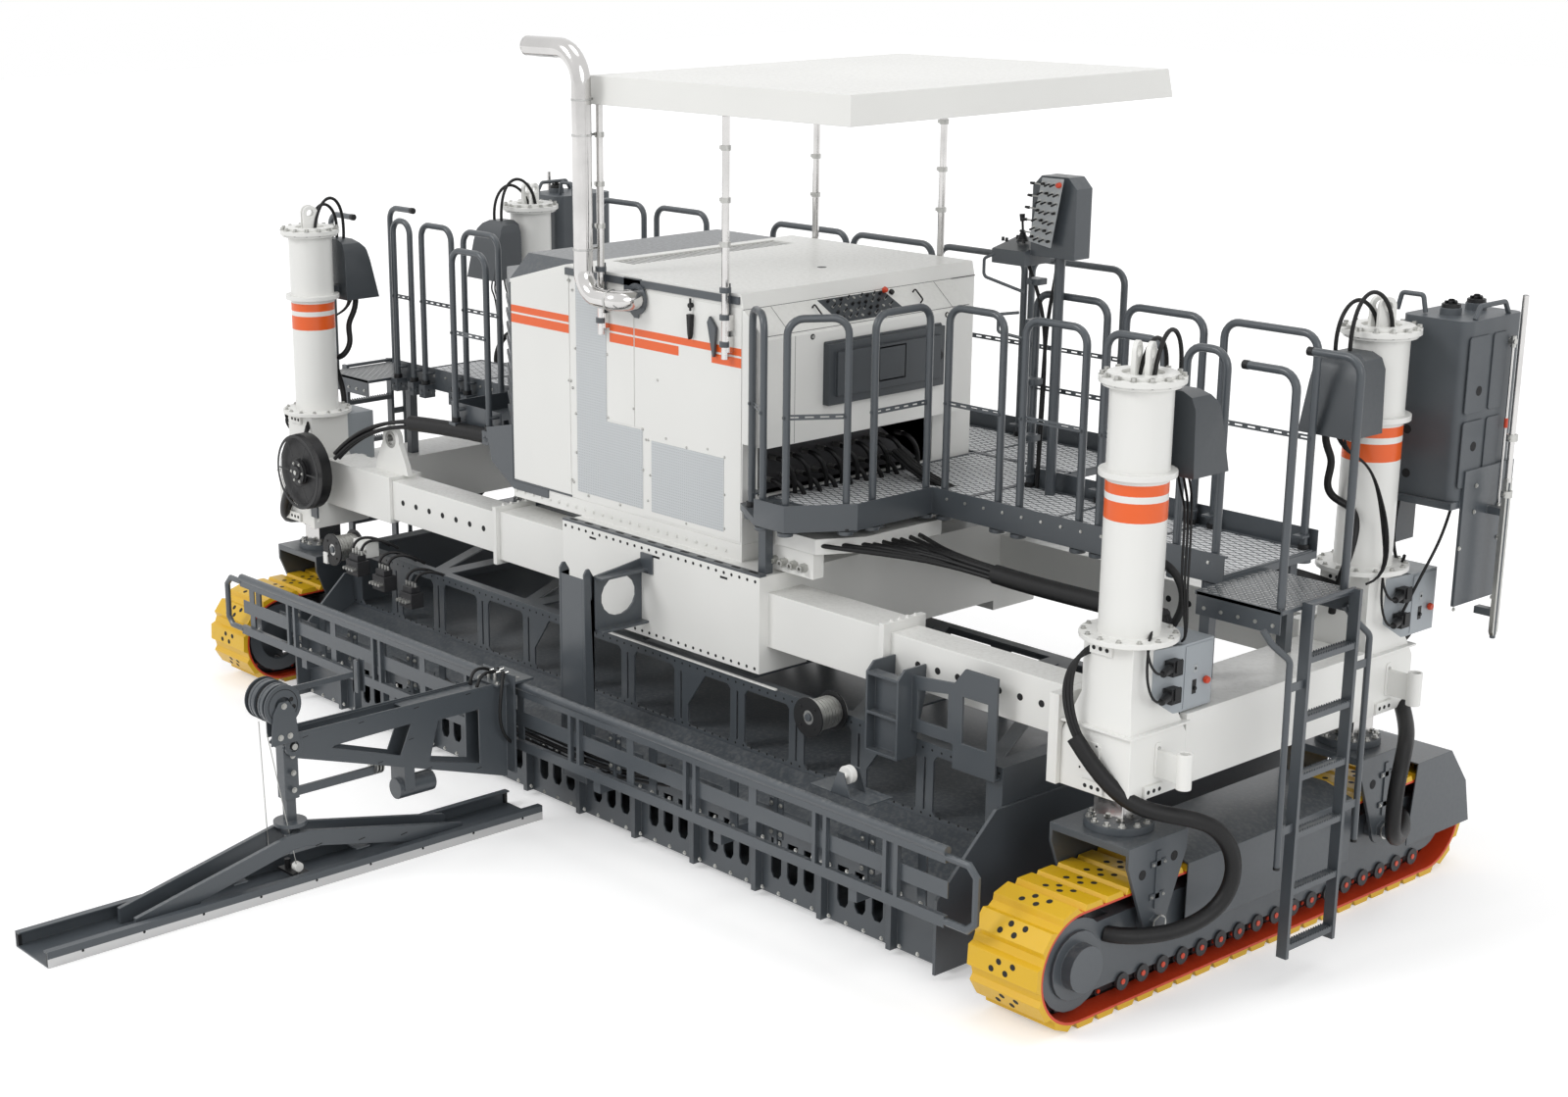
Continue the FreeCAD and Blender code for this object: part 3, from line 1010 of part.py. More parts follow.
def controls():
    """Valve covers on the sides that face each other, and electric boxes in front of the housings."""
    return group("control_set", [valve_cover("valve_rear", "0 - column_y", 1), valve_cover("valve_front", "column_y", -1),
                                 junction("junction_rear", "0 - column_y"), junction("junction_front", "column_y")])


right_controls = node("right_column_controls", controls())
mirrored("left_column_controls", right_controls)


# Mould under the frame.
def bay_wall(name, y):
    """Truss wall with a row of windows between slotted double posts; every third window is braced."""
    pitch = "(2*mould_half - 2*bay_margin)/bay_count"
    low, high, cut = "truss_bottom + bay_low", "truss_top - bay_margin", "bay_chamfer"
    start = "0 - mould_half + bay_margin"
    left, right = f"{start} + bay_post", f"{start} + {pitch} - bay_post"
    face, depth = f"{y} + 1", "truss_wall + 2"
    cutters = []
    for kind, brace, first in (("plain", cut, 0), ("braced", "bay_brace", 1), ("last", cut, 2)):
        window = wall(f"{name}_{kind}", face, depth, [[
            (f"{left} + {cut}", low), (f"{right} - {cut}", low), (right, f"{low} + {cut}"),
            (right, f"{high} - {cut}"), (f"{right} - {cut}", high), (f"{left} + {brace}", high),
            (left, f"{high} - {brace}*1.4"), (left, f"{low} + {cut}")]])
        shifted = copied(f"{name}_{kind}", window, "x", pitch, int(number("bay_count")))
        cutters += shifted[first::3]
    slot = block(f"{name}_slot", (f"{start} - bay_slot/2", f"{start} + bay_slot/2"), (f"{y} - truss_wall - 1", face),
                 (f"{low} + {cut}", f"{high} - {cut}"))
    cutters += copied(f"{name}_slots", slot, "x", pitch, int(number("bay_count")))[1:]
    plate = block(f"{name}_plate", ("0 - mould_half", "mould_half"), (f"{y} - truss_wall", y),
                  ("truss_bottom", "truss_top"))
    return joined(name, [plate], cutters)


def truss_top():
    """Top plate of the truss with triangular lightening holes."""
    pitch = "2*(mould_half - bay_margin)/bay_count"
    rear, front = "truss_rear + 70", "truss_front - 70"
    left = "0 - mould_half + bay_margin + bay_post"
    right = f"0 - mould_half + bay_margin + {pitch}*2 - bay_post"
    low, high = "truss_top - 1", "truss_wall + 2"
    cutters = []
    for name, corners in (("near", [(left, rear), (f"{right} - bay_slope", rear), (left, f"{front} - bay_slope")]),
                          ("far", [(right, front), (f"{left} + bay_slope", front), (right, f"{rear} + bay_slope")])):
        hole = sheet_plate(f"truss_hole_{name}", low, high, [corners])
        cutters += copied(f"truss_holes_{name}", hole, "x", f"2*{pitch}", int(number("bay_count/2")))
    plate = block("truss_top_plate", ("0 - mould_half", "mould_half"), ("truss_rear", "truss_front"),
                  ("truss_top", "truss_top + truss_wall"))
    return joined("truss_top_holed", [plate], cutters)


node("mould_truss", joined("truss", [
    bay_wall("truss_rear_wall", "truss_rear + truss_wall"), bay_wall("truss_front_wall", "truss_front"),
    truss_top()] + [
    block(f"truss_end_{name}", (low, f"{low} + truss_wall"), ("truss_rear", "truss_front"),
          ("truss_bottom", "truss_top")) for name, low in (("left", "0 - mould_half"),
                                                           ("right", "mould_half - truss_wall"))]))


def mould_pan():
    """Forming pan with its front wall, the slotted rear skirt and the sloped plate to the truss."""
    x = ("0 - mould_half", "mould_half")
    profile = [("skirt_rear", "pan_bottom"), ("mould_front", "pan_bottom"), ("mould_front", "truss_bottom"),
               ("mould_front - truss_wall", "truss_bottom"), ("mould_front - truss_wall", "pan_bottom + pan_thickness"),
               ("skirt_rear + truss_wall", "pan_bottom + pan_thickness"), ("skirt_rear + truss_wall", "skirt_top"),
               ("truss_rear + truss_wall", "truss_bottom - truss_wall"), ("truss_front", "truss_bottom - truss_wall"),
               ("truss_front", "truss_bottom"), ("truss_rear", "truss_bottom"), ("skirt_rear", "skirt_top")]
    shell = cheek("pan_section", x[0], "2*mould_half", [profile])
    posts = int(number("skirt_posts"))
    low, high = "slot_bottom", "slot_bottom + slot_height"
    across = "skirt_post_first + slot_pitch"
    slot = wall("slot_cutter", "skirt_rear + 2*truss_wall", "3*truss_wall", [[
        (f"{across} - slot_radius/2", low), (f"{across} + slot_radius/2", low),
        (f"{across} + slot_radius", f"{low} + slot_radius*0.8"), (f"{across} + slot_radius", high),
        (f"{across} - slot_radius", high), (f"{across} - slot_radius", f"{low} + slot_radius*0.8")]])
    three = group("slot_three", copied("slot_cutter", slot, "x", "slot_pitch", 3))
    tools = copied("slot_groups", three, "x", "skirt_post_pitch", posts - 1)
    first = block("skirt_post", ("skirt_post_first - skirt_post/2", "skirt_post_first + skirt_post/2"),
                  ("skirt_rear - skirt_post_depth", "skirt_rear"), ("pan_bottom", "skirt_top"))
    stand = copied("skirt_posts", first, "x", "skirt_post_pitch", posts)
    ribs = [block(f"pan_rib_{index}", (f"0 - mould_half + 40 + (2*mould_half - 92)/5*{index}",
                                       f"0 - mould_half + 52 + (2*mould_half - 92)/5*{index}"),
                  ("truss_rear + truss_wall", "truss_front"), ("pan_bottom + pan_thickness", "truss_bottom - truss_wall"))
            for index in range(6)]
    return joined("mould_pan", [shell] + ribs + stand, tools)


node("mould_pan", mould_pan())


def side_form():
    """Side plate of the mould with a stepped rear end."""
    shape = [("side_form_rear", "side_form_bottom"), ("side_form_front", "side_form_bottom"),
             ("side_form_front", "side_form_top - 160"), ("side_form_front - 160", "side_form_top"),
             ("side_form_rear + 420", "side_form_top"), ("side_form_rear", "side_form_top - 380")]
    return cheek("side_form", "mould_half", "side_form", [shape])


right_form = side_form()
left_form = named("Part::Mirroring", "left_form")
left_form.Source = right_form
left_form.Normal = V(1, 0, 0)
node("side_forms", group("form_pair", [right_form, left_form]))


def auger_half():
    """Screw of one side: a shaft with flats and the flight wound round it, one step to each flat."""
    radius, shaft, thick = number("auger_radius"), number("auger_shaft"), number("flight")
    flats, pitch = int(number("auger_flats")), number("auger_pitch")
    start, ends = number("auger_hanger/2 + auger_end_gap"), number("auger_end_gap - running_gap")
    length = number("mould_half - auger_end_gap") - start
    steps = int((length - thick) / pitch * flats)
    def place(step, reach, shift):
        angle = 2 * math.pi * step / flats
        return V(start + pitch * step / flats + shift, number("auger_y") + reach * math.cos(angle),
                 number("auger_height") + reach * math.sin(angle))
    def plane(*corners):
        return Part.Face(Part.makePolygon([*corners, corners[0]]))
    rings = [[place(step, *corner) for corner in ((shaft, 0), (radius, 0), (radius, thick), (shaft, thick))]
             for step in range(steps + 1)]
    faces = [plane(*rings[0]), plane(*rings[-1])]
    for near, far in zip(rings, rings[1:]):
        for index in range(4):
            following = (index + 1) % 4
            faces += [plane(near[index], near[following], far[following]), plane(near[index], far[following], far[index])]
    flight = Part.makeSolid(Part.makeShell(faces))
    circle = [V(start - ends, *place(step, shaft, 0)[1:]) for step in range(flats)]
    core = plane(*circle).extrude(V(length + 2 * ends, 0, 0))
    auger = named("Part::Feature", "auger")
    auger.Shape = Part.makeCompound([flight, core])
    return auger


right_auger = node("right_auger", group("auger_group", [auger_half()]))
mirrored("left_auger", right_auger)
node("auger_hangers", joined("auger_hanger_plates", [
    block("auger_beam", ("0 - mould_half", "mould_half"), ("mould_front", "auger_y + 40"), ("front_wall_top - 40",
                                                                                      "front_wall_top")),
    block("auger_mid_hanger", ("0 - auger_hanger/2", "auger_hanger/2"), ("auger_y - 40", "auger_y + 40"),
          ("auger_height - 60", "front_wall_top - 40"))]))


def channel(name, left, right, cheek_shape, back, bottom, top, shelves):
    """Two cheeks with a back plate between them and stiffening shelves in front of it."""
    inside = (f"{left} + hanger_cheek", f"{right} - hanger_cheek")
    parts = [cheek(f"{name}_left", left, "hanger_cheek", [cheek_shape]),
             cheek(f"{name}_right", f"{right} - hanger_cheek", "hanger_cheek", [cheek_shape]),
             block(f"{name}_back", inside, back, (bottom, top))]
    front, rear = cheek_shape[0][0], back[0]
    for index in range(shelves):
        height = f"{bottom} + (({top}) - ({bottom}) - hanger_plate)*{index}/{max(shelves - 1, 1)}"
        parts.append(block(f"{name}_shelf_{index}", inside, (front, rear), (height, f"{height} + hanger_plate")))
    return joined(name, parts)


def front_hanger(name, across, face, foot):
    """Bent plates from the truss's front wall up to a beam of the frame."""
    shape = [("truss_front", "hanger_bottom"), ("truss_front + 80", "hanger_bottom"), (face, foot), (face, "hanger_top"),
             (f"{face} - 80", "hanger_top"), (f"{face} - 80", "truss_top + 30"), ("truss_front + 40", "truss_top - 10"),
             ("truss_front", "truss_top - 10")]
    return [cheek(f"front_{name}_{index}", start, "hanger_cheek", [shape])
            for index, start in enumerate((f"{across} - hanger_half", f"{across} + hanger_half - hanger_cheek"))]


def hangers():
    """Channels that carry the mould under the frame, their brackets, and the spindles of the wire drums."""
    rear = "truss_rear - hanger_depth"
    inner_rear, inner_front = "beam_rear + inner_margin", "0 - beam_rear - beam_depth + inner_margin"
    shape = [(rear, "hanger_low"), ("truss_rear", "hanger_low"), ("truss_rear", "truss_top + truss_wall + 8"),
             (inner_rear, "beam_bottom + inner_margin"), (inner_rear, "hanger_top"), (f"{rear} + 50", "hanger_top"),
             (rear, "hanger_top - 50")]
    right = channel("right_channel", "hanger_right - hanger_half", "hanger_right + hanger_half", shape,
                    (f"{rear} + 60", f"{rear} + 60 + hanger_plate"), "hanger_low", "hanger_top - 50", 3)
    high = "outrigger_top"
    low = "truss_top + 70"
    start, end = "hanger_right + hanger_half", "outrigger_right"
    plate = wall("outrigger", "box_rear", "hanger_plate", [
        [(start, low), (f"{end} - 290", low), (f"{end} - 290", "truss_top - 60"), (end, "truss_top - 60"),
         (end, high), (f"{end} - 220", high), (f"{end} - 290", f"{high} - 90"), (start, f"{high} - 120")],
        [(f"{start} + 40", f"{low} + 70"), (f"{end} - 330", f"{low} + 70"), (f"{end} - 330", f"{high} - 160"),
         (f"{start} + 40", f"{high} - 190")],
        [(f"{end} - 230", f"{low} + 20"), (f"{end} - 60", f"{low} + 20"), (f"{end} - 60", f"{high} - 150"),
         (f"{end} - 230", f"{high} - 150")]])
    foot = block("outrigger_foot", (f"{end} - 290", end), ("box_rear", "truss_rear"), ("truss_top - 60", "truss_top - 44"))
    post_rear, post_face = "skirt_rear - 70", "skirt_rear"
    column_shape = [(post_rear, "skirt_top - 180"), (post_face, "skirt_top - 180"), (post_face, "bracket_top - 50"),
                    (f"{post_face} - 30", "bracket_top"), (f"{post_rear} + 20", "bracket_top"), (post_rear, "bracket_top - 30")]
    left = channel("left_channel", "bracket_x - 2*hanger_half", "bracket_x", column_shape,
                   (f"{post_rear} + 4", f"{post_rear} + 4 + hanger_plate/2"), "skirt_top - 180", "bracket_top - 60", 0)
    ring = []
    for step in range(16):
        angle = math.radians(22.5 * step + 11.25)
        ring.append((f"(skirt_rear + box_rear)/2 + oval_half*{math.cos(angle)}",
                     f"(bracket_top + bracket_bottom)/2 + (oval_half - 10)*{math.sin(angle)}"))
    bracket = cheek("oval_bracket", "bracket_x", "bracket_plate", [
        [("skirt_rear", "bracket_bottom"), ("box_rear", "bracket_bottom"), ("box_rear", "bracket_top"),
         ("skirt_rear", "bracket_top - 50")], ring])
    arms = [block(f"bracket_arm_{index}", ("bracket_x + bracket_plate", "bracket_x + 80"), ("skirt_rear", "box_rear"),
                  (height, f"{height} + 14")) for index, height in enumerate(("bracket_bottom", "bracket_top - 64"))]
    lug = wall("bracket_lug", "box_rear", "12", [[
        ("bracket_x + bracket_plate", "bracket_top - 80"), ("bracket_x + 120", "bracket_top - 80"),
        ("bracket_x + 120", "bracket_top + 40"), ("bracket_x + bracket_plate", "bracket_top + 40")]])
    pieces = [joined("right_hanger", [right, plate, foot]), joined("left_hanger", [left, bracket, lug] + arms)]
    pieces += front_hanger("left", "0 - 220", "0 - box_rear - box_depth", "box_bottom")
    pieces += front_hanger("right", "hanger_right", inner_front, "beam_bottom + inner_margin")
    for name, across in (("right", "drum_right_x"), ("left", "drum_left_x")):
        mount = block(f"spindle_{name}_plate", (f"{across} - 70", f"{across} + 70"),
                      ("truss_rear - truss_wall", "truss_rear"), ("truss_top - 45", "drum_height + 60"))
        spindle = rod(f"spindle_{name}", "Y", (across, "drum_y - drum_length/2 - 10", "drum_height"), "spindle_radius",
                      "truss_rear - truss_wall - drum_y + drum_length/2 + 10", 12)
        pieces.append(joined(f"spindle_{name}_set", [spindle, mount]))
    return group("hanger_set", pieces)


node("mould_hangers", hangers())


# Finishing beam behind the mould, and the smoother that travels along it.
def guide_beam():
    """Lattice panel: round top rail, paired posts with straps between, flats and bent-tube end guards."""
    low, high = "rail_beam_y - rail_beam_depth/2", "rail_beam_y + rail_beam_depth/2"
    top = "rail_beam_top"
    whole = ("0 - rail_beam_half", "rail_beam_half")
    thin = (f"{high} - strap_thickness", high)
    parts = [rod("guide_tube", "X", ("0 - rail_beam_half", "rail_beam_y", top), "rail_tube_radius",
                 "2*rail_beam_half", 12),
             block("guide_upper", whole, (low, high), (f"{top} - 60", top)),
             block("guide_middle", whole, thin, ("flat_bottom", "flat_bottom + flat_height")),
             block("guide_lower", whole, (low, high), ("rail_beam_bottom", "rail_beam_bottom + 60"))]
    pair = joined("guide_pair", [
        block(f"guide_post_{index}", (f"rail_first + {shift}", f"rail_first + {shift} + rail_post"), (low, high),
              ("rail_beam_bottom", top)) for index, shift in enumerate(("0", "rail_post + rail_post_gap"))])
    parts += copied("guide_posts", pair, "x", "rail_pitch", 6)
    parts += copied("guide_last", pair, "x", "5.5*rail_pitch", 2)[1:]
    strap = block("guide_strap", ("rail_first - rail_pitch/2", "rail_first - rail_pitch/2 + strap_width"), thin,
                  ("rail_beam_bottom", top))
    parts += copied("guide_straps", strap, "x", "rail_pitch", 7)
    for name, side in (("left", "-1"), ("right", "1")):
        end = f"{side}*(rail_beam_half - 10)"
        out = f"{side}*(rail_beam_half + guard_reach - 50)"
        tip = f"{side}*(rail_beam_half + guard_reach)"
        parts.append(pipe(f"guard_{name}", [(end, "rail_beam_y", f"{top} - 30"), (out, "rail_beam_y", f"{top} - 30"),
                                            (tip, "rail_beam_y", f"{top} - 80"),
                                            (tip, "rail_beam_y", "rail_beam_bottom + 80"),
                                            (out, "rail_beam_y", "rail_beam_bottom + 30"),
                                            (end, "rail_beam_y", "rail_beam_bottom + 30")], "guard_radius"))
    return parts


def guide_brackets():
    """Arms from every second post of the mould's skirt to the guide beam."""
    x = ("skirt_post_first - bracket_width/2", "skirt_post_first + bracket_width/2")
    arm = block("guide_arm", x, ("rail_beam_y + rail_beam_depth/2", "skirt_rear - skirt_post_depth"), ("rail_beam_bottom - 80", "rail_beam_bottom"))
    web = block("guide_web", x,
                ("rail_beam_y + rail_beam_depth/2", "rail_beam_y + rail_beam_depth/2 + 16"),
                ("rail_beam_bottom - 80", "rail_beam_bottom + 60"))
    return copied("guide_bracket", joined("guide_bracket_first", [arm, web]), "x", "2*skirt_post_pitch", int(number("(skirt_posts + 1)/2")))


node("smoother_guide_beam", joined("guide_beam", guide_beam() + guide_brackets()))


def carriage():
    """Carriage plate behind the guide beam, hooked over its top rail, with the boxed arm."""
    left, right = "carriage_x - carriage_half", "carriage_x + carriage_half"
    back = "rail_beam_y - rail_beam_depth/2 - 40"
    parts = [block("carriage_plate", (left, right), (f"{back} - carriage_plate", back),
                   ("carriage_bottom", "carriage_top")),
             block("carriage_hook", (left, right), (back, "rail_beam_y + 80"),
                   ("rail_beam_top + rail_tube_radius + roller_gap", "rail_beam_top + rail_tube_radius + roller_gap + 16"))]
    root = f"{back} - carriage_plate"
    shape = [(root, "arm_root_bottom"), (root, "arm_root_top"), ("arm_pivot_y", "arm_pivot_height + arm_end_radius"),
             ("arm_pivot_y - arm_end_radius", "arm_pivot_height"), ("arm_pivot_y", "arm_pivot_height - arm_end_radius")]
    window = [(f"({root}) - 554", "arm_root_bottom + 224"), (f"({root}) - 199", "arm_root_bottom + 130"),
              (f"({root}) - 199", "arm_root_top - 131"), (f"({root}) - 487", "arm_root_top - 132")]
    slot = [("arm_pivot_y + 254", "arm_pivot_height - 70"), ("arm_pivot_y + 270", "arm_pivot_height - 60"),
            ("arm_pivot_y + 786", "arm_pivot_height - 50"), ("arm_pivot_y + 708", "arm_pivot_height - 222")]
    for name, start in (("left", "carriage_x - arm_half"), ("right", "carriage_x + arm_half - arm_plate")):
        parts.append(cheek(f"arm_{name}", start, "arm_plate", [shape, window, slot]))
    parts.append(block("arm_root", ("carriage_x - arm_half", "carriage_x + arm_half"), (f"({root}) - 12", root),
                       ("arm_root_bottom", "arm_root_top")))
    parts.append(block("arm_top", ("carriage_x - arm_half", "carriage_x + arm_half"), (f"({root}) - 700", root),
                       ("arm_root_top - 24", "arm_root_top - 14")))
    for name, start, ear in (("left", "carriage_x - arm_half", "carriage_x - arm_half"),
                             ("right", "carriage_x + arm_half - spool_width", "carriage_x + arm_half - arm_plate")):
        parts.append(rod(f"spool_{name}", "X", (start, "spool_y", "spool_height"), "spool_radius", "spool_width", 32))
        parts.append(block(f"spool_ear_{name}", (ear, f"{ear} + arm_plate"), ("spool_y - 10", "spool_y + 90"),
                           ("arm_pivot_height + 30", "spool_height")))
    motor = rod("arm_motor", "Y", ("carriage_x", "arm_pivot_y + 708", "motor_height"), "motor_radius", "250", 16)
    seat = block("arm_motor_seat", ("carriage_x - arm_half", "carriage_x + arm_half"),
                 ("arm_pivot_y + 730", "arm_pivot_y + 800"), ("motor_height", "motor_seat_top"))
    return joined("smoother_carriage", parts + [motor, seat])


node("smoother_carriage", carriage())


def smoother_leg():
    """Hanging leg on its pin between the arm's cheeks, with the sliding sleeve's upper part."""
    bar = block("leg_tube", ("carriage_x - leg_half_x", "carriage_x + leg_half_x"),
                ("arm_pivot_y - leg_half_y", "arm_pivot_y + leg_half_y"), ("sleeve_bottom + 100", "arm_pivot_height + 30"))
    pin = rod("leg_pin", "X", ("carriage_x - arm_half + arm_plate + running_gap", "arm_pivot_y", "arm_pivot_height"),
              "leg_pin_radius", "2*(arm_half - arm_plate - running_gap)", 12)
    rod_link = block("leg_rod", ("carriage_x - 12", "carriage_x + 12"), ("arm_pivot_y + leg_half_y", "arm_pivot_y + 620"),
                     ("sleeve_bottom + 100", "sleeve_bottom + 150"))
    bore = block("leg_bore", ("carriage_x - 25 - running_gap", "carriage_x + 25 + running_gap"),
                 ("arm_pivot_y - 30 - running_gap", "arm_pivot_y + 30 + running_gap"),
                 ("sleeve_bottom", "arm_pivot_height - 60"))
    return joined("smoother_leg", [bar, pin, rod_link], [bore])


node("smoother_leg", smoother_leg())


def smoother_slide():
    """Inner leg with the swivel plate and the eye that holds the pan's cross pin."""
    bar = block("slide_bar", ("carriage_x - 25", "carriage_x + 25"), ("arm_pivot_y - 30", "arm_pivot_y + 30"),
                ("apex_height", "arm_pivot_height - 260"))
    eye = rod("slide_eye", "X", ("carriage_x - 40", "arm_pivot_y", "apex_height"), "apex_pin_radius + 18", "80", 16)
    plate = rod("swivel_plate", "Z", ("carriage_x", "arm_pivot_y", "apex_height + 44"), "swivel_radius", "24", 28)
    hole = rod("slide_hole", "X", ("carriage_x - 41", "arm_pivot_y", "apex_height"),
               "(apex_pin_radius + running_gap)/cos(11.25)", "82", 16)
    return joined("smoother_slide", [bar, eye, plate], [hole])


node("smoother_slide", smoother_slide())


def smoother_frame():
    """A-frame on the pan: two pairs of sloping rails from the apex."""
    shape = [("arm_pivot_y - 60", "apex_height + 19"), ("arm_pivot_y + 60", "apex_height + 19"),
             ("a_frame_front", "smooth_pan_thickness + 90"), ("a_frame_front", "smooth_pan_thickness"),
             ("a_frame_front - 60", "smooth_pan_thickness"), ("arm_pivot_y + 40", "apex_height - 70"),
             ("arm_pivot_y - 40", "apex_height - 70"), ("a_frame_rear + 60", "smooth_pan_thickness"),
             ("a_frame_rear", "smooth_pan_thickness"), ("a_frame_rear", "smooth_pan_thickness + 90")]
    parts = []
    for name, start in (("left", "carriage_x - a_frame_half"), ("right", "carriage_x + a_frame_half - a_frame_width")):
        parts.append(cheek(f"a_frame_{name}", start, "a_frame_width", [shape]))
    parts.append(rod("apex_pin", "X", ("carriage_x - a_frame_half", "arm_pivot_y", "apex_height"), "apex_pin_radius",
                     "2*a_frame_half", 16))
    return joined("smoother_a_frame", parts)


def smoother_pan():
    """Long shallow channel with folded lips."""
    skin = "smooth_pan_thickness"
    profile = [("pan_left", "0"), ("pan_right", "0"), ("pan_right", "pan_edge"), ("pan_right - lip", "pan_edge"),
               ("pan_right - lip", f"pan_edge - {skin}"), (f"pan_right - {skin}", f"pan_edge - {skin}"),
               (f"pan_right - {skin}", skin), (f"pan_left + {skin}", skin),
               (f"pan_left + {skin}", f"pan_edge - {skin}"), ("pan_left + lip", f"pan_edge - {skin}"),
               ("pan_left + lip", "pan_edge"), ("pan_left", "pan_edge")]
    return wall("pan_channel", "pan_front", "pan_front - pan_rear", [profile])


node("smoother_frame", smoother_frame())
node("smoother_pan", smoother_pan())


# Reels. Their bores have flats that clear the spindle at any angle.
spindle_bore = "(spindle_radius + running_gap)/cos(180/16)"


def drum(name, across):
    """Wire drum: core between two flanges on a fixed spindle line."""
    start = "drum_y - drum_length/2"
    parts = [rod(f"{name}_core", "Y", (across, start, "drum_height"), "drum_core", "drum_length", 20)]
    for place, shift in (("rear", "0"), ("front", "drum_length - drum_flange")):
        parts.append(rod(f"{name}_{place}", "Y", (across, f"{start} + {shift}", "drum_height"), "drum_radius",
                         "drum_flange", 24))
    return joined(name, parts, [rod(f"{name}_bore", "Y", (across, f"{start} - 1", "drum_height"), spindle_bore,
                                    "drum_length + 2", 16)])


node("right_wire_drum", drum("drum_right", "drum_right_x"))
node("left_wire_drum", drum("drum_left", "drum_left_x"))
node("cable_reel", joined("reel", [
    rod("reel_drum", "Y", ("reel_x", "reel_y - reel_thickness/2", "reel_height"), "reel_radius", "reel_thickness", 32),
    rod("reel_cap", "Y", ("reel_x", "reel_y - reel_thickness/2 - reel_boss", "reel_height"), "reel_hub", "reel_boss", 20)],
    [rod("reel_bore", "Y", ("reel_x", "reel_y - reel_thickness/2 - reel_boss - 1", "reel_height"), spindle_bore,
         "reel_thickness + reel_boss + 2", 16)]))


node("reel_bracket", joined("reel_arm", [
    rod("reel_spindle", "Y", ("reel_x", "reel_y - reel_thickness/2 - reel_boss - 10", "reel_height"), "spindle_radius",
        "reel_thickness + reel_boss + 20", 12),
    block("reel_post", ("reel_x - 40", "reel_x + 40"), ("reel_y + reel_thickness/2 + 4", "0 - column_y - 240"),
          ("housing_bottom + 90", "reel_height + 40"))]))

doc.recompute()
failed = [item.Label for item in doc.Objects if "Invalid" in item.State or "Error" in item.State]
bad = [label for label, item in nodes if item.Shape.isNull() or not item.Shape.isValid() or not item.Shape.Solids]
if failed or bad:
    raise SystemExit(f"failed: {failed}, bad shapes: {bad}")
os.makedirs("parts", exist_ok=True)
for label, item in nodes:
    item.Shape.exportStep(f"parts/{label}.step")
print(len(nodes), "sub-parts written")
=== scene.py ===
import math
import random

import bmesh
import bpy
from mathutils import Matrix, Vector


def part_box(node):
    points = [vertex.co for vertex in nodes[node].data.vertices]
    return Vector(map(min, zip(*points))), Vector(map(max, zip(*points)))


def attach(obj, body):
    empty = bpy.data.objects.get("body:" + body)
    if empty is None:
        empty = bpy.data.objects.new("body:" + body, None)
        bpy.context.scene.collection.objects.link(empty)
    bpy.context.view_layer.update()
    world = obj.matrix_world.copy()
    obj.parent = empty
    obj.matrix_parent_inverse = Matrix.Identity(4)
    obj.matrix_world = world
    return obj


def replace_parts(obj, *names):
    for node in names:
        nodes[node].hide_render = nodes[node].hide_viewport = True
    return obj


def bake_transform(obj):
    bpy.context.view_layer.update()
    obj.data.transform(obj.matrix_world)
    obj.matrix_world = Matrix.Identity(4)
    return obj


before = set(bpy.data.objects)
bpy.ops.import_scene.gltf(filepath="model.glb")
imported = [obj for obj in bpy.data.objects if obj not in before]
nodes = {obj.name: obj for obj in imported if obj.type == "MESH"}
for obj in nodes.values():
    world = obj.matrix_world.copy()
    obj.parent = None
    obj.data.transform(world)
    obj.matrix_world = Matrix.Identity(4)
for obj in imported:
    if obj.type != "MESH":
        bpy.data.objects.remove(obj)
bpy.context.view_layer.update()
pi = math.pi
dice = random.Random(11)
midline = sum(corner[1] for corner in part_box("right_columns")) / 2  # the machine's middle across its length
bothSides = (("right", 1), ("left", -1))
print("frame loaded")


class Wire:
    def __init__(self, finish, socket):
        self.finish = finish
        self.socket = socket

    def maths(self, operation, first, second):
        return self.finish.add("ShaderNodeMath", {"operation": operation}, {0: first, 1: second})

    def __add__(self, other):
        return self.maths("ADD", self, other)

    def __radd__(self, other):
        return self.maths("ADD", other, self)

    def __sub__(self, other):
        return self.maths("SUBTRACT", self, other)

    def __rsub__(self, other):
        return self.maths("SUBTRACT", other, self)

    def __mul__(self, other):
        return self.maths("MULTIPLY", self, other)

    def __rmul__(self, other):
        return self.maths("MULTIPLY", other, self)

    def __pow__(self, other):
        return self.maths("POWER", self, other)

    def __gt__(self, other):
        return self.maths("GREATER_THAN", self, other)

    def __lt__(self, other):
        return self.maths("LESS_THAN", self, other)

    def __abs__(self):
        return self.maths("ABSOLUTE", self, 0)


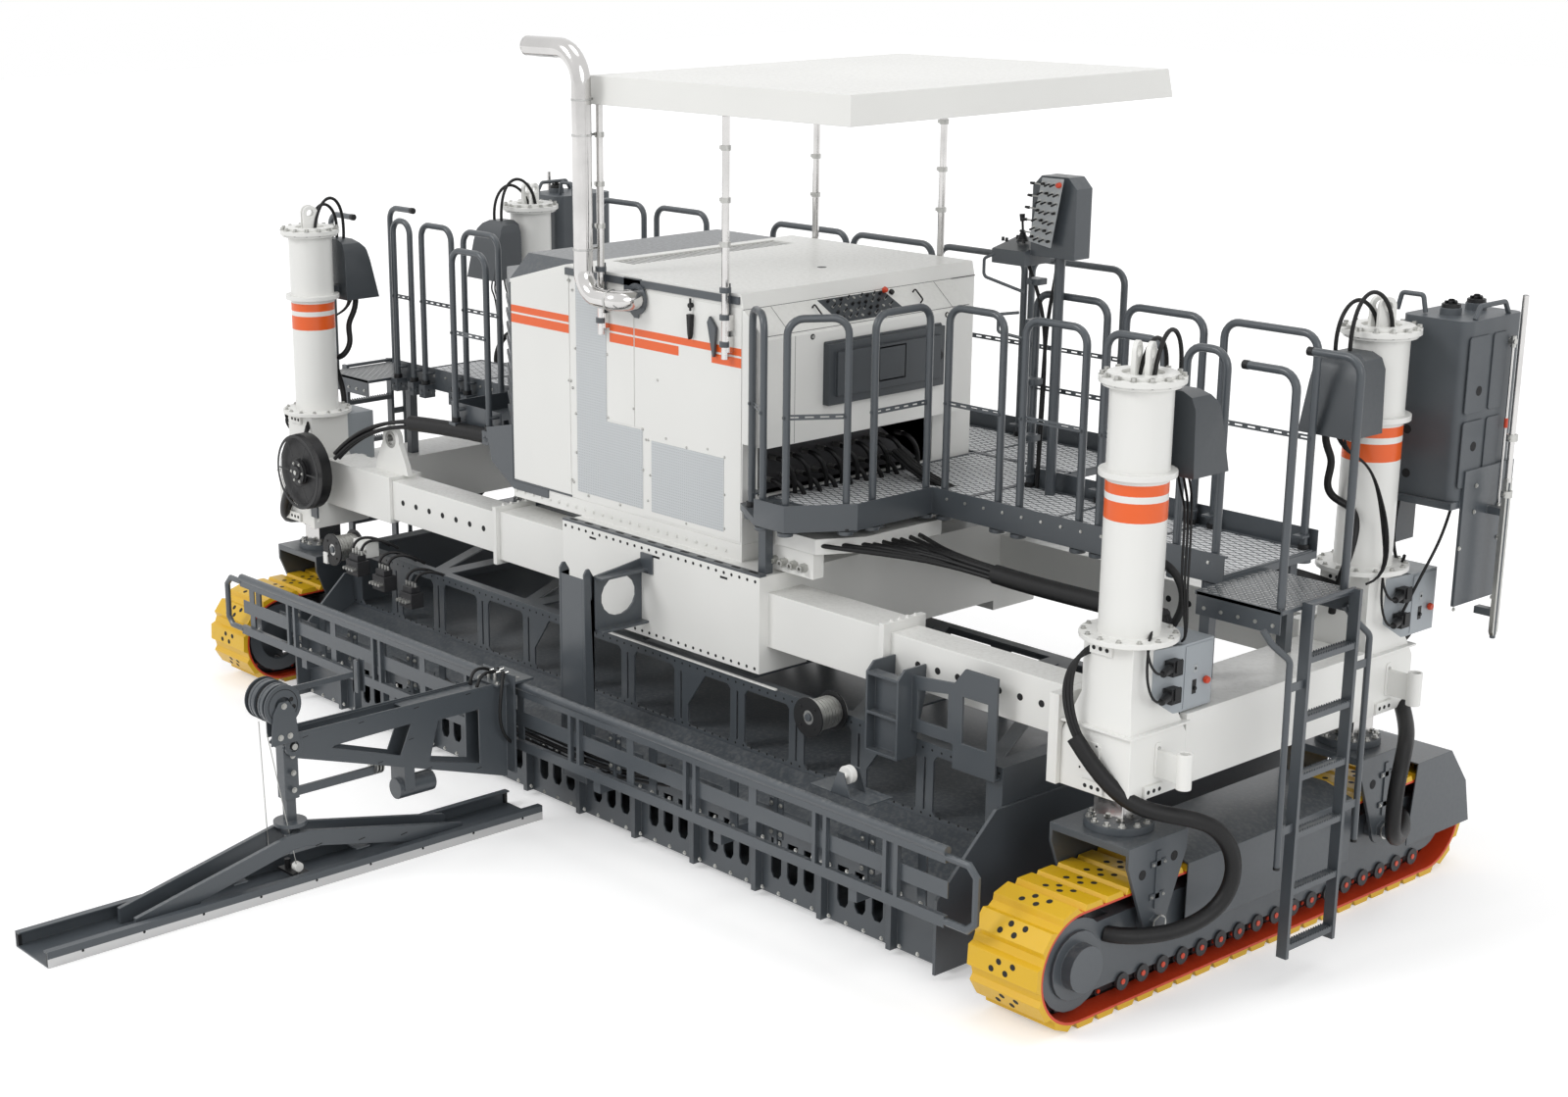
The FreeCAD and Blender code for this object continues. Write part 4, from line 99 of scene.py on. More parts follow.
class Finish:
    def __init__(self, name, world=None):
        self.material = world or bpy.data.materials.new(name)
        self.material.use_nodes = True
        self.tree = self.material.node_tree
        self.shader = self.tree.nodes.get("Principled BSDF")

    def put(self, socket, value):
        if isinstance(value, Wire):
            self.tree.links.new(value.socket, socket)
        elif isinstance(value, tuple) and len(value) == 3 and socket.type == "RGBA":
            socket.default_value = (*value, 1)
        else:
            socket.default_value = value

    def add(self, kind, settings, sockets, output=0):
        node = self.tree.nodes.new(kind)
        for name, value in settings.items():
            setattr(node, name, value)
        for name, value in sockets.items():
            self.put(node.inputs[name], value)
        return Wire(self, node.outputs[output])

    def dress(self, **values):
        for name, value in values.items():
            spaced = "".join(" " + c if c.isupper() else c for c in name).strip()
            self.put(self.shader.inputs[spaced], value)

    def place(self):
        return self.add("ShaderNodeTexCoord", {}, {}, "Object")

    def noise(self, scale, detail=3, rough=0.5, place=None):
        sockets = {"Vector": place or self.place(), "Scale": scale, "Detail": detail, "Roughness": rough}
        return self.add("ShaderNodeTexNoise", {}, sockets, "Fac")

    def cells(self, scale, place=None):
        sockets = {"Vector": place or self.place(), "Scale": scale, "Randomness": 0.0}
        return self.add("ShaderNodeTexVoronoi", {}, sockets, "Distance")

    def blend(self, share, first, second):
        return self.add("ShaderNodeMix", {"data_type": "RGBA"}, {0: share, 6: first, 7: second}, 2)

    def span(self, value, low, high, toLow=0.0, toHigh=1.0):
        sockets = {"Value": value, "From Min": low, "From Max": high, "To Min": toLow, "To Max": toHigh}
        return self.add("ShaderNodeMapRange", {"clamp": True}, sockets)

    def axis(self, name, place=None):
        return self.add("ShaderNodeSeparateXYZ", {}, {0: place or self.place()}, name)

    def bump(self, height, distance):
        return self.add("ShaderNodeBump", {}, {"Height": height, "Distance": distance, "Strength": 1.0})

    def upward(self):
        return self.axis("Z", self.add("ShaderNodeNewGeometry", {}, {}, "Normal"))


def shade(colour, factor):
    return tuple(min(1.0, c * factor) for c in colour)


paints = {
    "white": (0.79, 0.79, 0.765),
    "slate": (0.064, 0.074, 0.084),
    "tank": (0.074, 0.084, 0.094),
    "box": (0.34, 0.37, 0.395),
    "yellow": (0.70, 0.42, 0.007),
    "red": (0.60, 0.05, 0.012),
    "orange": (0.80, 0.115, 0.012),
    "moulded": (0.044, 0.051, 0.058),
    "panel": (0.56, 0.585, 0.60),
    "chain": (0.012, 0.012, 0.013),
    "dust": (0.40, 0.385, 0.36),
}


def enamelBody(f, colour, gloss, dust):
    # sprayed enamel: slow change of tone, orange peel, and dust that settles on level faces
    cloud = f.noise(0.9, 3, 0.5)
    grain = f.noise(42, 3, 0.6)
    settled = f.span(f.upward(), 0.5, 1.0) * f.span(grain, 0.45, 0.7) * dust
    toned = f.blend(f.span(cloud, 0.3, 0.7), colour[0], colour[1])
    f.dress(
        BaseColor=f.blend(settled, toned, paints["dust"]),
        Roughness=f.span(grain, 0.3, 0.7, gloss, gloss + 0.12) + settled * 0.3,
        Normal=f.bump(f.noise(240, 2), 0.00010),
        CoatWeight=0.2,
        CoatRoughness=0.2,
    )
    return f.material


def enamel(name, gloss=0.32, dust=0.18, variety=0.03):
    colour = paints[name]
    tones = (shade(colour, 1 - variety), shade(colour, 1 + variety))
    return enamelBody(Finish(name + "Enamel"), tones, gloss, dust)


def twoTone(name, first, second, mask, gloss=0.34, dust=0.12):
    # mask is a function of the finish that gives 0 for the first paint and 1 for the second
    f = Finish(name)
    share = mask(f)
    tones = tuple(f.blend(share, shade(paints[first], k), shade(paints[second], k)) for k in (0.97, 1.03))
    return enamelBody(f, tones, gloss, dust)


def metal(name, colour, low, high, streak=(1, 1, 1), scale=30, metallic=1.0, depth=0.0001):
    f = Finish(name)
    stretched = f.add("ShaderNodeMapping", {}, {"Vector": f.place(), "Scale": streak})
    fine = f.noise(scale, 4, 0.6, stretched)
    f.dress(
        BaseColor=f.blend(f.span(f.noise(3, 3), 0.3, 0.7), shade(colour, 0.88), shade(colour, 1.08)),
        Roughness=f.span(fine, 0.3, 0.7, low, high),
        Metallic=metallic,
        Normal=f.bump(fine, depth),
    )
    return f.material


def dull(name, colour, low, high, scale=120, depth=0.0004, variety=0.15, shine=0.5):
    f = Finish(name)
    fine = f.noise(scale, 3, 0.6)
    cloud = f.span(f.noise(4, 3), 0.3, 0.7)
    f.put(f.shader.inputs["Specular IOR Level"], shine)
    f.dress(
        BaseColor=f.blend(cloud, shade(colour, 1 - variety), shade(colour, 1 + variety)),
        Roughness=f.span(fine, 0.3, 0.7, low, high),
        Normal=f.bump(fine, depth),
    )
    return f.material


def perforated():
    f = Finish("perforatedSheet")
    rows = f.add("ShaderNodeMapping", {}, {"Vector": f.place(), "Scale": (1, 0.001, 1)})
    # the hole centres are painted darker: painted shade seen through the perforations
    holes = f.span(f.cells(62, rows), 0.18, 0.26)
    f.dress(
        BaseColor=f.blend(holes, shade(paints["panel"], 0.72), paints["panel"]),
        Roughness=0.45,
        Normal=f.bump(holes, 0.0012),
    )
    return f.material


trackPlan = {
    "pins": 0.25,
    "height": 0.32,
    "rear": -1.46,
    "front": 1.48,
    "x": 3.572,
    "chain": 0.10,
    "inner": 0.2895,
    "tread": 0.316,
}


def trackFinish():
    # yellow shoes, red on their inner faces, black chain, told apart by the distance from the loop's
    # middle line
    f = Finish("crawlerShoes")
    plan = trackPlan
    x, y, z = f.axis("X"), f.axis("Y"), f.axis("Z")
    y = y - midline
    over = y - y.maths("MINIMUM", y.maths("MAXIMUM", y, plan["rear"]), plan["front"])
    out = (over ** 2 + (z - plan["height"]) ** 2) ** 0.5
    across = abs(abs(x) - plan["x"])
    inner = out < plan["inner"]
    chain = inner * (across < plan["chain"])
    paint = f.blend(inner, paints["yellow"], paints["red"])
    worn = f.span(f.noise(16, 5, 0.7), 0.62, 0.72) * (out > plan["tread"])
    paint = f.blend(worn * 0.35, paint, (0.55, 0.36, 0.03))
    grain = f.noise(60, 3)
    f.dress(
        BaseColor=f.blend(chain, paint, paints["chain"]),
        Roughness=f.span(grain, 0.3, 0.7, 0.36, 0.5),
        Normal=f.bump(f.noise(180, 2), 0.00015),
        CoatWeight=0.15,
    )
    return f.material


def bands(*limits):
    # 1 between each pair of heights
    def mask(f):
        z = f.axis("Z")
        return sum(((z > low) * (z < high) for low, high in limits), 0.0)
    return mask


def below(height):
    return lambda f: f.axis("Z") < height


def metalBelow(name, height, colour, paint, low, high):
    # bright metal above a height and paint below it
    f = Finish(name)
    painted = f.axis("Z") < height
    fine = f.noise(24, 4, 0.6)
    f.dress(
        BaseColor=f.blend(painted, colour, paints[paint]),
        Roughness=f.span(fine, 0.3, 0.7, low, high) + painted * 0.25,
        Metallic=1.0 - painted,
        Normal=f.bump(fine, 0.00006),
    )
    return f.material


panPlan = {"x": -0.265, "inside": 0.182, "height": 0.05}


def panFinish():
    # bright outer faces and dark inside, told apart by the distance from the pan's middle line
    f = Finish("smoothingPan")
    bright = (abs(f.axis("X") - panPlan["x"]) > panPlan["inside"]) * (f.axis("Z") < panPlan["height"])
    drawn = f.add("ShaderNodeMapping", {}, {"Vector": f.place(), "Scale": (1, 0.1, 1)})
    fine = f.noise(50, 4, 0.6, drawn)
    f.dress(
        BaseColor=f.blend(bright, paints["slate"], (0.52, 0.52, 0.52)),
        Roughness=f.span(fine, 0.3, 0.7, 0.28, 0.42),
        Metallic=bright * 0.9,
        Normal=f.bump(fine, 0.0001),
    )
    return f.material


columnStripes = ((2.549, 2.602), (2.421, 2.516))
finishes = {
    "white": enamel("white"),
    "slate": enamel("slate", 0.28, 0.20, 0.06),
    "tank": dull("tankPlastic", paints["tank"], 0.36, 0.5, 200, 0.0003, 0.06),
    "box": enamel("box", 0.38, 0.12),
    "red": enamel("red", 0.4, 0.1),
    "orange": enamel("orange", 0.34, 0.0),
    "column": twoTone("stripedColumn", "white", "orange", bands(*columnStripes)),
    "controls": twoTone("controlCovers", "moulded", "box", below(1.9)),
    "track": trackFinish(),
    "pan": panFinish(),
    "leg": metalBelow("chromedLeg", 0.902, (0.56, 0.55, 0.54), "slate", 0.08, 0.2),
    "chrome": metal("polishedChrome", (0.64, 0.63, 0.62), 0.08, 0.17, (1, 1, 1), 18, 1.0, 0.00005),
    "steel": metal("bareSteel", (0.52, 0.52, 0.51), 0.26, 0.42, (1, 1, 8), 40),
    "zinc": metal("zincPlate", (0.50, 0.50, 0.48), 0.3, 0.45, (1, 1, 1), 90),
    "iron": metal("blackSteel", (0.050, 0.050, 0.053), 0.38, 0.55, (1, 1, 1), 60, 0.6, 0.0003),
    "rubber": dull("hoseRubber", (0.006, 0.006, 0.0065), 0.42, 0.58, shine=0.32),
    "plastic": dull("blackPlastic", (0.010, 0.0105, 0.0115), 0.36, 0.5, shine=0.35),
    "reel": dull("blackReel", (0.006, 0.006, 0.007), 0.34, 0.5, shine=0.35),
    "grating": dull("gratingLight", (0.66, 0.67, 0.68), 0.5, 0.6, 40, 0.0001, 0.04),
    "moulded": dull("mouldedCover", paints["moulded"], 0.38, 0.5, 300, 0.0003, 0.06),
    # near-black matte: painted shade inside holes, slits, grooves and the exhaust mouth, and along dark seams
    "void": dull("paintedRecessShade", (0.006, 0.006, 0.007), 0.7, 0.85),
    "perforated": perforated(),
    "plate": dull("lightPanel", (0.40, 0.42, 0.43), 0.4, 0.5, 90, 0.0001, 0.04),
}
print("finishes made")

# which finish each piece of the frame wears; the rest are slate
dressing = {
    "white": ["canopy", "hood", "main_frame", "telescopic_beams", "left_side_beam", "right_side_beam",
              "left_frame_modules"],
    "column": ["left_columns", "right_columns"],
    "tank": ["left_water_tank", "right_water_tank"],
    "track": ["left_track", "right_track"],
    "chrome": ["canopy_posts"],
    "leg": ["left_legs", "right_legs"],
    "iron": ["engine"],
    "steel": ["left_wire_drum", "right_wire_drum", "left_auger", "right_auger"],
    "pan": ["smoother_pan"],
    "reel": ["cable_reel"],
    "controls": ["left_column_controls", "right_column_controls"],
    "moulded": ["panel_cover"],
}
edges = {
    "weld": 0.0002,
    "flat": math.radians(1.0),
    "limit": math.radians(32),
    "width": 0.003,
    "widths": {
        0.0015: ["decks", "left_ladder", "right_ladder", "smoother_guide_beam"],
        0.002: ["mould_truss", "smoother_pan", "left_auger", "right_auger", "mould_pan"],
        0.0025: ["left_track", "right_track"],
    },
}


def smoothTree():
    # a node group that smooths every edge flatter than the limit
    tree = bpy.data.node_groups.new("smoothByAngle", "GeometryNodeTree")
    tree.interface.new_socket("Geometry", in_out="INPUT", socket_type="NodeSocketGeometry")
    tree.interface.new_socket("Geometry", in_out="OUTPUT", socket_type="NodeSocketGeometry")
    start = tree.nodes.new("NodeGroupInput")
    faces = tree.nodes.new("GeometryNodeSetShadeSmooth")
    sharp = tree.nodes.new("GeometryNodeSetShadeSmooth")
    angle = tree.nodes.new("GeometryNodeInputMeshEdgeAngle")
    steep = tree.nodes.new("FunctionNodeCompare")
    end = tree.nodes.new("NodeGroupOutput")
    sharp.domain = "EDGE"
    sharp.inputs["Shade Smooth"].default_value = False
    steep.data_type = "FLOAT"
    steep.operation = "GREATER_THAN"
    steep.inputs[1].default_value = edges["limit"]
    for first, second in ((start.outputs[0], faces.inputs[0]), (faces.outputs[0], sharp.inputs[0]),
                          (angle.outputs["Unsigned Angle"], steep.inputs[0]),
                          (steep.outputs[0], sharp.inputs["Selection"]), (sharp.outputs[0], end.inputs[0])):
        tree.links.new(first, second)
    return tree


smoother = smoothTree()


def softenEdges(piece, width, segments=2, clean=True):
    if clean:
        weld = piece.modifiers.new("weld", "WELD")
        weld.merge_threshold = edges["weld"]
        flat = piece.modifiers.new("flat", "DECIMATE")
        flat.decimate_type = "DISSOLVE"
        flat.angle_limit = edges["flat"]
    smooth = piece.modifiers.new("smooth", "NODES")
    smooth.node_group = smoother
    if width:
        bevel = piece.modifiers.new("bevel", "BEVEL")
        bevel.width = width
        bevel.segments = segments
        bevel.limit_method = "ANGLE"
        bevel.angle_limit = edges["limit"]
        bevel.harden_normals = True
        bevel.use_clamp_overlap = not clean


finishOf = {name: finish for finish, names in dressing.items() for name in names}
widthOf = {name: width for width, names in edges["widths"].items() for name in names}
for name, piece in nodes.items():
    piece.data.materials.clear()
    piece.data.materials.append(finishes[finishOf.get(name, "slate")])
    softenEdges(piece, widthOf.get(name, edges["width"]))
print("frame dressed")

boxFaces = ((0, 1, 3, 2), (4, 6, 7, 5), (0, 4, 5, 1), (2, 3, 7, 6), (0, 2, 6, 4), (1, 5, 7, 3))
waiting = []  # shapes that finishShapes has still to make


def row(start, step, count):
    return [start + step * i for i in range(count)]


def around(count, radius, first=0.0):
    # even places on a circle, as two offsets from its centre
    turns = [2 * pi * (i + first) / count for i in range(count)]
    return [(radius * math.cos(a), radius * math.sin(a)) for a in turns]


def flipped(points, sign):
    # the same points on the right (1) or the left (-1) of the machine
    return [(sign * x, y, z) for x, y, z in points]


class Shape:
    # gathers solids in the machine's own axes, with y = 0 on its middle line
    def __init__(self, name, finish="slate", body="frame", width=0.0012, segments=1):
        self.name = name
        self.finish = finish
        self.body = body
        self.width = width
        self.segments = segments
        self.points = []
        self.faces = []
        waiting.append(self)

    def solid(self, points, faces):
        start = len(self.points)
        self.points += [Vector(point) for point in points]
        self.faces += [[start + corner for corner in face] for face in faces]

    def box(self, low, high):
        x, y, z = [sorted(pair) for pair in zip(low, high)]
        self.solid([(x[i], y[j], z[k]) for i in (0, 1) for j in (0, 1) for k in (0, 1)], boxFaces)

    def skin(self, rings, closed=False):
        # rings of as many points each, joined side to side; the ends are capped unless it closes on itself
        count = len(rings[0])
        faces = []
        for i in range(len(rings) if closed else len(rings) - 1):
            j = (i + 1) % len(rings)
            for k in range(count):
                m = (k + 1) % count
                faces.append((i * count + k, i * count + m, j * count + m, j * count + k))
        if not closed:
            faces += [tuple(range(count))[::-1], tuple(range((len(rings) - 1) * count, len(rings) * count))]
        self.solid([point for ring in rings for point in ring], faces)

    def prism(self, outline, push):
        self.skin([[Vector(point) for point in outline], [Vector(point) + Vector(push) for point in outline]])

    def circle(self, centre, axis, radius, sides, turn=0.0):
        axis = Vector(axis).normalized()
        side = axis.orthogonal().normalized()
        other = axis.cross(side)
        steps = [turn + 2 * pi * i / sides for i in range(sides)]
        return [Vector(centre) + radius * (math.cos(a) * side + math.sin(a) * other) for a in steps]

    def rod(self, start, end, radius, sides=12, tip=None):
        axis = Vector(end) - Vector(start)
        tip = radius if tip is None else tip
        self.skin([self.circle(start, axis, radius, sides), self.circle(end, axis, tip, sides)])

    def stud(self, place, push, radius, sides=12, tip=None):
        self.rod(place, [a + b for a, b in zip(place, push)], radius, sides, tip)

    def ring(self, start, end, outer, inner, sides=20):
        axis = Vector(end) - Vector(start)
        rings = [self.circle(place, axis, radius, sides)
                 for place, radius in ((start, inner), (start, outer), (end, outer), (end, inner))]
        self.skin(rings, closed=True)

    def collar(self, place, push, outer, inner, sides=20):
        self.ring(place, [a + b for a, b in zip(place, push)], outer, inner, sides)

    def bolt(self, place, axis, radius=0.011, height=0.009):
        place, axis = Vector(place), Vector(axis).normalized()
        turn = dice.random()
        head = (place + axis * 0.003, place + axis * (0.003 + height))
        self.rod(place, head[0], radius * 1.5, 10)
        self.skin([self.circle(end, axis, radius, 6, turn) for end in head])

    def done(self):
        mesh = bpy.data.meshes.new(self.name)
        mesh.from_pydata([(p.x, p.y + midline, p.z) for p in self.points], [], self.faces)
        work = bmesh.new()
        work.from_mesh(mesh)
        bmesh.ops.recalc_face_normals(work, faces=work.faces)
        work.to_mesh(mesh)
        work.free()
        mesh.materials.append(finishes[self.finish])
        piece = bpy.data.objects.new(self.name, mesh)
        bpy.context.scene.collection.objects.link(piece)
        softenEdges(piece, self.width, self.segments, clean=False)
        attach(piece, self.body)


def finishShapes():
    while waiting:
        waiting.pop(0).done()


def tubes(name, finish, radius, routes, body="frame", kind="POLY", sides=2, smoothness=5):
    # round tubes or hoses along routes, all of one radius
    data = bpy.data.curves.new(name, "CURVE")
    data.dimensions = "3D"
    data.bevel_depth = radius
    data.bevel_resolution = sides
    data.resolution_u = smoothness
    data.use_fill_caps = True
    for route in routes:
        spline = data.splines.new(kind)
        spline.points.add(len(route) - 1)
        for point, (x, y, z) in zip(spline.points, route):
            point.co = (x, y + midline, z, 1)
        if kind == "NURBS":
            spline.order_u = min(4, len(route))
            spline.use_endpoint_u = True
        spline.use_smooth = True
    data.materials.append(finishes[finish])
    piece = bpy.data.objects.new(name, data)
    bpy.context.scene.collection.objects.link(piece)
    if body:
        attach(piece, body)
    return piece


def flexible(name, finish, radius, routes, bodies, start, end, kind="NURBS", sides=3):
    # tubes along routes, made into a mesh of their own
    source = tubes(name + "_route", finish, radius, routes, None, kind, sides)
    bpy.context.view_layer.update()
    data = bpy.data.meshes.new_from_object(source.evaluated_get(bpy.context.evaluated_depsgraph_get()))
    data.name = name
    bpy.data.objects.remove(source)
    piece = bpy.data.objects.new(name, data)
    bpy.context.scene.collection.objects.link(piece)
    start, end = [(x, y + midline, z) for x, y, z in (start, end)]
    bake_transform(piece)
    return piece


def rounded(points, bends, steps=6):
    # a route whose corners are arcs of the given radii
    points = [Vector(point) for point in points]
    route = [points[0]]
    for before, corner, after, bend in zip(points, points[1:], points[2:], bends):
        back, ahead = (before - corner).normalized(), (after - corner).normalized()
        half = back.angle(ahead) / 2
        reach = bend / math.tan(half)
        centre = corner + (back + ahead).normalized() * bend / math.sin(half)
        start, end = corner + back * reach - centre, corner + ahead * reach - centre
        for i in range(steps + 1):
            route.append(centre + start.normalized().slerp(end.normalized(), i / steps) * bend)
    return route + [points[-1]]


# rails: round tubes with smooth bends, slotted mid straps and rubber feet collars
railing = {
    "radius": 0.021,
    "bend": 0.088,
    "deck": 2.0,
    "top": 3.115,
    "strap": {"low": 2.57, "high": 2.60, "thick": 0.004, "slot": 0.042, "web": 0.034, "edge": 0.37},
    "plate": {"base": 1.955, "half": 0.032, "reach": 0.06, "upper": 2.072, "thick": 0.012, "bolt": 0.016},
    "right": [((0.98, -1.03), (1.21, -1.16)), ((1.39, -1.16), (1.58, -0.89)), ((1.6, -0.71), (1.6, -0.29)),
              ((1.70, -0.244), (2.09, -0.244)), ((2.24, -0.244), (2.65, -0.244)),
              ((2.78, -0.244), (3.14, -0.244)),
              ((3.28, -0.244), (3.52, -0.244)), ((1.70, 0.464), (2.20, 0.464)),
              ((2.33, 0.464), (2.84, 0.464)), ((2.97, 0.464), (3.54, 0.464))],
    "front": [((-1.5 + 0.77 * i, 1.444), (-0.79 + 0.77 * i, 1.444)) for i in range(4)],
    "left": [((-3.47, -0.335), (-3.27, -0.335)), ((-3.13, -0.335), (-2.78, -0.335)),
             ((-2.64, -0.335), (-2.25, -0.335)), ((-1.97, -0.915), (-1.61, -0.915)),
             ((-3.36, 1.444), (-2.86, 1.444)), ((-2.72, 1.444), (-2.18, 1.444))],
    "handrail": {"x": 4.07, "end": 3.77, "foot": 1.98, "y": (-0.46, 0.05)},
}


def slottedStrap(shape, first, second):
    # flat bar with a row of slots, made as two edges and the webs between them
    strap = railing["strap"]
    start, end = Vector((*first, 0)), Vector((*second, 0))
    along = (end - start).normalized()
    side = Vector((-along.y, along.x, 0)) * strap["thick"] / 2
    length = (end - start).length
    low, high, web = strap["low"], strap["high"], strap["web"]
    margin = (high - low) * strap["edge"]

    def piece(near, far, bottom, top):
        a, b = start + along * near, start + along * far
        corners = [(*place.xy, bottom) for place in (a - side, b - side, b + side, a + side)]
        shape.prism(corners, (0, 0, top - bottom))

    piece(0, length, low, low + margin)
    piece(0, length, high - margin, high)
    count = max(2, round(length / (strap["slot"] + web)))
    for i in range(count + 1):
        middle = length * i / count
        piece(max(0, middle - web / 2), min(length, middle + web / 2), low + margin, high - margin)


def railFoot(straps, feet, x, y):
    # a rubber collar on the deck, a ringed foot under it and two bolted plates
    deck, plate = railing["deck"], railing["plate"]
    base, half = plate["base"], plate["half"]
    inner = y + math.copysign(plate["reach"], -y)
    feet.collar((x, y, deck + 0.001), (0, 0, 0.029), 0.030, 0.020, 14)
    feet.collar((x, y, base), (0, 0, 0.016), 0.036, 0.010, 16)
    straps.collar((x, y, base - 0.02), (0, 0, 0.02), 0.044, 0.010, 16)
    for top in (base, plate["upper"] + plate["thick"]):
        straps.box((x - half, y, top - plate["thick"]), (x + half, inner, top))
    for shift in (-plate["bolt"], plate["bolt"]):
        straps.bolt((x + shift, y, top), (0, 0, 1), 0.008, 0.007)
    straps.bolt((x, y - 0.0215, railing["strap"]["low"] + 0.015), (0, -1, 0), 0.007, 0.004)


def makeRails():
    straps = Shape("rail_straps", width=0.0008)
    feet = Shape("rail_feet", "plastic")
    grip, deck, top = railing["handrail"], railing["deck"], railing["top"]
    for side, sign in (("right", 1), ("front", 0), ("left", -1)):
        routes = []
        for first, second in railing[side]:
            bend = min(railing["bend"], (Vector(second) - Vector(first)).length / 2 - 0.002)
            corners = [(*first, deck), (*first, top), (*second, top), (*second, deck)]
            routes.append(rounded(corners, (bend, bend)))
            slottedStrap(straps, first, second)
            railFoot(straps, feet, *first)
            railFoot(straps, feet, *second)
        for y in grip["y"] if sign else ():
            corners = flipped([(grip["x"], y, grip["foot"]), (grip["x"], y, top), (grip["end"], y, top)],
                              sign)
            routes.append(rounded(corners, (railing["bend"],)))
            feet.stud((sign * (grip["end"] - 0.002), y, top), (sign * 0.032, 0, 0), 0.0225, 14)
        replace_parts(tubes(side + "_rail_tubes", "slate", railing["radius"], routes), side + "_rails")
    finishShapes()


makeRails()
print("rails made")

exhaust = {
    "radius": 0.058,
    "route": [(0.0, -1.0, 3.04), (0.0, -1.148, 3.04), (-0.34, -1.148, 3.04), (-0.34, -1.148, 4.436),
              (-0.83, -1.148, 4.436)],
    "bends": (0.08, 0.15, 0.2),
    "clamps": (3.3, 3.95, 4.15),
    "bands": [((-0.085, -1.148, 3.04), (-0.10, -1.148, 3.04), 0.0625, 0.057),
              ((-0.02, -1.07, 3.04), (-0.02, -1.085, 3.04), 0.0625, 0.057),
              ((-0.815, -1.148, 4.436), (-0.830, -1.148, 4.436), 0.0570, 0.052)],
    "gusset": [(-0.12, -1.012, 2.99), (-0.04, -1.012, 2.93), (0.0, -1.012, 2.93), (0.0, -1.012, 3.0)],
}


def makeExhaust():
    route = rounded(exhaust["route"], exhaust["bends"], 10)
    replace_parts(tubes("exhaust_pipe", "chrome", exhaust["radius"], [route], sides=5), "exhaust")
    trim = Shape("exhaust_flange")
    trim.box((-0.14, -1.012, 2.955), (0.01, -1.0, 3.155))
    trim.ring((-0.02, -1.012, 3.04), (-0.02, -1.024, 3.04), 0.092, 0.06, 28)
    trim.prism(exhaust["gusset"], (0, -0.006, 0))
    bands = Shape("exhaust_bands", "steel")
    for start, end, outer, inner in exhaust["bands"]:
        bands.ring(start, end, outer, inner, 28)
    for height in exhaust["clamps"]:
        bands.collar((-0.34, -1.148, height), (0, 0, 0.012), 0.0605, 0.057, 28)
        bands.box((-0.345, -1.10, height), (-0.335, -1.045, height + 0.012))
    # a near-black disc just inside the pipe's end: painted shade in its mouth
    mouth = Shape("exhaust_mouth", "void", width=0)
    mouth.rod((-0.826, -1.148, 4.436), (-0.8312, -1.148, 4.436), 0.0515, 24)
    finishShapes()


makeExhaust()
print("exhaust made")

hood = {
    "rear": -1.0,
    "stripes": [((2.823, 2.865), ((-1.236, -0.664), (-0.282, -0.062), (-0.054, 0.862))),
                ((2.757, 2.811), ((-1.236, -0.664), (-0.282, -0.062), (-0.054, 0.336), (0.615, 0.862)))],
    "doors": [
        [(-1.236, 1.765), (-0.664, 1.765), (-0.664, 3.145), (-1.236, 2.995)],
        [(-0.300, 2.285), (-0.062, 2.285), (-0.062, 3.09), (-0.300, 3.09)],
        [(0.024, 1.765), (0.862, 1.765), (0.862, 3.09), (-0.054, 3.09), (-0.054, 2.285), (0.024, 2.285)],
    ],
    "grilles": [
        (0.0, [(-0.600, 1.80), (0.010, 1.80), (0.010, 2.274), (-0.318, 2.274), (-0.318, 3.10),
               (-0.600, 3.10)]),
        (0.0035, [(0.094, 1.80), (0.722, 1.80), (0.722, 2.226), (0.094, 2.226)]),
    ],
    "screws": [(-0.669, 3.075), (-0.63, 3.02), (-0.671, 2.471), (-0.636, 2.43), (-0.655, 2.471),
               (-0.606, 2.674),
               (-0.608, 2.277), (-0.608, 2.038), (-0.307, 2.676), (-0.067, 2.39), (0.015, 2.282),
               (0.045, 2.224),
               (0.065, 2.224), (0.223, 2.259), (0.403, 2.236), (0.583, 2.257), (0.727, 2.233), (0.018, 2.038),
               (0.081, 2.016), (0.728, 2.017), (-0.655, 1.86), (-0.64, 1.85), (-0.5, 1.787), (-0.2, 1.787),
               (0.06, 1.86), (0.40, 1.787), (0.728, 1.82), (-0.655, 3.075), (0.15, 2.59), (-0.30, 2.30)],
    "gutter": [(-0.69, 3.108), (-0.69, 3.150), (0.845, 3.150), (0.845, 3.108)],
    "latch": [(0.600, 2.985), (0.620, 3.02), (0.672, 2.96), (0.658, 2.795), (0.646, 2.795)],
    "bottle": [(0.436, 3.01), (0.470, 3.01), (0.462, 2.90), (0.453, 2.868), (0.445, 2.90)],
    "slope": ((0.872, 3.083), (1.048, 2.937)),
    "desk": (-0.45, 0.14),
    "handles": (-0.52, 0.285),
    "locks": ((-0.644, 2.915), (0.434, 2.915)),
    "louvre": {"x": (-0.615, -0.425), "first": -0.69, "pitch": 0.04, "count": 33, "bar": 0.022},
}


def onSlope(share, y, lift=0.0):
    # a point on the hood's sloping brow, from its upper edge (0) to its lower (1)
    (x0, z0), (x1, z1) = hood["slope"]
    run, drop = x1 - x0, z1 - z0
    size = math.hypot(run, drop)
    return (x0 + run * share - drop / size * lift, y, z0 + drop * share + run / size * lift)


def slopeNormal():
    (x0, z0), (x1, z1) = hood["slope"]
    return Vector((z0 - z1, 0, x1 - x0)).normalized()


def onRear(shape, outline, gap, push):
    # a plate whose outline stands a gap behind the hood's rear face
    shape.prism([(x, hood["rear"] - gap, z) for x, z in outline], (0, push, 0))


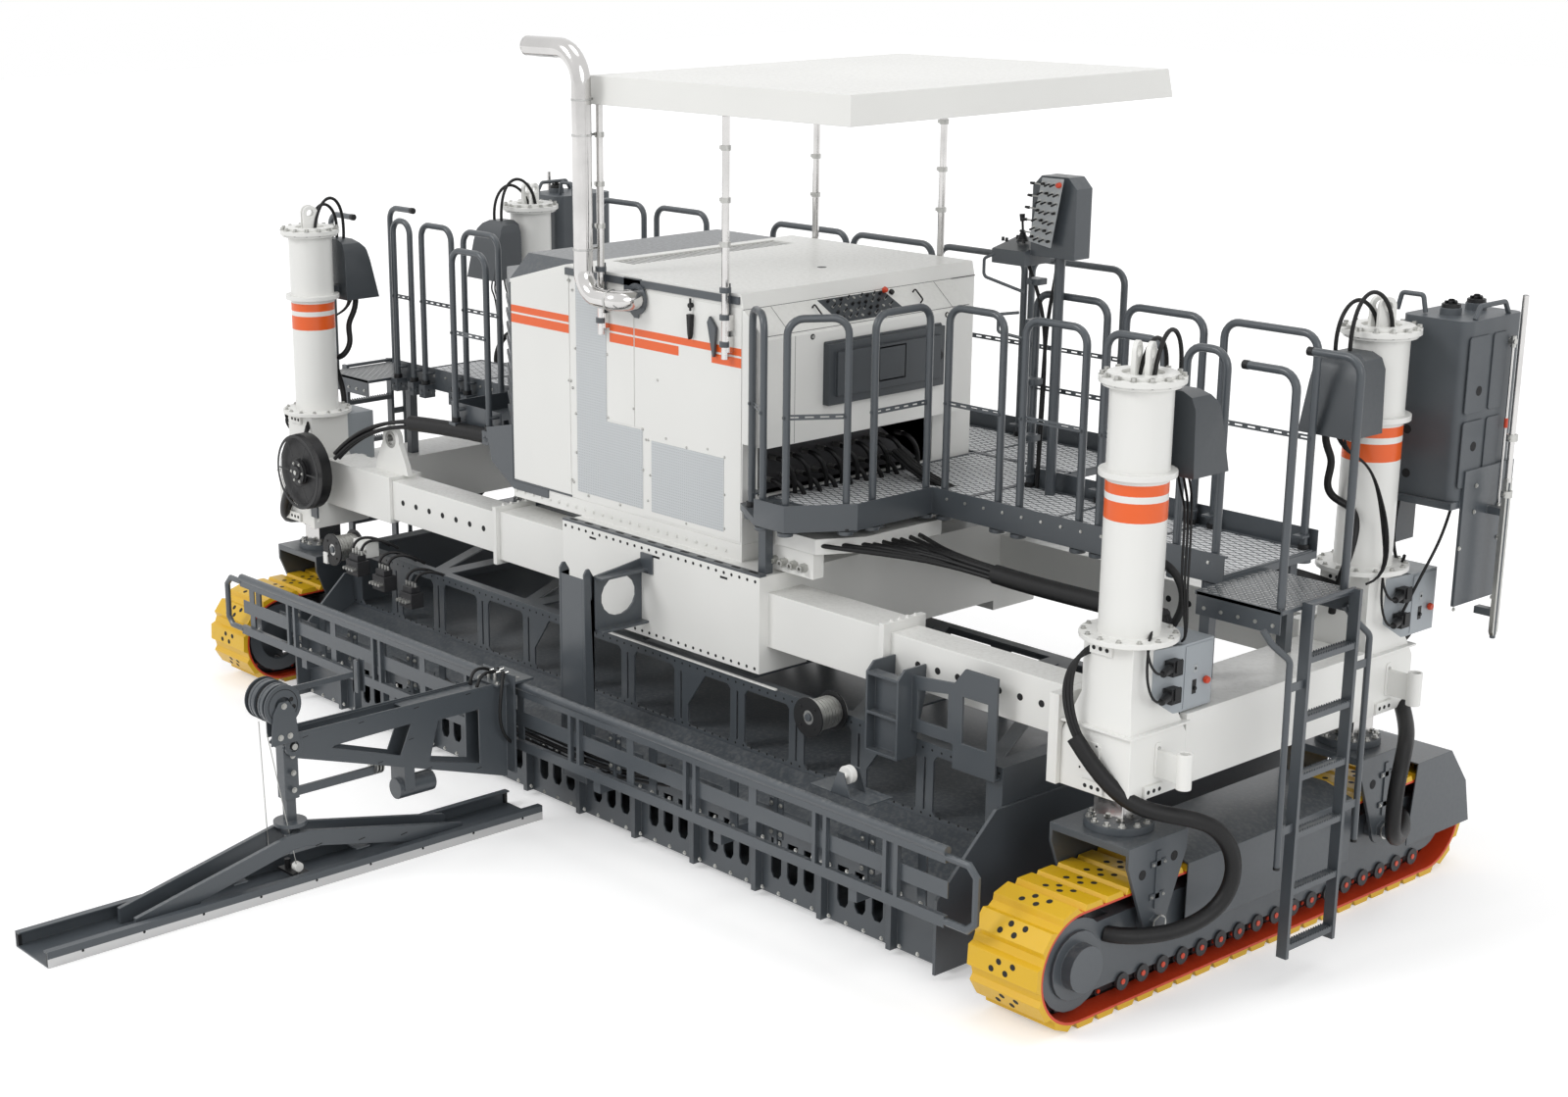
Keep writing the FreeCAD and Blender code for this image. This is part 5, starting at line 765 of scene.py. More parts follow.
def makeHoodSkin():
    rear = hood["rear"]
    doors = Shape("hood_doors", "white")
    for outline in hood["doors"]:
        onRear(doors, outline, 0, -0.004)
    sheets = Shape("hood_perforated_sheets", "perforated", width=0.0008)
    for gap, outline in hood["grilles"]:
        onRear(sheets, outline, gap, -0.003)
    stripes = Shape("hood_stripes", "orange", width=0)
    for (bottom, top), spans in hood["stripes"]:
        for left, right in spans:
            stripes.box((left + 0.001, rear - 0.0046, bottom), (right - 0.001, rear - 0.004, top))
    trim = Shape("hood_trim")
    onRear(trim, hood["gutter"], 0.012, 0.014)
    onRear(trim, hood["latch"], 0.010, -0.018)
    trim.box((-1.25, rear - 0.005, 1.752), (-1.238, rear + 0.01, 3.0))
    trim.box((-1.247, rear - 0.006, 1.752), (-0.66, rear + 0.004, 1.762))
    for x in (-0.310, 0.770):
        # post clamps: a tall plate with three jaws
        trim.box((x - 0.030, rear - 0.022, 2.84), (x + 0.012, rear - 0.012, 3.22))
        for z in (2.87, 3.02, 3.17):
            trim.collar((x, rear - 0.042, z), (0, 0, 0.03), 0.033, 0.021, 16)


def makeHoodFittings():
    rear, up = hood["rear"], slopeNormal()
    dark = Shape("hood_fittings", "plastic", width=0.001)
    screws = Shape("hood_screws", "zinc", width=0.0008)
    onRear(dark, hood["bottle"], 0.006, -0.030)
    dark.rod((0.453, rear, 3.06), (0.453, rear - 0.03, 3.06), 0.014, 12)
    dark.rod((0.453, rear - 0.02, 3.03), (0.453, rear - 0.02, 3.10), 0.007, 10)
    dark.box((0.868, rear, 3.079), (0.8745, 0.86, 3.0835))
    dark.box((1.0485, -0.7765, 2.335), (1.0505, -0.7735, 2.935))
    dark.rod((0.428, 0.027, 3.158), (0.428, 0.027, 3.1662), 0.028, 16)
    for x, z in hood["screws"]:
        screws.rod((x, rear - 0.003, z), (x, rear - 0.010, z), 0.0085, 12, 0.006)
    for y, z in hood["locks"]:
        dark.rod((1.046, y, z), (1.053, y, z), 0.016, 16)
        screws.rod((1.053, y, z), (1.056, y, z), 0.010, 14)
    for y0, y1, upper, lower in ((-0.8015, -0.7985, 0.02, 0.98), (0.4985, 0.5015, 0.02, 0.98),
                                 (-0.98, 0.64, 0.90, 0.915)):
        seam = [onSlope(upper, y0), onSlope(upper, y1), onSlope(lower, y1), onSlope(lower, y0)]
        dark.prism(seam, up * 0.0012)
    grips = [[onSlope(0.25, y), onSlope(0.25, y, 0.028), onSlope(0.62, y, 0.028), onSlope(0.62, y)]
             for y in hood["handles"]]
    finishShapes()
    tubes("hood_grips", "plastic", 0.005, [rounded(route, (0.01, 0.01), 3) for route in grips])
    louvre, slats = Shape("hood_top_grille", "steel", width=0.0008), hood["louvre"]
    for y in row(slats["first"], slats["pitch"], slats["count"]):
        louvre.box((slats["x"][0], y, 3.1505), (slats["x"][1], y + slats["bar"], 3.158))


def makeHoodDesk():
    # control panel let into the brow, with toggles, knobs and the red stop button
    low, high = hood["desk"]
    up = slopeNormal()
    plate = Shape("hood_desk_plate", "moulded")
    knobs = Shape("hood_desk_knobs", "plastic", width=0.0008)
    bright = Shape("hood_desk_toggles", "zinc", width=0.0006)
    stop = Shape("hood_stop_button", "red", width=0.002, segments=2)
    outline = [onSlope(0.06, low), onSlope(0.06, high - 0.07), onSlope(0.84, high), onSlope(0.84, low + 0.05)]
    plate.prism(outline, up * 0.004)
    for level in range(4):
        for y in row(low + 0.06 + 0.008 * level, 0.052, 9):
            foot = Vector(onSlope(0.16 + 0.19 * level, y, 0.004))
            kind = dice.random()
            if y > high - 0.06:
                continue
            if kind < 0.35:
                knobs.rod(foot, foot + up * 0.018, 0.010, 10, 0.008)
            elif kind < 0.75:
                bright.rod(foot, foot + up * 0.006, 0.008, 6)
                lean = up + Vector((0.0, dice.uniform(-0.25, 0.25), 0.0))
                knobs.rod(foot + up * 0.006, foot + lean * 0.032, 0.0035, 6, 0.005)
            else:
                bright.rod(foot, foot + up * 0.005, 0.009, 12)
    foot = Vector(onSlope(0.18, 0.115, 0.004))
    knobs.rod(foot, foot + up * 0.016, 0.016, 14)
    foot = Vector(onSlope(0.12, 0.065, 0.004))
    stop.rod(foot, foot + up * 0.014, 0.010, 14)
    stop.rod(foot + up * 0.014, foot + up * 0.03, 0.019, 18, 0.016)


cover = {
    "face": 1.1195,
    "ribs": ((2.802, -0.46, 0.28), (2.755, -0.46, -0.22), (2.755, 0.06, 0.28), (2.62, -0.46, -0.22),
             (2.62, 0.06, 0.28), (2.585, -0.46, 0.28)),
    "frame": ((-0.19, 2.62, -0.182, 2.80), (0.022, 2.62, 0.03, 2.80), (-0.19, 2.80, 0.03, 2.808),
              (-0.19, 2.612, 0.03, 2.62)),
    "latches": (-0.396, 0.315),
}


def makePanelCover():
    # moulded ribs, a plain raised frame and two latch recesses
    ribs = Shape("panel_cover_ribs", "moulded", "panel_cover", 0.0004)
    latches = Shape("panel_cover_latches", "plastic", "panel_cover")
    face = cover["face"]
    for z, left, right in cover["ribs"]:
        ribs.prism([(face - 0.001, left, z), (face - 0.001, right, z), (face + 0.0004, right, z + 0.018),
                    (face + 0.0004, left, z + 0.018)], (0, 0, 0.002))
    for y0, z0, y1, z1 in cover["frame"]:
        ribs.box((face - 0.001, y0, z0), (face + 0.0005, y1, z1))
    for y in cover["latches"]:
        latches.rod((1.098, y, 2.70), (face, y, 2.70), 0.026, 18)
        latches.box((1.112, y - 0.007, 2.66), (face, y + 0.007, 2.74))


makeHoodSkin()
makeHoodFittings()
makeHoodDesk()
makePanelCover()
finishShapes()
print("hood made")

crawler = {
    "shoes": 49,
    "holes": ((-0.066, -0.022), (0.022, -0.022), (-0.022, 0.026), (0.066, 0.026)),
    "hole": 0.0165,
    "face": 0.3196,
    "ground": 0.02,
    "link": {"x": 0.079, "reach": 0.024, "boss": 0.024, "pin": 0.011, "half": 0.017, "ends": (0.1, 0.9)},
    "roller": {"x": 3.7505, "z": 0.128, "first": -1.10, "pitch": 0.155, "count": 17},
    "straight": trackPlan["front"] - trackPlan["rear"],
}
crawler["pitch"] = 2 * (pi * trackPlan["pins"] + crawler["straight"]) / crawler["shoes"]


def onLoop(shoe, radius):
    # a point so many shoes along the track and at a radius round the wheels, its outward direction
    # and its heading
    rear, front, pins = trackPlan["rear"], trackPlan["front"], trackPlan["pins"]
    length, arc = crawler["straight"], pi * pins
    travel = shoe * crawler["pitch"] % (2 * (length + arc))
    if travel < length:
        angle, middle = pi / 2, rear + travel
    elif travel < length + arc:
        angle, middle = pi / 2 - (travel - length) / pins, front
    elif travel < 2 * length + arc:
        angle, middle = -pi / 2, front - (travel - length - arc)
    else:
        angle, middle = -pi / 2 - (travel - 2 * length - arc) / pins, rear
    out = Vector((0, math.cos(angle), math.sin(angle)))
    return Vector((0, middle, trackPlan["height"])) + out * radius, out, Vector((0, out.z, -out.y))


def makeTracks():
    link, roller, pinLine = crawler["link"], crawler["roller"], trackPlan["pins"]
    for side, sign in bothSides:
        body = side + "_track_unit"
        # near-black discs on the shoes: painted shade inside their holes
        holes = Shape(side + "_shoe_holes", "void", body, 0)
        links = Shape(side + "_chain_links", "iron", body, 0)
        pins = Shape(side + "_chain_pins", "red", body, 0)
        middle = Vector((sign * trackPlan["x"], 0, 0))
        for index in range(crawler["shoes"]):
            place, out, along = onLoop(index + 0.5, crawler["face"])
            for across, ahead in crawler["holes"] if place.z > crawler["ground"] else ():
                foot = place + middle + Vector((across, 0, 0)) + along * ahead
                holes.rod(foot, foot + out * 0.0012, crawler["hole"], 10)
            pin, out, along = onLoop(index, pinLine)
            near, far = [onLoop(index + share, pinLine)[0] for share in link["ends"]]
            edge = out * link["half"]
            for cross in (-1, 1):
                shoulder = middle + Vector((cross * link["x"], 0, 0))
                reach = Vector((cross * link["reach"], 0, 0))
                inset = shoulder + Vector((cross * 0.004, 0, 0))
                links.rod(shoulder + pin, shoulder + pin + reach, link["boss"], 12)
                pins.rod(shoulder + pin + reach, shoulder + pin + reach * 1.3, link["pin"], 10)
                links.prism([inset + corner for corner in (near + edge, far + edge, far - edge, near - edge)],
                            (cross * 0.010, 0, 0))
        outer = sign * roller["x"]
        for y in row(roller["first"], roller["pitch"], roller["count"]):
            links.stud((outer, y, roller["z"]), (sign * 0.012, 0, 0), 0.046, 20)
            pins.stud((outer + sign * 0.012, y, roller["z"]), (sign * 0.004, 0, 0), 0.015, 12)
        links.collar((outer, trackPlan["rear"], trackPlan["height"]), (sign * 0.008, 0, 0), 0.158, 0.105, 40)
    finishShapes()


makeTracks()
print("tracks made")

# loop, conduit and wire are routed from a column's axis, outwards and towards the middle of its side;
# sleeve and feed are routed from the middle of the machine, outwards and towards the ends
columns = {
    "x": 3.572,
    "y": 0.955,
    "foot": 1.856,
    "bolts": {"count": 14, "head": 0.187, "foot": 0.216, "hole": 0.196},
    "pads": ((-0.035, 1.79, 0.15), (0.0, 1.11, 0.21)),
    "pad": (0.065, 0.030, 0.016),
    "half": 0.21,
    "plate": [(-0.10, 1.175), (0.03, 1.175), (0.03, 1.32), (0.015, 1.335), (-0.10, 1.335)],
    "screws": ((-0.085, 1.19), (0.015, 1.19), (-0.085, 1.32), (0.012, 1.32)),
    "cover": ((-1, 1.18), (-0.6, 1.165), (0.6, 1.165), (1, 1.18), (1, 1.33), (0.6, 1.345), (-0.6, 1.345),
              (-1, 1.33)),
    "loop": [(0.03, 0.0, 3.10), (0.03, 0.02, 3.22), (0.0, 0.13, 3.345), (-0.02, 0.27, 3.24),
             (-0.03, 0.275, 3.06), (-0.03, 0.27, 3.0)],
    "loops": ((-0.05, 0.05), (0.035, 0.0)),
    "conduit": [(-0.08, 0.30, 2.62), (-0.09, 0.30, 2.52), (-0.06, 0.22, 2.44), (-0.10, 0.25, 2.30),
                (-0.10, 0.16, 2.20),
                (0.02, 0.17, 2.19), (0.10, 0.22, 2.12), (0.11, 0.28, 1.98), (0.06, 0.27, 1.84),
                (-0.02, 0.20, 1.70), (-0.04, 0.18, 1.60)],
    "wire": [(-0.02, 0.32, 2.61, 0.03, 0, 0), (0.02, 0.30, 2.50, 0.02, 0.02, 0),
             (0.10, 0.24, 2.48, 0.02, 0, 0),
             (0.16, 0.17, 2.35, 0.02, 0, -0.05), (0.19, 0.12, 2.05, 0.02, 0, 0), (0.24, 0.14, 1.84, 0, 0, 0),
             (0.16, 0.20, 1.80, 0, 0, 0)],
    "sleeve": [(3.50, 1.235, 1.36), (3.62, 1.22, 1.22), (3.74, 1.16, 1.09), (3.84, 1.06, 1.03),
               (3.94, 0.93, 1.0),
               (4.02, 0.79, 0.95), (4.06, 0.68, 0.80), (4.06, 0.67, 0.62), (4.02, 0.75, 0.48),
               (3.95, 0.91, 0.41), (3.88, 1.07, 0.40), (3.80, 1.20, 0.41), (3.74, 1.24, 0.42)],
    "feed": [(3.47, 1.09, 1.76, 0.012, -0.010, 0.02), (3.42, 1.15, 1.74, 0.012, -0.010, 0.02),
             (3.39, 1.20, 1.64, 0.012, -0.010, 0.02), (3.41, 1.22, 1.50, 0.012, -0.010, 0),
             (3.47, 1.235, 1.40, 0.012, -0.010, 0), (3.51, 1.235, 1.35, 0.012, -0.010, 0)],
}


def eachColumn():
    # side, its sign, the sign of the front (1) or rear (-1) column, and its axis
    return [(side, sign, along, sign * columns["x"], along * columns["y"]) for side,
            sign in bothSides for along in (-1, 1)]


def fanned(route, k):
    # rows of x, y, z and how far each moves from one line to the next
    return [(x + dx * k, y + dy * k, z + dz * k) for x, y, z, dx, dy, dz in route]


def makeColumns():
    plain = Shape("column_plates", "white", width=0.002, segments=2)
    bolts = Shape("column_bolts", "zinc", width=0)
    # near-black discs: painted shade in the bolt holes, pad holes and screw holes
    dark = Shape("column_holes", "void", width=0)
    ring, (wide, high, thick) = columns["bolts"], columns["pad"]
    circles = [around(ring["count"], ring[key], 0.5) for key in ("head", "foot", "hole")]
    for _, sign, _, x, y in eachColumn():
        plain.collar((x, y, 3.1), (0, 0, 0.016), 0.168, 0.10, 28)
        for head, foot, hole in zip(*circles):
            bolts.bolt((x + head[0], y + head[1], 3.10), (0, 0, 1), 0.013, 0.016)
            bolts.bolt((x + foot[0], y + foot[1], columns["foot"]), (0, 0, 1), 0.010, 0.010)
            dark.rod((x + hole[0], y + hole[1], 3.0705), (x + hole[0], y + hole[1], 3.0685), 0.007, 8)
        for face in (-1, 1):
            for shift, z, half in columns["pads"]:
                near, middle = y + face * half, x + shift
                plain.box((middle - wide, near, z - high), (middle + wide, near + face * thick, z + high))
                for step in (-0.040, 0, 0.040):
                    dark.stud((middle + step, near + face * thick, z), (0, face * 0.001, 0), 0.011, 12)
            near = y + face * columns["half"]
            plain.prism([(x + sign * dx, near, z) for dx, z in columns["plate"]], (0, face * 0.006, 0))
            for dx, z in columns["screws"]:
                dark.stud((x + sign * dx, near + face * 0.006, z), (0, face * 0.001, 0), 0.006, 8)
        plain.box((x - 0.224, y - 0.224, 1.398), (x + 0.224, y + 0.224, 1.410))
        outer = x + sign * columns["half"]
        plain.prism([(outer, y + share * 0.026, z) for share, z in columns["cover"]], (sign * 0.006, 0, 0))
        for z in row(1.195, 0.03, 5):
            bolts.collar((outer + sign * 0.006, y, z), (sign * 0.003, 0, 0), 0.011, 0.006, 12)
        plain.box((outer, y - 0.105, 1.08), (outer + sign * thick, y + 0.035, 1.14))
        for shift in (-0.077, -0.035, 0.007):
            dark.stud((outer + sign * thick, y + shift, 1.11), (sign * 0.001, 0, 0), 0.011, 12)
    finishShapes()


def makeColumnHoses():
    loops, conduits, wires = [], [], []
    for side, sign, along, x, y in eachColumn():
        name = f"{side}_{'rear' if along < 0 else 'front'}_track_hose"
        for shift, drop in columns["loops"]:
            loops.append([(x + shift + dx, y - along * dy, z - drop * (z > 3.15)) for dx, dy,
                          z in columns["loop"]])
        conduits.append([(x + sign * dx, y - along * dy, z) for dx, dy, z in columns["conduit"]])
        for k in range(3):
            wires.append([(x + sign * dx, y - along * dy, z) for dx, dy, z in fanned(columns["wire"], k)])
            loops.append([(sign * a, along * b, z) for a, b, z in fanned(columns["feed"], k)])
        sleeve = [(sign * a, along * b, z) for a, b, z in columns["sleeve"]]
        flexible(name, "rubber", 0.042, [sleeve], ("frame", side + "_track_unit"),
                 (sign * 4.0, along * 0.9, 0.98), (sign * 4.0, along * 0.9, 0.50))
    tubes("column_hoses", "rubber", 0.011, loops, kind="NURBS")
    tubes("column_conduits", "rubber", 0.020, conduits, kind="NURBS", sides=3)
    tubes("column_wires", "rubber", 0.0065, wires, kind="NURBS", sides=1)


junction = {
    "face": 3.76,
    "edge": 0.186,
    "plugs": (1.70, 1.56),
    "wire": [(3.80, -0.02, 0), (3.80, -0.07, -0.01), (3.78, -0.13, 0.10)],
    "wireEnd": [(3.74, -0.06, 1.86), (3.68, 0.05, 1.93), (3.60, 0.19, 2.02)],
    "cableEnd": [(3.735, 0.10, 1.37), (3.70, 0.08, 1.42), (3.66, 0.16, 1.45)],
}


def makeJunctions():
    boxes = Shape("junction_panels", "box", width=0.002)
    dark = Shape("junction_plugs", "plastic", width=0.002)
    pale = Shape("junction_switches", "plate")
    stop = Shape("junction_buttons", "red", width=0.002, segments=2)
    wires = []
    for _, sign, _, _, y in eachColumn():
        face, edge = sign * junction["face"], y + junction["edge"]
        boxes.prism([(sign * 3.724, y, 1.45), (sign * 3.762, edge, 1.45), (sign * 3.755, edge + 0.004, 1.45),
                     (sign * 3.70, y + 0.03, 1.45)], (0, 0, 0.34))
        boxes.box((face, edge + 0.012, 1.462), (face + sign * 0.004, edge + 0.218, 1.778))
        for z in junction["plugs"]:
            dark.box((sign * 3.745, y + 0.06, z - 0.04), (sign * 3.80, y + 0.135, z + 0.035))
            dark.box((sign * 3.80, y + 0.075, z - 0.02), (sign * 3.808, y + 0.12, z + 0.045))
            dark.rod((sign * 3.775, y + 0.06, z), (sign * 3.80, y - 0.02, z - 0.005), 0.026, 14, 0.018)
            wires.append([(sign * a, y + b, z + c) for a, b, c in junction["wire"]]
                         + [(sign * a, y + b, c) for a, b, c in junction["wireEnd"]])
        pale.box((face, edge + 0.075, 1.635), (face + sign * 0.006, edge + 0.105, 1.675))
        dark.stud((face, edge + 0.09, 1.655), (sign * 0.008, 0, 0), 0.008, 10)
        dark.box((face, edge + 0.07, 1.525), (face + sign * 0.005, edge + 0.105, 1.60))
        dark.stud((face, edge + 0.088, 1.555), (sign * 0.016, 0, 0), 0.010, 12)
        stop.stud((face, edge + 0.165, 1.585), (sign * 0.012, 0, 0), 0.010, 12)
        stop.stud((face + sign * 0.012, edge + 0.165, 1.585), (sign * 0.018, 0, 0), 0.020, 18, 0.017)
        for k in range(5):
            across, ahead = sign * (3.735 - 0.012 * k), edge + 0.02 + 0.035 * k
            wires.append([(across, ahead, 1.452), (across, ahead, 1.41),
                          (across - sign * 0.01, ahead - 0.04, 1.375 + 0.004 * k)]
                         + [(sign * a, y + b, c) for a, b, c in junction["cableEnd"]])
    finishShapes()
    tubes("junction_wires", "rubber", 0.0065, wires, kind="NURBS", sides=1)


def makeUndercarriage():
    # bolts on the rings, the crossed plates on the forks and the drive hubs
    for side, sign in bothSides:
        body = side + "_track_unit"
        plates = Shape(side + "_fork_plates", "slate", body)
        bright = Shape(side + "_ring_bolts", "zinc", body, 0)
        # near-black discs on the fork plates: painted shade in holes
        dark = Shape(side + "_fork_holes", "void", body, 0)
        x = sign * columns["x"]
        face, proud = x + sign * 0.248, x + sign * 0.256
        for y in (-columns["y"], columns["y"]):
            for across, ahead in around(12, 0.146, 0.5):
                bright.bolt((x + across, y + ahead, 0.90), (0, 0, 1), 0.013, 0.014)
            plates.box((face, y - 0.017, 0.50), (proud, y + 0.017, 0.80))
            for z in (0.565, 0.735):
                plates.box((face, y - 0.055, z - 0.015), (proud, y + 0.055, z + 0.015))
                for shift in (-0.043, 0.043):
                    bright.bolt((proud, y + shift, z), (sign, 0, 0), 0.006, 0.005)
            for shift, z in ((-0.115, 0.70), (0.125, 0.74)):
                dark.stud((face, y + shift, z), (sign * 0.0015, 0, 0), 0.026, 18)
            bright.collar((x + sign * 0.275, y, 0.42), (sign * 0.006, 0, 0), 0.050, 0.030, 24)
        for ahead, above in around(16, 0.135):
            hub = (sign * 3.7505, trackPlan["rear"] + ahead, trackPlan["height"] + above)
            bright.bolt(hub, (sign, 0, 0), 0.010, 0.010)
    finishShapes()


makeColumns()
makeColumnHoses()
makeJunctions()
makeUndercarriage()
print("columns made")

chassis = {
    "box": (-0.57, 1.18),
    "rows": (1.118, 1.622),
    "pitch": 0.0648,
    "slot": ((-1, -0.4), (-0.8, -1), (0.8, -1), (1, -0.4), (1, 0.4), (0.8, 1), (-0.8, 1), (-1, 0.4)),
    "beamHoles": ((2.30, 0.14), (-2.40, 0.15)),
    "joints": (-1.312, 2.082),
    "sleeves": [[(2.36, -0.55, 1.81), (2.7, -0.56, 1.80), (3.1, -0.58, 1.82), (3.5, -0.60, 1.83)],
                [(-2.42, -0.96, 1.925), (-2.1, -0.92, 1.945), (-1.75, -0.90, 1.955), (-1.55, -0.88, 1.95)]],
    # how many hoses, how many to a layer, the steps across and up, and the route; the last two values
    # of a point say how much of the two steps it takes
    "bundles": [
        (9, 3, 0.02, 0.022, [(3.48, -0.60, 1.80, 1, 1), (3.56, -0.62, 1.76, 1, 1), (3.60, -0.66, 1.66, 1, 0),
                             (3.58, -0.72, 1.56, 1, 0)]),
        (4, 2, 0.035, 0.035, [(-3.00, -1.20, 1.62, 1, 1), (-2.95, -1.15, 1.70, 1, 1),
                              (-2.78, -1.07, 1.84, 1, 1),
                              (-2.50, -1.0, 1.90, 1, 1), (-2.32, -0.95, 1.905, 1, 1)]),
        (7, 4, 0.026, 0.024, [(1.02, 0.05, 2.14, 1, 1), (1.3, 0.08, 1.95, 1, 1), (1.9, 0.20, 1.90, 1, 1),
                              (2.6, 0.30, 1.89, 1, 1), (3.2, 0.36, 1.88, 1, 1), (3.5, 0.60, 1.80, 1, 1),
                              (3.55, 0.78, 1.72, 0.5, 1)]),
    ],
    "ledge": [(1.075, -1.0, 1.81), (1.46, -1.0, 1.81), (1.60, -0.75, 1.81), (1.60, -0.15, 1.81),
              (1.075, -0.15, 1.81)],
    "gusset": [(-1.52, -1.008, 2.05), (-1.47, -1.008, 1.84), (-1.244, -1.008, 1.70), (-0.89, -1.008, 1.70),
               (-0.89, -1.008, 1.752), (-1.245, -1.008, 1.752), (-1.245, -1.008, 2.11)],
}


def makeChassis():
    small = Shape("frame_bolts", "white", width=0)
    # near-black discs and slots: painted shade in the frame's holes and slots
    dark = Shape("frame_holes", "void", width=0)
    strips = Shape("frame_strips")
    left, right = chassis["box"]
    count = int((right - left - 0.06) / chassis["pitch"]) + 1
    for face in (-1, 1):
        y = face * 1.15
        for i, x in enumerate(row(left + 0.03, chassis["pitch"], count)):
            for z in chassis["rows"]:
                dark.stud((x, y, z), (0, face * 0.001, 0), 0.0095, 12)
            if i % 9 == 4:
                dark.box((x - 0.03, y, 1.585), (x + 0.03, y + face * 0.001, 1.598))
        strips.box((left, y, 1.65), (right, y - face * 0.05, 1.664))
        for x in row(left + 0.08, 0.145, 12):
            slot = [(x + a * 0.035, y - face * 0.025 + b * 0.011, 1.664) for a, b in chassis["slot"]]
            dark.prism(slot, (0, 0, 0.0008))
        for start, step in chassis["beamHoles"]:
            for x in row(start, step, 7):
                dark.stud((x, face * 1.061, 1.40), (0, face * 0.001, 0), 0.019, 16)
                dark.stud((x - 0.3, face * 0.849, 1.42), (0, -face * 0.001, 0), 0.019, 16)
        for x in chassis["joints"]:
            for z in row(1.27, 0.05, 6):
                dark.stud((x, face * 1.085, z), (0, face * 0.0015, 0), 0.008, 10)
            for y in row(0.86, 0.06, 4):
                small.bolt((x, face * y, 1.585), (0, 0, 1), 0.008, 0.008)
    for x in row(-1.22, 0.085, 24):
        small.bolt((x, -1.001, 1.695), (0, -1, 0), 0.008, 0.006)
    for x in (3.315, -3.315):
        for z in (1.12, 1.24, 1.36, 1.48):
            for y in (-1.16, -0.76, 0.76, 1.16):
                small.bolt((x * 0.9955, y, z), (-x, 0, 0), 0.009, 0.008)
    finishShapes()


def makeFrameHoses():
    fan = []
    for k in range(9):
        y, a, b = -0.98 + 0.085 * k, 0.02 * (k % 3), 0.022 * (k // 3)
        fan.append([(1.40, y, 1.86), (1.62, y * 0.95, 1.86 - b), (1.95, -0.62 + a, 1.83 + b),
                    (2.30, -0.57 + a, 1.79 + b), (2.44, -0.565 + a, 1.785 + b)])
    for count, layer, across, up, route in chassis["bundles"]:
        for k in range(count):
            a, b = across * (k % layer), up * (k // layer)
            fan.append([(x, y + a * shareA, z + b * shareB) for x, y, z, shareA, shareB in route])
    tubes("frame_hoses", "rubber", 0.0135, fan, kind="NURBS", sides=2)
    tubes("frame_sleeves", "rubber", 0.052, chassis["sleeves"], kind="NURBS", sides=4)


def makeBay():
    # the ledge under the bay beside the hood, its couplings and the bank of ports behind it
    ledge = Shape("bay_ledge", "white", width=0.004)
    gusset = Shape("radiator_gusset")
    outlet = Shape("ledge_couplings", "zinc", width=0)
    port = Shape("port_couplings", "zinc", width=0)
    ledge.prism(chassis["ledge"], (0, 0, 0.09))
    ledge.box((1.075, -0.985, 1.66), (1.43, -0.90, 1.81))
    gusset.prism(chassis["gusset"], (0, 0.012, 0))
    loops = []
    for x in row(1.135, 0.078, 4):
        outlet.rod((x, -0.985, 1.72), (x, -1.02, 1.72), 0.026, 6)
        outlet.ring((x, -1.02, 1.72), (x, -1.035, 1.72), 0.020, 0.010, 18)
    for level in range(2):
        z = 2.10 + 0.12 * level
        for y in row(-0.80 + 0.04 * level, 0.125, 9):
            port.rod((0.842, y, z), (0.90, y, z), 0.016, 6)
            loops.append([(0.90, y, z), (0.97, y, z), (1.0, y + 0.05, z - 0.10),
                          (0.94, y + 0.10, z - 0.16 - 0.03 * level), (0.88, y + 0.16, 1.95)])
    finishShapes()
    tubes("port_hoses", "rubber", 0.014, loops, kind="NURBS", sides=1)
    block = Shape("port_valves", "iron", width=0.004)
    block.box((0.62, -0.86, 2.03), (0.838, 0.50, 2.30))
    finishShapes()


makeChassis()
makeFrameHoses()
makeBay()
print("chassis made")

platform = {
    "lattice": [(1.65, 3.59, -0.27, 0.46), (-3.41, 1.63, 0.90, 1.44), (-3.59, -2.11, -0.27, 0.49),
                (0.90, 1.63, -0.82, 0.88)],
    "sheet": (1.9985, 2.003),
    "bars": {"pitch": 0.11, "slope": 0.45, "half": 0.0035, "rise": 0.002},
    "frame": {"half": 0.006, "low": 2.0, "high": 2.009, "pitch": 0.62, "bar": 0.008},
    "landings": ((3.60, 4.11), (-4.11, -3.60)),
    "landing": (-0.50, 0.09, 1.98),
    "tread": {"pitch": 0.029, "across": 17, "along": 20, "rise": 0.0022},
    "rung": {"x": 4.1403, "first": 0.23, "pitch": 0.3, "count": 6, "edges": (-0.025, 0.019), "teeth": 18},
}


def latticeBars(shape, x0, x1, y0, y1, z):
    # crossing slanted bars clipped to a rectangle
    bars = platform["bars"]
    half = bars["half"]
    reach = (y1 - y0) / bars["slope"]
    count = int((x1 - x0 + reach) / bars["pitch"]) + 1
    for sign in (1, -1):
        for start in row(x0 - (reach if sign > 0 else 0), bars["pitch"], count):
            end = start + sign * reach
            if sign < 0 and min(start, end) > x1:
                continue
            ends = [min(max(x, x0), x1) for x in (start, end)]
            (ax, ay), (bx, by) = [(x, y0 + (x - start) / (end - start) * (y1 - y0)) for x in ends]
            if abs(bx - ax) < 0.01 or max(ax, bx) <= x0 + 0.001 or min(ax, bx) >= x1 - 0.001:
                continue
            shape.prism([(ax - half, ay, z), (ax + half, ay, z), (bx + half, by, z), (bx - half, by, z)],
                        (0, 0, bars["rise"]))


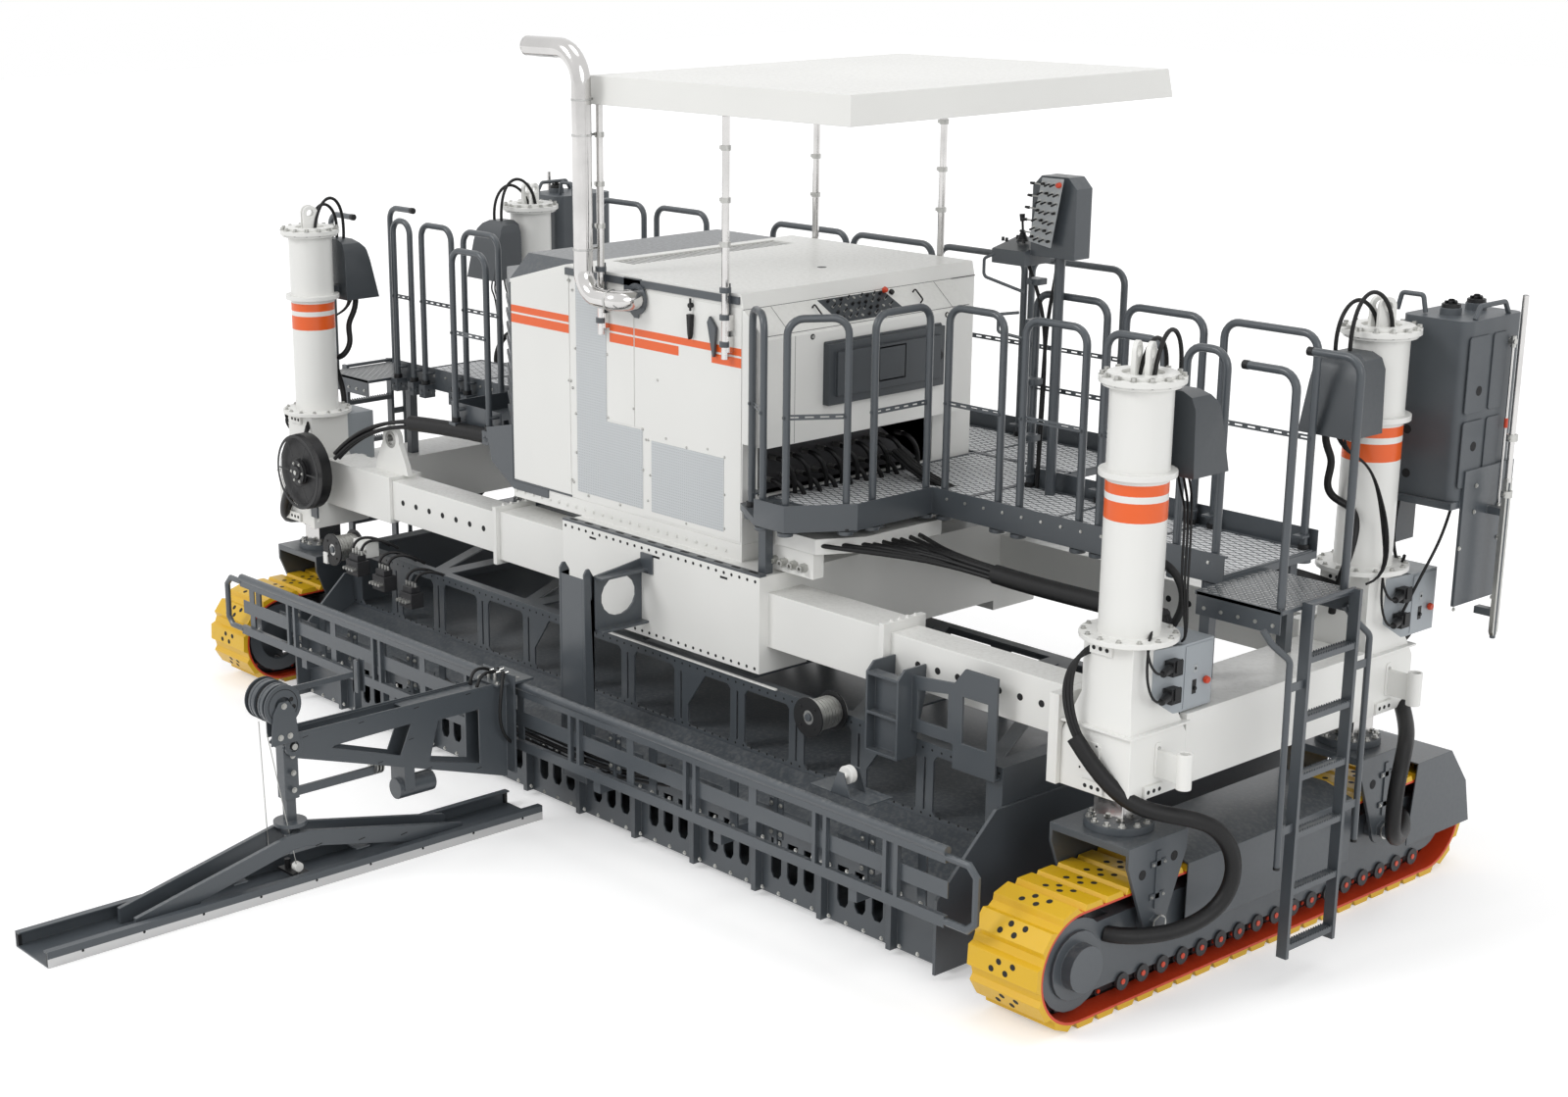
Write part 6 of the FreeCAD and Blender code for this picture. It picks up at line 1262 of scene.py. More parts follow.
def makePlatform():
    lattice = Shape("deck_lattice", width=0)
    light = Shape("deck_lattice_ground", "grating", width=0)
    tread = Shape("landing_tread", "steel", width=0)
    (bottom, top), rim, steps = platform["sheet"], platform["frame"], platform["tread"]
    half, low, high, bar = rim["half"], rim["low"], rim["high"], rim["bar"]
    for x0, x1, y0, y1 in platform["lattice"]:
        light.box((x0, y0, bottom), (x1, y1, top))
        latticeBars(lattice, x0, x1, y0, y1, top)
        for x in (x0, x1):
            lattice.box((x - half, y0, low), (x + half, y1, high))
        for y in (y0, y1):
            lattice.box((x0, y - half, low), (x1, y + half, high))
        for x in row(x0, rim["pitch"], int((x1 - x0) / rim["pitch"]))[1:]:
            lattice.box((x - bar, y0, low), (x + bar, y1, high))
    y0, y1, z = platform["landing"]
    for x0, x1 in platform["landings"]:
        for i, x in enumerate(row(x0 + 0.02, steps["pitch"], steps["across"])):
            for j, y in enumerate(row(y0 + 0.02, steps["pitch"], steps["along"])):
                turn = 1 if (i + j) % 2 else -1
                tread.prism([(x - 0.010, y - 0.010 * turn, z), (x + 0.002, y - 0.003 * turn, z),
                             (x + 0.010, y + 0.010 * turn, z), (x - 0.002, y + 0.003 * turn, z)],
                             (0, 0, steps["rise"]))
    skirts = Shape("landing_skirts")
    bolts = Shape("platform_bolts", "zinc", width=0)
    for _, sign in bothSides:
        skirts.box((sign * 3.61, y0, 1.86), (sign * 4.10, y0 + 0.008, 1.978))
        skirts.box((sign * 3.61, y1 - 0.008, 1.86), (sign * 4.10, y1, 1.978))
        for x in row(3.66, 0.1, 5):
            bolts.bolt((sign * x, y0, 1.90), (0, -1, 0), 0.007, 0.005)
        for x in row(1.75, 0.135, 14):
            bolts.bolt((sign * x, -0.2805, 2.06), (0, -1, 0), 0.006, 0.004)
    rung = platform["rung"]
    for side, sign in bothSides:
        teeth = Shape(side + "_ladder_rungs", "slate", side + "_ladder", 0)
        for z in row(rung["first"], rung["pitch"], rung["count"]):
            for edge in rung["edges"]:
                x = sign * (rung["x"] + edge)
                for y in row(-0.322, 0.0203, rung["teeth"]):
                    teeth.prism([(x, y, z), (x, y + 0.012, z), (x, y + 0.006, z + 0.009)],
                                (sign * 0.006, 0, 0))
    finishShapes()


makePlatform()
print("platform made")

boarding = {
    "near": [(4.08, -0.60, 1.90), (4.105, -0.56, 1.83), (4.149, -0.47, 1.74), (4.149, -0.455, 0.68)],
    "far": [(4.08, 0.05, 1.90), (4.105, 0.10, 1.83), (4.149, 0.18, 1.74), (4.149, 0.19, 0.66)],
    "feet": ((-0.455, 0.68, -0.35), (0.19, 0.66, 0.06)),
    "fixings": (0.86, 1.60),
    "stiles": (-0.35, 0.045),
}


def makeBoarding():
    for side, sign in bothSides:
        body = side + "_ladder"
        routes = [rounded(flipped(boarding[key], sign), (0.05, 0.05)) for key in ("near", "far")]
        tubes(body + "_handrails", "slate", 0.0165, routes, body, sides=4)
        feet = Shape(side + "_handrail_feet", "plastic", body, 0)
        fixings = Shape(body + "_fixings", "slate", body)
        for y, z, stile in boarding["feet"]:
            feet.stud((sign * 4.149, y, z), (0, 0, -0.014), 0.0175, 16)
            for height in boarding["fixings"]:
                fixings.box((sign * 4.148, y, height - 0.022), (sign * 4.154, stile, height + 0.022))
        for stile in boarding["stiles"]:
            for z in row(0.30, 0.16, 9):
                feet.box((sign * 4.1697, stile + 0.004, z), (sign * 4.1702, stile + 0.011, z + 0.05))
        finishShapes()


makeBoarding()

desk = {
    "panel": [(1.845, 3.775), (1.998, 3.777), (1.925, 3.40), (1.765, 3.425)],
    "front": 0.295,
    "thick": 0.004,
    "joystick": (1.63, 0.40, 3.40),
    "keys": ((-0.09, -0.06), (-0.05, -0.075), (0.06, -0.06), (0.075, 0.03), (-0.08, 0.05)),
    "clamps": (2.30, 2.62, 2.95, 3.18),
    "handles": (([(1.52, 0.30, 3.33), (1.46, 0.28, 3.30), (1.46, 0.28, 3.20), (1.74, 0.30, 3.14)],
                 (0.02, 0.03)),
                ([(1.70, 0.31, 3.02), (1.58, 0.28, 3.00), (1.58, 0.28, 2.90), (1.74, 0.31, 2.88)],
                 (0.02, 0.02))),
    "cables": [[(1.85, 0.45, 3.42), (1.84, 0.46, 3.25), (1.80, 0.44, 3.05), (1.80, 0.42, 2.7),
                (1.79, 0.42, 2.3), (1.79, 0.42, 2.02)],
               [(1.62, 0.45, 3.30), (1.66, 0.46, 3.2), (1.80, 0.45, 3.0), (1.82, 0.41, 2.6),
                (1.80, 0.41, 2.03)]],
}


def makeDesk():
    sheet = Shape("desk_panel", "plate", width=0.002)
    knobs = Shape("desk_knobs", "plastic")
    rims = Shape("desk_rims", "zinc", width=0)
    stop = Shape("desk_stop", "red")
    mast = Shape("desk_fittings")
    corners = [(x, desk["front"] - desk["thick"], z) for x, z in desk["panel"]]
    sheet.prism(corners, (0, desk["thick"], 0))
    a, b, c, d = [Vector(corner) for corner in corners]
    for level in range(7):
        for column in range(4):
            u, v = 0.14 + 0.24 * column, 0.09 + 0.137 * level
            spot = a.lerp(b, u).lerp(d.lerp(c, u), v)
            if (level, column) == (0, 3):
                stop.stud(spot, (0, -0.02, 0), 0.016, 16, 0.013)
                continue
            rims.collar(spot, (0, -0.002, 0), 0.012, 0.007, 12)
            if (level + 2 * column) % 3 == 0:
                knobs.stud(spot, (0, -0.020, 0), 0.009, 12, 0.007)
            else:
                knobs.stud(spot, (-0.004, -0.034, -0.008), 0.0045, 8, 0.0065)
    for share in row(0.12, 0.19, 5):
        spot = a.lerp(d, share) + Vector((0.0, 0.03, 0))
        rims.stud(spot, (-0.055, -0.012, 0.004), 0.0045, 8)
        knobs.rod(spot + Vector((-0.055, -0.012, 0.004)), spot + Vector((-0.082, -0.018, 0.006)), 0.009, 10,
                  0.007)
    x, y, z = desk["joystick"]
    for i in range(5):
        knobs.stud((x, y, z + 0.012 * i), (0, 0, 0.012), 0.034 - 0.005 * i, 16, 0.030 - 0.005 * i)
    knobs.rod((x, y, z + 0.055), (x - 0.006, y, z + 0.115), 0.007, 10)
    knobs.rod((x - 0.006, y, z + 0.110), (x - 0.009, y, z + 0.150), 0.013, 12, 0.016)
    for dx, dy in desk["keys"]:
        knobs.stud((x + dx, y + dy, z), (0, 0, 0.022), 0.010, 10, 0.008)
    for z in desk["clamps"]:
        mast.box((1.735, 0.325, z), (1.815, 0.405, z + 0.035))
        mast.bolt((1.775, 0.325, z + 0.018), (0, -1, 0), 0.012, 0.012)
    finishShapes()
    tubes("desk_handles", "slate", 0.009, [rounded(route, bends) for route, bends in desk["handles"]],
          sides=3)
    tubes("desk_cable", "rubber", 0.011, desk["cables"], kind="NURBS", sides=2)


makeDesk()

water = {
    "face": 3.93,
    "ribs": [(y0, y1, z0, z1) for y0, y1 in ((1.20, 1.385), (1.415, 1.545)) for z0,
             z1 in ((2.27, 2.62), (2.66, 3.06))],
    "chamfer": 0.012,
    "proud": 0.008,
    "holes": ((1.314, 2.773), (1.308, 2.482)),
    "rearHoles": ((3.625, 2.542), (3.64, 2.31)),
    "necks": (1.325, 1.56),
    "sight": [(3.93, 1.575, 3.01), (3.953, 1.575, 3.0), (3.953, 1.578, 2.11), (3.93, 1.578, 2.10)],
    "handles": ([(3.455, 1.27, 3.145), (3.475, 1.27, 3.235), (3.60, 1.27, 3.235), (3.62, 1.27, 3.145)],
                [(3.90, 1.28, 3.14), (3.90, 1.32, 3.205), (3.90, 1.55, 3.205), (3.90, 1.59, 3.14)]),
    "drops": ([(3.60, 1.22, 2.20), (3.58, 1.20, 2.02), (3.62, 1.16, 1.86), (3.70, 1.12, 1.80),
               (3.74, 1.08, 1.90)],
              [(3.86, 1.30, 2.19), (3.86, 1.24, 2.02), (3.83, 1.18, 1.88), (3.79, 1.12, 1.72),
               (3.77, 1.06, 1.60)]),
    "mast": (4.04, 1.5),
    "holder": [(-0.026, 2.30), (0.026, 2.30), (0.026, 1.47), (0.012, 1.445), (-0.012, 1.445), (-0.026, 1.47)],
    "bolts": ((1.35, 2.13), (1.35, 2.27), (1.24, 1.95), (1.60, 1.95), (1.24, 1.62), (1.60, 1.62)),
}


def makeWater():
    # near-black discs on the tanks and the holder: painted shade in holes
    dark = Shape("tank_hole_shade", "void", width=0)
    body = Shape("tank_ribs", "tank", width=0.003)
    caps = Shape("tank_caps", "plastic", width=0.002)
    bright = Shape("tank_fittings", "zinc", width=0)
    floatMark = Shape("tank_floats", "red", width=0)
    sight, handles, drops, masts = [], [], [], []
    cut, proud = water["chamfer"], water["proud"]
    for _, sign in bothSides:
        face = sign * water["face"]
        near = min(face, face + sign * proud)
        for y0, y1, z0, z1 in water["ribs"]:
            corners = [(y0 + cut, z0), (y1 - cut, z0), (y1, z0 + cut), (y1, z1 - cut), (y1 - cut, z1),
                       (y0 + cut, z1), (y0, z1 - cut), (y0, z0 + cut)]
            body.prism([(near, y, z) for y, z in corners], (proud, 0, 0))
        for y, z in water["holes"]:
            dark.stud((face + sign * proud, y, z), (sign * 0.001, 0, 0), 0.026, 20)
        for x, z in water["rearHoles"]:
            dark.stud((sign * x, 1.1852, z), (0, -0.001, 0), 0.024, 20)
        for y in water["necks"]:
            x = sign * 3.73
            caps.stud((x, y, 3.14), (0, 0, 0.06), 0.052, 24, 0.048)
            for across, ahead in around(5, 0.026):
                caps.stud((x, y, 3.20), (0, 0, 0.022), 0.018, 12, 0.016)
                caps.box((x + across - 0.007, y + ahead - 0.007, 3.20),
                         (x + across + 0.007, y + ahead + 0.007, 3.214))
        sight.append(rounded(flipped(water["sight"], sign), (0.012, 0.012)))
        for z in (3.0, 2.11):
            bright.stud((face, 1.576, z), (sign * 0.036, 0, 0), 0.016, 12)
            bright.stud((sign * 3.953, 1.576, z - 0.03), (0, 0, 0.06), 0.014, 12)
        floatMark.stud((sign * 3.953, 1.577, 2.545), (0, 0, 0.05), 0.0105, 12)
        handles += [rounded(flipped(route, sign), (0.02, 0.02)) for route in water["handles"]]
        mx, my = sign * water["mast"][0], water["mast"][1]
        for z in (2.2, 2.5):
            bright.collar((mx, my, z), (0, 0, 0.035), 0.030, 0.010, 18)
            bright.bolt((mx, my - 0.028, z + 0.018), (0, -1, 0), 0.007, 0.008)
        bright.prism([(mx - 0.012, my + dy, z) for dy, z in water["holder"]], (0.024, 0, 0))
        for z in (1.52, 1.80, 2.05):
            dark.stud((mx + sign * 0.012, my, z), (sign * 0.001, 0, 0), 0.009, 12)
        masts.append([(mx, my, 2.28), (mx, my, 3.259)])
        drops += [flipped(route, sign) for route in water["drops"]]
        for y, z in water["bolts"]:
            bright.bolt((sign * 3.952, y, z), (sign, 0, 0), 0.008, 0.006)
    finishShapes()
    tubes("tank_masts", "chrome", 0.0165, masts, sides=4)
    tubes("tank_sights", "chrome", 0.0075, sight, sides=2)
    tubes("tank_handles", "tank", 0.013, handles, sides=3)
    tubes("tank_drops", "rubber", 0.009, drops, kind="NURBS", sides=1)


makeWater()
print("desk and tanks made")

trowel = {
    "welds": ((-3.28, 0.856), (-2.911, 0.855), (-2.536, 0.858), (-2.17, 0.861), (-2.578, 0.68),
              (-2.792, 0.59), (-2.456, 0.476), (-2.106, 0.391)),
    "weldFaces": ((-0.1778, 0.0006), (-0.3222, -0.0006)),
    "spool": (-3.43, 1.075),
    "flanges": (-0.352, -0.300, -0.262, -0.212, -0.152),
    "wound": ((-0.348, -0.304), (-0.258, -0.216)),
    "holder": [(-3.46, 1.10), (-3.40, 1.10), (-3.36, 1.04), (-3.34, 0.86), (-3.52, 0.86), (-3.50, 1.04)],
    "holderBolts": ((-3.43, 1.075), (-3.40, 0.90), (-3.46, 0.90)),
    "plates": [((-0.328, -3.29, 1.075), (-0.316, -2.86, 1.108)),
               ((-0.345, -2.845, 0.98), (-0.335, -2.795, 1.17)),
               ((-0.345, -2.845, 0.98), (-0.300, -2.835, 1.17)),
               ((-0.345, -2.805, 0.98), (-0.300, -2.795, 1.17)),
               ((-0.345, -2.845, 0.865), (-0.335, -2.80, 0.985)),
               ((-0.36, -1.99, 0.868), (-0.14, -1.80, 0.880)),
               ((-0.323, -3.30, 0.866), (-0.307, -2.05, 0.874)),
               ((-0.193, -3.30, 0.866), (-0.177, -2.05, 0.874))],
    "bolts": ((-0.335, -1.97), (-0.165, -1.97), (-0.335, -1.82), (-0.165, -1.82)),
    "couplings": ((-0.30, -1.93), (-0.24, -1.93), (-0.27, -1.88), (-0.20, -1.90)),
    "hoses": [
        [(-0.30, -1.93, 0.93), (-0.30, -2.06, 0.99), (-0.29, -2.10, 0.80), (-0.28, -2.0, 0.66),
         (-0.30, -1.90, 0.60)],
        [(-0.24, -1.93, 0.93), (-0.25, -2.04, 0.96), (-0.22, -2.12, 0.78), (-0.20, -2.04, 0.62),
         (-0.21, -1.92, 0.55)],
        [(-0.20, -1.90, 0.93), (-0.12, -1.96, 0.92), (-0.10, -2.02, 0.74), (-0.12, -1.98, 0.58),
         (-0.15, -1.88, 0.50)],
        [(-0.27, -1.88, 0.93), (-0.38, -1.92, 0.90), (-0.40, -1.98, 0.72), (-0.37, -1.94, 0.56),
         (-0.34, -1.87, 0.48)],
    ],
    "wires": (((-0.318, -3.487, 0.954), (-0.318, -3.467, 0.196)),
              ((-0.182, -3.52, 0.93), (-0.182, -3.358, 0.03))),
    "slits": ((-3.455, 0.213), (-3.245, 0.222), (-2.96, 0.182), (-2.672, 0.138)),
    "lugs": ((-4.05, 0.075), (-3.75, 0.12), (-2.95, 0.12), (-2.62, 0.075)),
    "ends": ((-4.948, -4.925), (-1.745, -1.722)),
}


def makeCarriage():
    # near-black pieces on the arm: painted shade along the weld lines, between the spool's flanges, in the
    # groove on its face and in the dots
    dark = Shape("arm_marks", "void", "smoother_carriage", 0)
    arm = Shape("arm_fittings", "slate", "smoother_carriage")
    bright = Shape("arm_bolts", "zinc", "smoother_carriage", 0)
    for y, z in trowel["welds"]:
        for x, outward in trowel["weldFaces"]:
            dark.prism([(x, y - 0.018, z - 0.004), (x, y + 0.018, z), (x, y + 0.018, z + 0.004),
                        (x, y - 0.018, z)],
                       (outward, 0, 0))
    arm.ring((-0.178, -3.36, 0.82), (-0.166, -3.36, 0.82), 0.056, 0.030, 28)
    bright.rod((-0.178, -3.36, 0.82), (-0.158, -3.36, 0.82), 0.022, 18, 0.018)
    y, z = trowel["spool"]
    for x in trowel["flanges"]:
        arm.ring((x - 0.004, y, z), (x + 0.004, y, z), 0.118, 0.05, 36)
    for x0, x1 in trowel["wound"]:
        dark.ring((x0, y, z), (x1, y, z), 0.104, 0.05, 36)
    dark.ring((-0.1478, y, z), (-0.1472, y, z), 0.094, 0.090, 40)
    for dy, dz in ((0.054, 0.028), (0.068, -0.017)):
        dark.rod((-0.148, y + dy, z + dz), (-0.1465, y + dy, z + dz), 0.013, 14)
    arm.prism([(-0.146, y, z) for y, z in trowel["holder"]], (0.008, 0, 0))
    for y, z in trowel["holderBolts"]:
        bright.bolt((-0.138, y, z), (1, 0, 0), 0.012, 0.008)
    for low, high in trowel["plates"]:
        arm.box(low, high)
    for x, y in trowel["bolts"]:
        bright.bolt((x, y, 0.88), (0, 0, 1), 0.011, 0.010)
    for x, y in trowel["couplings"]:
        bright.rod((x, y, 0.88), (x, y, 0.925), 0.012, 10, 0.009)
        bright.rod((x, y, 0.92), (x + 0.03, y + 0.02, 0.935), 0.007, 8)
    finishShapes()
    tubes("carriage_hoses", "rubber", 0.010, trowel["hoses"], "smoother_carriage", kind="NURBS", sides=2)


def makeSmoother():
    lower = Shape("leg_fittings", "zinc", "smoother_leg", 0)
    for z in (0.56, 0.66, 0.76):
        lower.bolt((-0.188, -3.36, z), (1, 0, 0), 0.011, 0.008)
    for i in range(3):
        lower.collar((-0.25 + 0.002 * i, -2.80 + 0.02 * i, 0.555), (0, 0.006, 0), 0.052, 0.02, 20)
    finishShapes()
    flexible("smoother_wires", "zinc", 0.0028, trowel["wires"], ("smoother_leg", "smoother_slide"),
             (-0.25, -3.43, 0.90), (-0.25, -3.43, 0.20), kind="POLY", sides=1)
    pan = Shape("pan_fittings", "slate", "smoother_pan")
    ends = Shape("pan_ends", "plastic", "smoother_pan")
    # near-black slits and dots on the pan: painted shade in its slits and holes
    marks = Shape("pan_slit_shade", "void", "smoother_pan", 0)
    roller = Shape("pan_roller", "white", "smoother_pan", 0.003, 2)
    for y, z in trowel["slits"]:
        slit = [(y - 0.022, z - 0.006), (y + 0.022, z), (y + 0.022, z + 0.005), (y - 0.022, z)]
        marks.prism([(-0.1448, along, up) for along, up in slit], (0.0006, 0, 0))
    for y, z in trowel["lugs"]:
        pan.box((-0.35, y - 0.045, z), (-0.15, y + 0.045, z + 0.01))
    for y0, y1 in trowel["ends"]:
        for x in (-0.448, -0.105):
            ends.box((x, y0, 0.006), (x + 0.023, y1, 0.088))
    ends.box((-0.34, -3.40, 0.055), (-0.16, -3.30, 0.07))
    ends.rod((-0.30, -3.36, 0.07), (-0.30, -3.36, 0.12), 0.018, 14)
    for y in row(-4.75, 0.36, 9):
        marks.rod((-0.0795, y, 0.045), (-0.0790, y, 0.045), 0.008, 10)
    roller.rod((-0.215, -3.36, 0.105), (-0.175, -3.36, 0.105), 0.028, 20)
    finishShapes()


makeCarriage()
makeSmoother()
print("smoother made")

winding = {
    "reel": (-3.275, 1.5),
    "back": -1.3255,
    "drums": ((1.76, "right_wire_drum"), (-2.88, "left_wire_drum")),
    "z": 1.03,
    "loops": [[(-3.60, -0.80, 1.60), (-3.70, -0.92, 1.78), (-3.92, -1.02, 1.80), (-3.93, -1.02, 1.68),
               (-3.70, -1.0, 1.60)],
              [(-3.60, -0.84, 1.62), (-3.66, -1.0, 1.84), (-3.80, -1.06, 1.86), (-3.90, -1.06, 1.74),
               (-3.66, -1.0, 1.64)]],
}


def makeReel():
    x, z = winding["reel"]
    back = winding["back"]
    disc = Shape("reel_disc", "plastic", "cable_reel", 0.002)
    # two thin near-black rings on the reel's back: painted shade in grooves
    marks = Shape("reel_marks", "void", "cable_reel", 0)
    hub = Shape("reel_hub", "zinc", "cable_reel", 0)
    for outer, inner, end, sides in ((0.258, 0.236, -1.330, 64), (0.085, 0.05, -1.334, 40)):
        disc.ring((x, back, z), (x, end, z), outer, inner, sides)
    for outer, inner, sides in ((0.222, 0.217, 56), (0.104, 0.100, 40)):
        marks.ring((x, back, z), (x, -1.3262, z), outer, inner, sides)
    disc.rod((x, -1.325, z), (x, -1.345, z), 0.05, 32, 0.044)
    for i, (across, up) in enumerate(around(6, 0.067)):
        hub.bolt((x + across, -1.334, z + up), (0, -1, 0), 0.007, 0.005)
        spoke = [(radius, 2 * pi * i / 6 + turn) for radius, turn in ((0.11, -0.05), (0.232, -0.025),
                                                                      (0.232, 0.025), (0.11, 0.05))]
        disc.prism([(x + r * math.cos(a), back, z + r * math.sin(a)) for r, a in spoke], (0, -0.004, 0))
    hub.rod((x, -1.345, z), (x, -1.352, z), 0.016, 18)


def makeDrums():
    z = winding["z"]
    for x, body in winding["drums"]:
        wound = Shape(body + "_wound", "zinc", body, 0.0015)
        flange = Shape(body + "_flange", "plastic", body, 0.0015)
        for i, y in enumerate(row(-1.300, 0.0115, 13)):
            wound.ring((x, y - 0.0046, z), (x, y + 0.0046, z), 0.086 + 0.002 * (i % 2), 0.05, 28)
        for y in (-1.325, -1.143):
            flange.ring((x, y - 0.005, z), (x, y + 0.004, z), 0.111, 0.040, 40)
        for across, up in around(4, 0.075, 0.5):
            flange.rod((x + across, -1.3300, z + up), (x + across, -1.3345, z + up), 0.008, 12)
    finishShapes()
    tubes("reel_loops", "rubber", 0.009, winding["loops"], kind="NURBS", sides=1)


makeReel()
makeDrums()

mould = {
    "stations": (-2.72, -2.05, -1.38, -0.70, 0.62, 1.28, 1.95, 2.62),
    "stiffeners": (-3.20, -2.4, -1.7, -1.05, 0.3, 0.95, 1.62, 2.3, 3.0),
    "valves": ((-2.30, -1.30, 0.92), (-2.02, -1.28, 0.86), (-2.55, -1.34, 0.98)),
    "blocks": [((-2.72, -1.26, 1.02), (-2.56, -1.16, 1.13)), ((-2.98, -1.34, 0.92), (-2.93, -1.22, 1.00))],
    "hose": [(-1.25, 0.1, 0.02), (-0.9, 0, -0.02), (-0.4, 0, 0.01), (0.1, 0, -0.01), (0.62, 0, -0.02),
             (0.95, 0.1, 0.02)],
    "stand": [(2.35, 0.876), (2.49, 0.876), (2.44, 1.0), (2.40, 1.0)],
}


def makeMould():
    plates = Shape("mould_plates")
    bolts = Shape("mould_bolts", "zinc", width=0)
    # near-black discs and slots on the mould: painted shade in its holes and slots
    dark = Shape("mould_holes", "void", width=0)
    for x in row(-2.93, 0.0659, 90):
        for z in (0.988, 0.625):
            dark.rod((x, -1.1202, z), (x, -1.1208, z), 0.007, 8)
    for x in mould["stations"]:
        plates.box((x - 0.05, -1.735, 0.50), (x + 0.05, -1.725, 0.72))
        plates.box((x - 0.012, -1.740, 0.44), (x + 0.012, -1.725, 0.80))
        plates.box((x - 0.22, -1.731, 0.585), (x + 0.24, -1.725, 0.665))
        for z in (0.53, 0.69):
            for shift in (-0.035, 0.035):
                bolts.bolt((x + shift, -1.735, z), (0, -1, 0), 0.009, 0.007)
        for shift in (-0.16, 0.17):
            dark.box((x + shift - 0.025, -1.7318, 0.617), (x + shift + 0.025, -1.731, 0.631))
    for x in mould["stiffeners"]:
        plates.box((x - 0.03, -1.738, 0.42), (x + 0.03, -1.725, 0.82))
        for z in (0.47, 0.77):
            bolts.bolt((x, -1.738, z), (0, -1, 0), 0.010, 0.007)
    for x in row(-2.9, 0.128, 46):
        for z in (0.11, 0.40):
            bolts.bolt((x, -1.6005, z), (0, -1, 0), 0.008, 0.006)
    edge = Shape("truss_edge", "white")
    edge.box((-0.35, -1.135, 1.022), (1.30, -1.118, 1.032))


def makeMouldValves():
    valves = Shape("mould_valves", "iron", width=0.003)
    fittings = Shape("mould_fittings", "zinc", width=0)
    pale = Shape("mould_blocks", "white", width=0.003)
    hoses = []
    for x, y, z in mould["valves"]:
        valves.box((x - 0.07, y - 0.05, z - 0.05), (x + 0.07, y + 0.05, z + 0.05))
        valves.box((x - 0.05, y - 0.035, z + 0.05), (x + 0.05, y + 0.035, z + 0.09))
        for fx in row(x - 0.05, 0.033, 4):
            fittings.rod((fx, y - 0.05, z), (fx, y - 0.085, z), 0.011, 6)
            fittings.rod((fx, y, z + 0.09), (fx, y, z + 0.12), 0.009, 6)
        for fx in (x - 0.05, x + 0.05):
            hoses.append([(fx, y, z + 0.12), (fx, y + 0.02, z + 0.20), (fx + 0.07, y + 0.10, z + 0.22),
                          (fx + 0.11, y + 0.22, z + 0.12)])
    for low, high in mould["blocks"]:
        pale.box(low, high)
    for i in range(6):
        fittings.bolt((-2.70 + 0.025 * i, -1.26, 1.05 + 0.02 * (i % 2)), (0, -1, 0), 0.008, 0.01)
        y, z = -1.71 + 0.016 * (i % 2), 0.46 + 0.022 * i
        hoses.append([(x, y + dy, z + dz) for x, dy, dz in mould["hose"]])
    finishShapes()
    tubes("mould_hoses", "rubber", 0.010, hoses, kind="NURBS", sides=1)


def makeGuide():
    pulley = Shape("guide_pulley", "white", width=0.003, segments=2)
    stand = Shape("guide_stand", "slate")
    lever = Shape("guide_lever", "red", width=0)
    pulley.rod((2.42, -1.70, 0.975), (2.42, -1.66, 0.975), 0.048, 28)
    pulley.rod((2.42, -1.727, 0.975), (2.42, -1.63, 0.975), 0.016, 16)
    for y in (-1.735, -1.62):
        stand.prism([(x, y, z) for x, z in mould["stand"]], (0, 0.008, 0))
    stand.box((2.20, -1.735, 0.872), (2.62, -1.56, 0.880))
    lever.rod((2.985, -1.72, 0.60), (3.06, -1.74, 0.62), 0.007, 10)
    lever.rod((3.055, -1.74, 0.619), (3.09, -1.75, 0.628), 0.013, 12)


posts = {
    "feet": ((-0.31, -1.042), (0.77, -1.042), (-0.53, 0.902), (0.55, 0.902)),
    "clamps": (3.42, 3.66, 3.94),
    "eyes": (-0.955, 0.955),
}


def makePosts():
    clamps = Shape("post_clamps", "zinc", width=0)
    eyes = Shape("eye_rings", "zinc", width=0.002)
    for x, y in posts["feet"]:
        for z in posts["clamps"]:
            clamps.collar((x, y, z), (0, 0, 0.028), 0.028, 0.008, 16)
            clamps.box((x - 0.046, y - 0.006, z + 0.004), (x - 0.022, y + 0.006, z + 0.024))
    for y in posts["eyes"]:
        eyes.ring((-2.648, y - 0.024, 1.78), (-2.648, y + 0.024, 1.78), 0.058, 0.036, 28)


makeMould()
makeMouldValves()
makeGuide()
makePosts()
finishShapes()
print("winding and mould made")


studio = {
    "camera": (10.6244, -8.3955, 5.2723),
    "yaw": 0.892646,
    "pitch": 0.291275,
    "roll": -0.012181,
    "lens": 55.68,
    "shift": (0.1224, 0.0466),
    "lamps": {
        "key": ((-0.35, -0.80, 0.62), 0.95, 0.4),
        "fill": ((0.90, -0.25, 0.40), 0.70, 0.6),
        "top": ((0.1, 0.2, 1.0), 0.45, 0.6),
    },
    "sky": 0.66,
    "glow": 0.35,
}


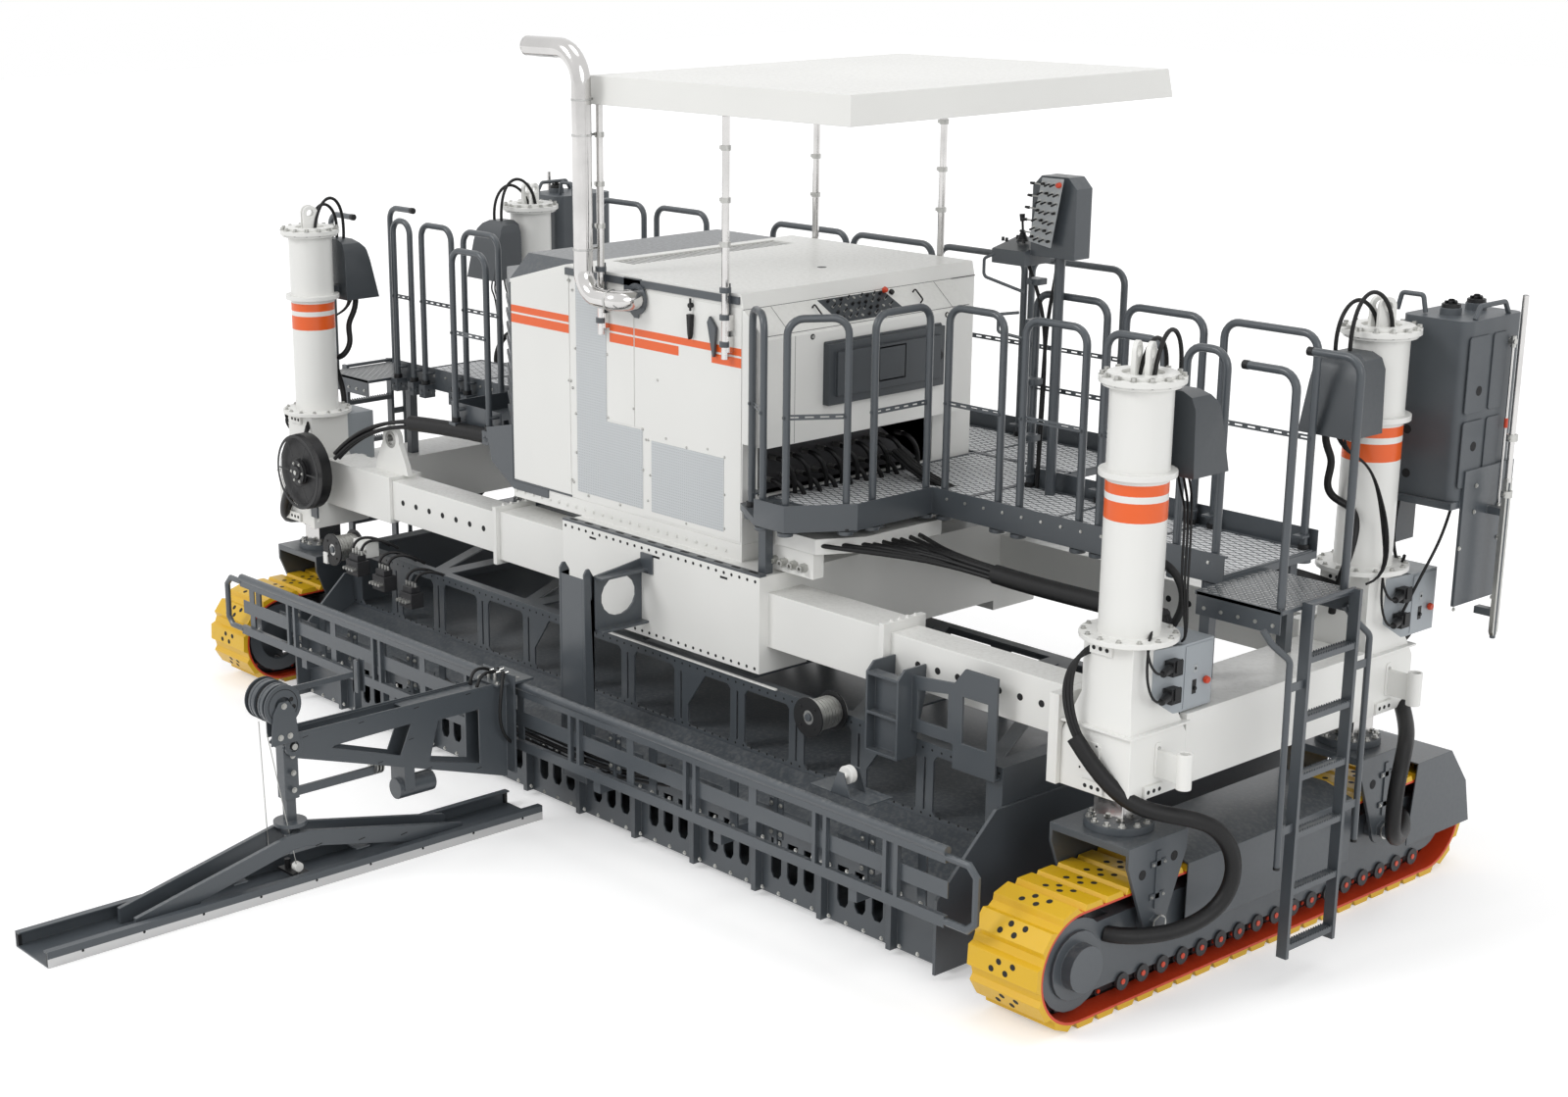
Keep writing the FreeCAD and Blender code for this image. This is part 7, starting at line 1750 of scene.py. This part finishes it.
def makeCamera():
    yaw, pitch, roll = studio["yaw"], studio["pitch"], studio["roll"]
    ahead = Vector((-math.sin(yaw) * math.cos(pitch), math.cos(yaw) * math.cos(pitch), -math.sin(pitch)))
    right = Vector((math.cos(yaw), math.sin(yaw), 0))
    up = right.cross(ahead)
    tilted = math.cos(roll) * right + math.sin(roll) * up
    lifted = math.cos(roll) * up - math.sin(roll) * right
    turn = Matrix((tilted, lifted, -ahead)).transposed().to_4x4()
    data = bpy.data.cameras.new("camera")
    data.lens = studio["lens"]
    data.sensor_width = 36
    data.shift_x, data.shift_y = studio["shift"]
    data.clip_end = 200
    camera = bpy.data.objects.new("camera", data)
    camera.matrix_world = Matrix.Translation(studio["camera"]) @ turn
    bpy.context.scene.collection.objects.link(camera)
    bpy.context.scene.camera = camera


def seenRay(f):
    # 1 for what the camera sees, straight or in a shiny or clear surface
    rays = f.add("ShaderNodeLightPath", {}, {}, "Is Camera Ray")
    node = rays.socket.node
    return rays + Wire(f, node.outputs["Is Glossy Ray"]) + Wire(f, node.outputs["Is Transmission Ray"])


def makeStudio():
    for name, (direction, strength, spread) in studio["lamps"].items():
        lamp = bpy.data.lights.new(name, "SUN")
        lamp.energy = strength
        lamp.angle = spread
        thing = bpy.data.objects.new(name, lamp)
        thing.rotation_euler = Vector(direction).to_track_quat("Z", "Y").to_euler()
        bpy.context.scene.collection.objects.link(thing)
    world = bpy.data.worlds.new("world")
    bpy.context.scene.world = world
    f = Finish("sky", world)
    back = f.tree.nodes["Background"]
    f.put(back.inputs["Strength"], f.span(seenRay(f), 0, 1, studio["sky"], 1.0))
    f.put(back.inputs["Color"], (1, 1, 1))
    bpy.ops.mesh.primitive_plane_add(size=120, location=(0, 0, -0.001))
    floor = bpy.context.object
    floor.name = "floor"
    f = Finish("paleFloor")
    f.dress(BaseColor=(0.80, 0.80, 0.80), Roughness=0.9)
    glow = f.add("ShaderNodeEmission", {}, {"Strength": f.span(seenRay(f), 0, 1, 0, studio["glow"])})
    both = f.add("ShaderNodeAddShader", {}, {0: Wire(f, f.shader.outputs[0]), 1: glow})
    f.put(f.tree.nodes["Material Output"].inputs["Surface"], both)
    floor.data.materials.append(f.material)


makeCamera()
makeStudio()
bpy.context.scene.view_settings.view_transform = "Standard"
print("studio set")
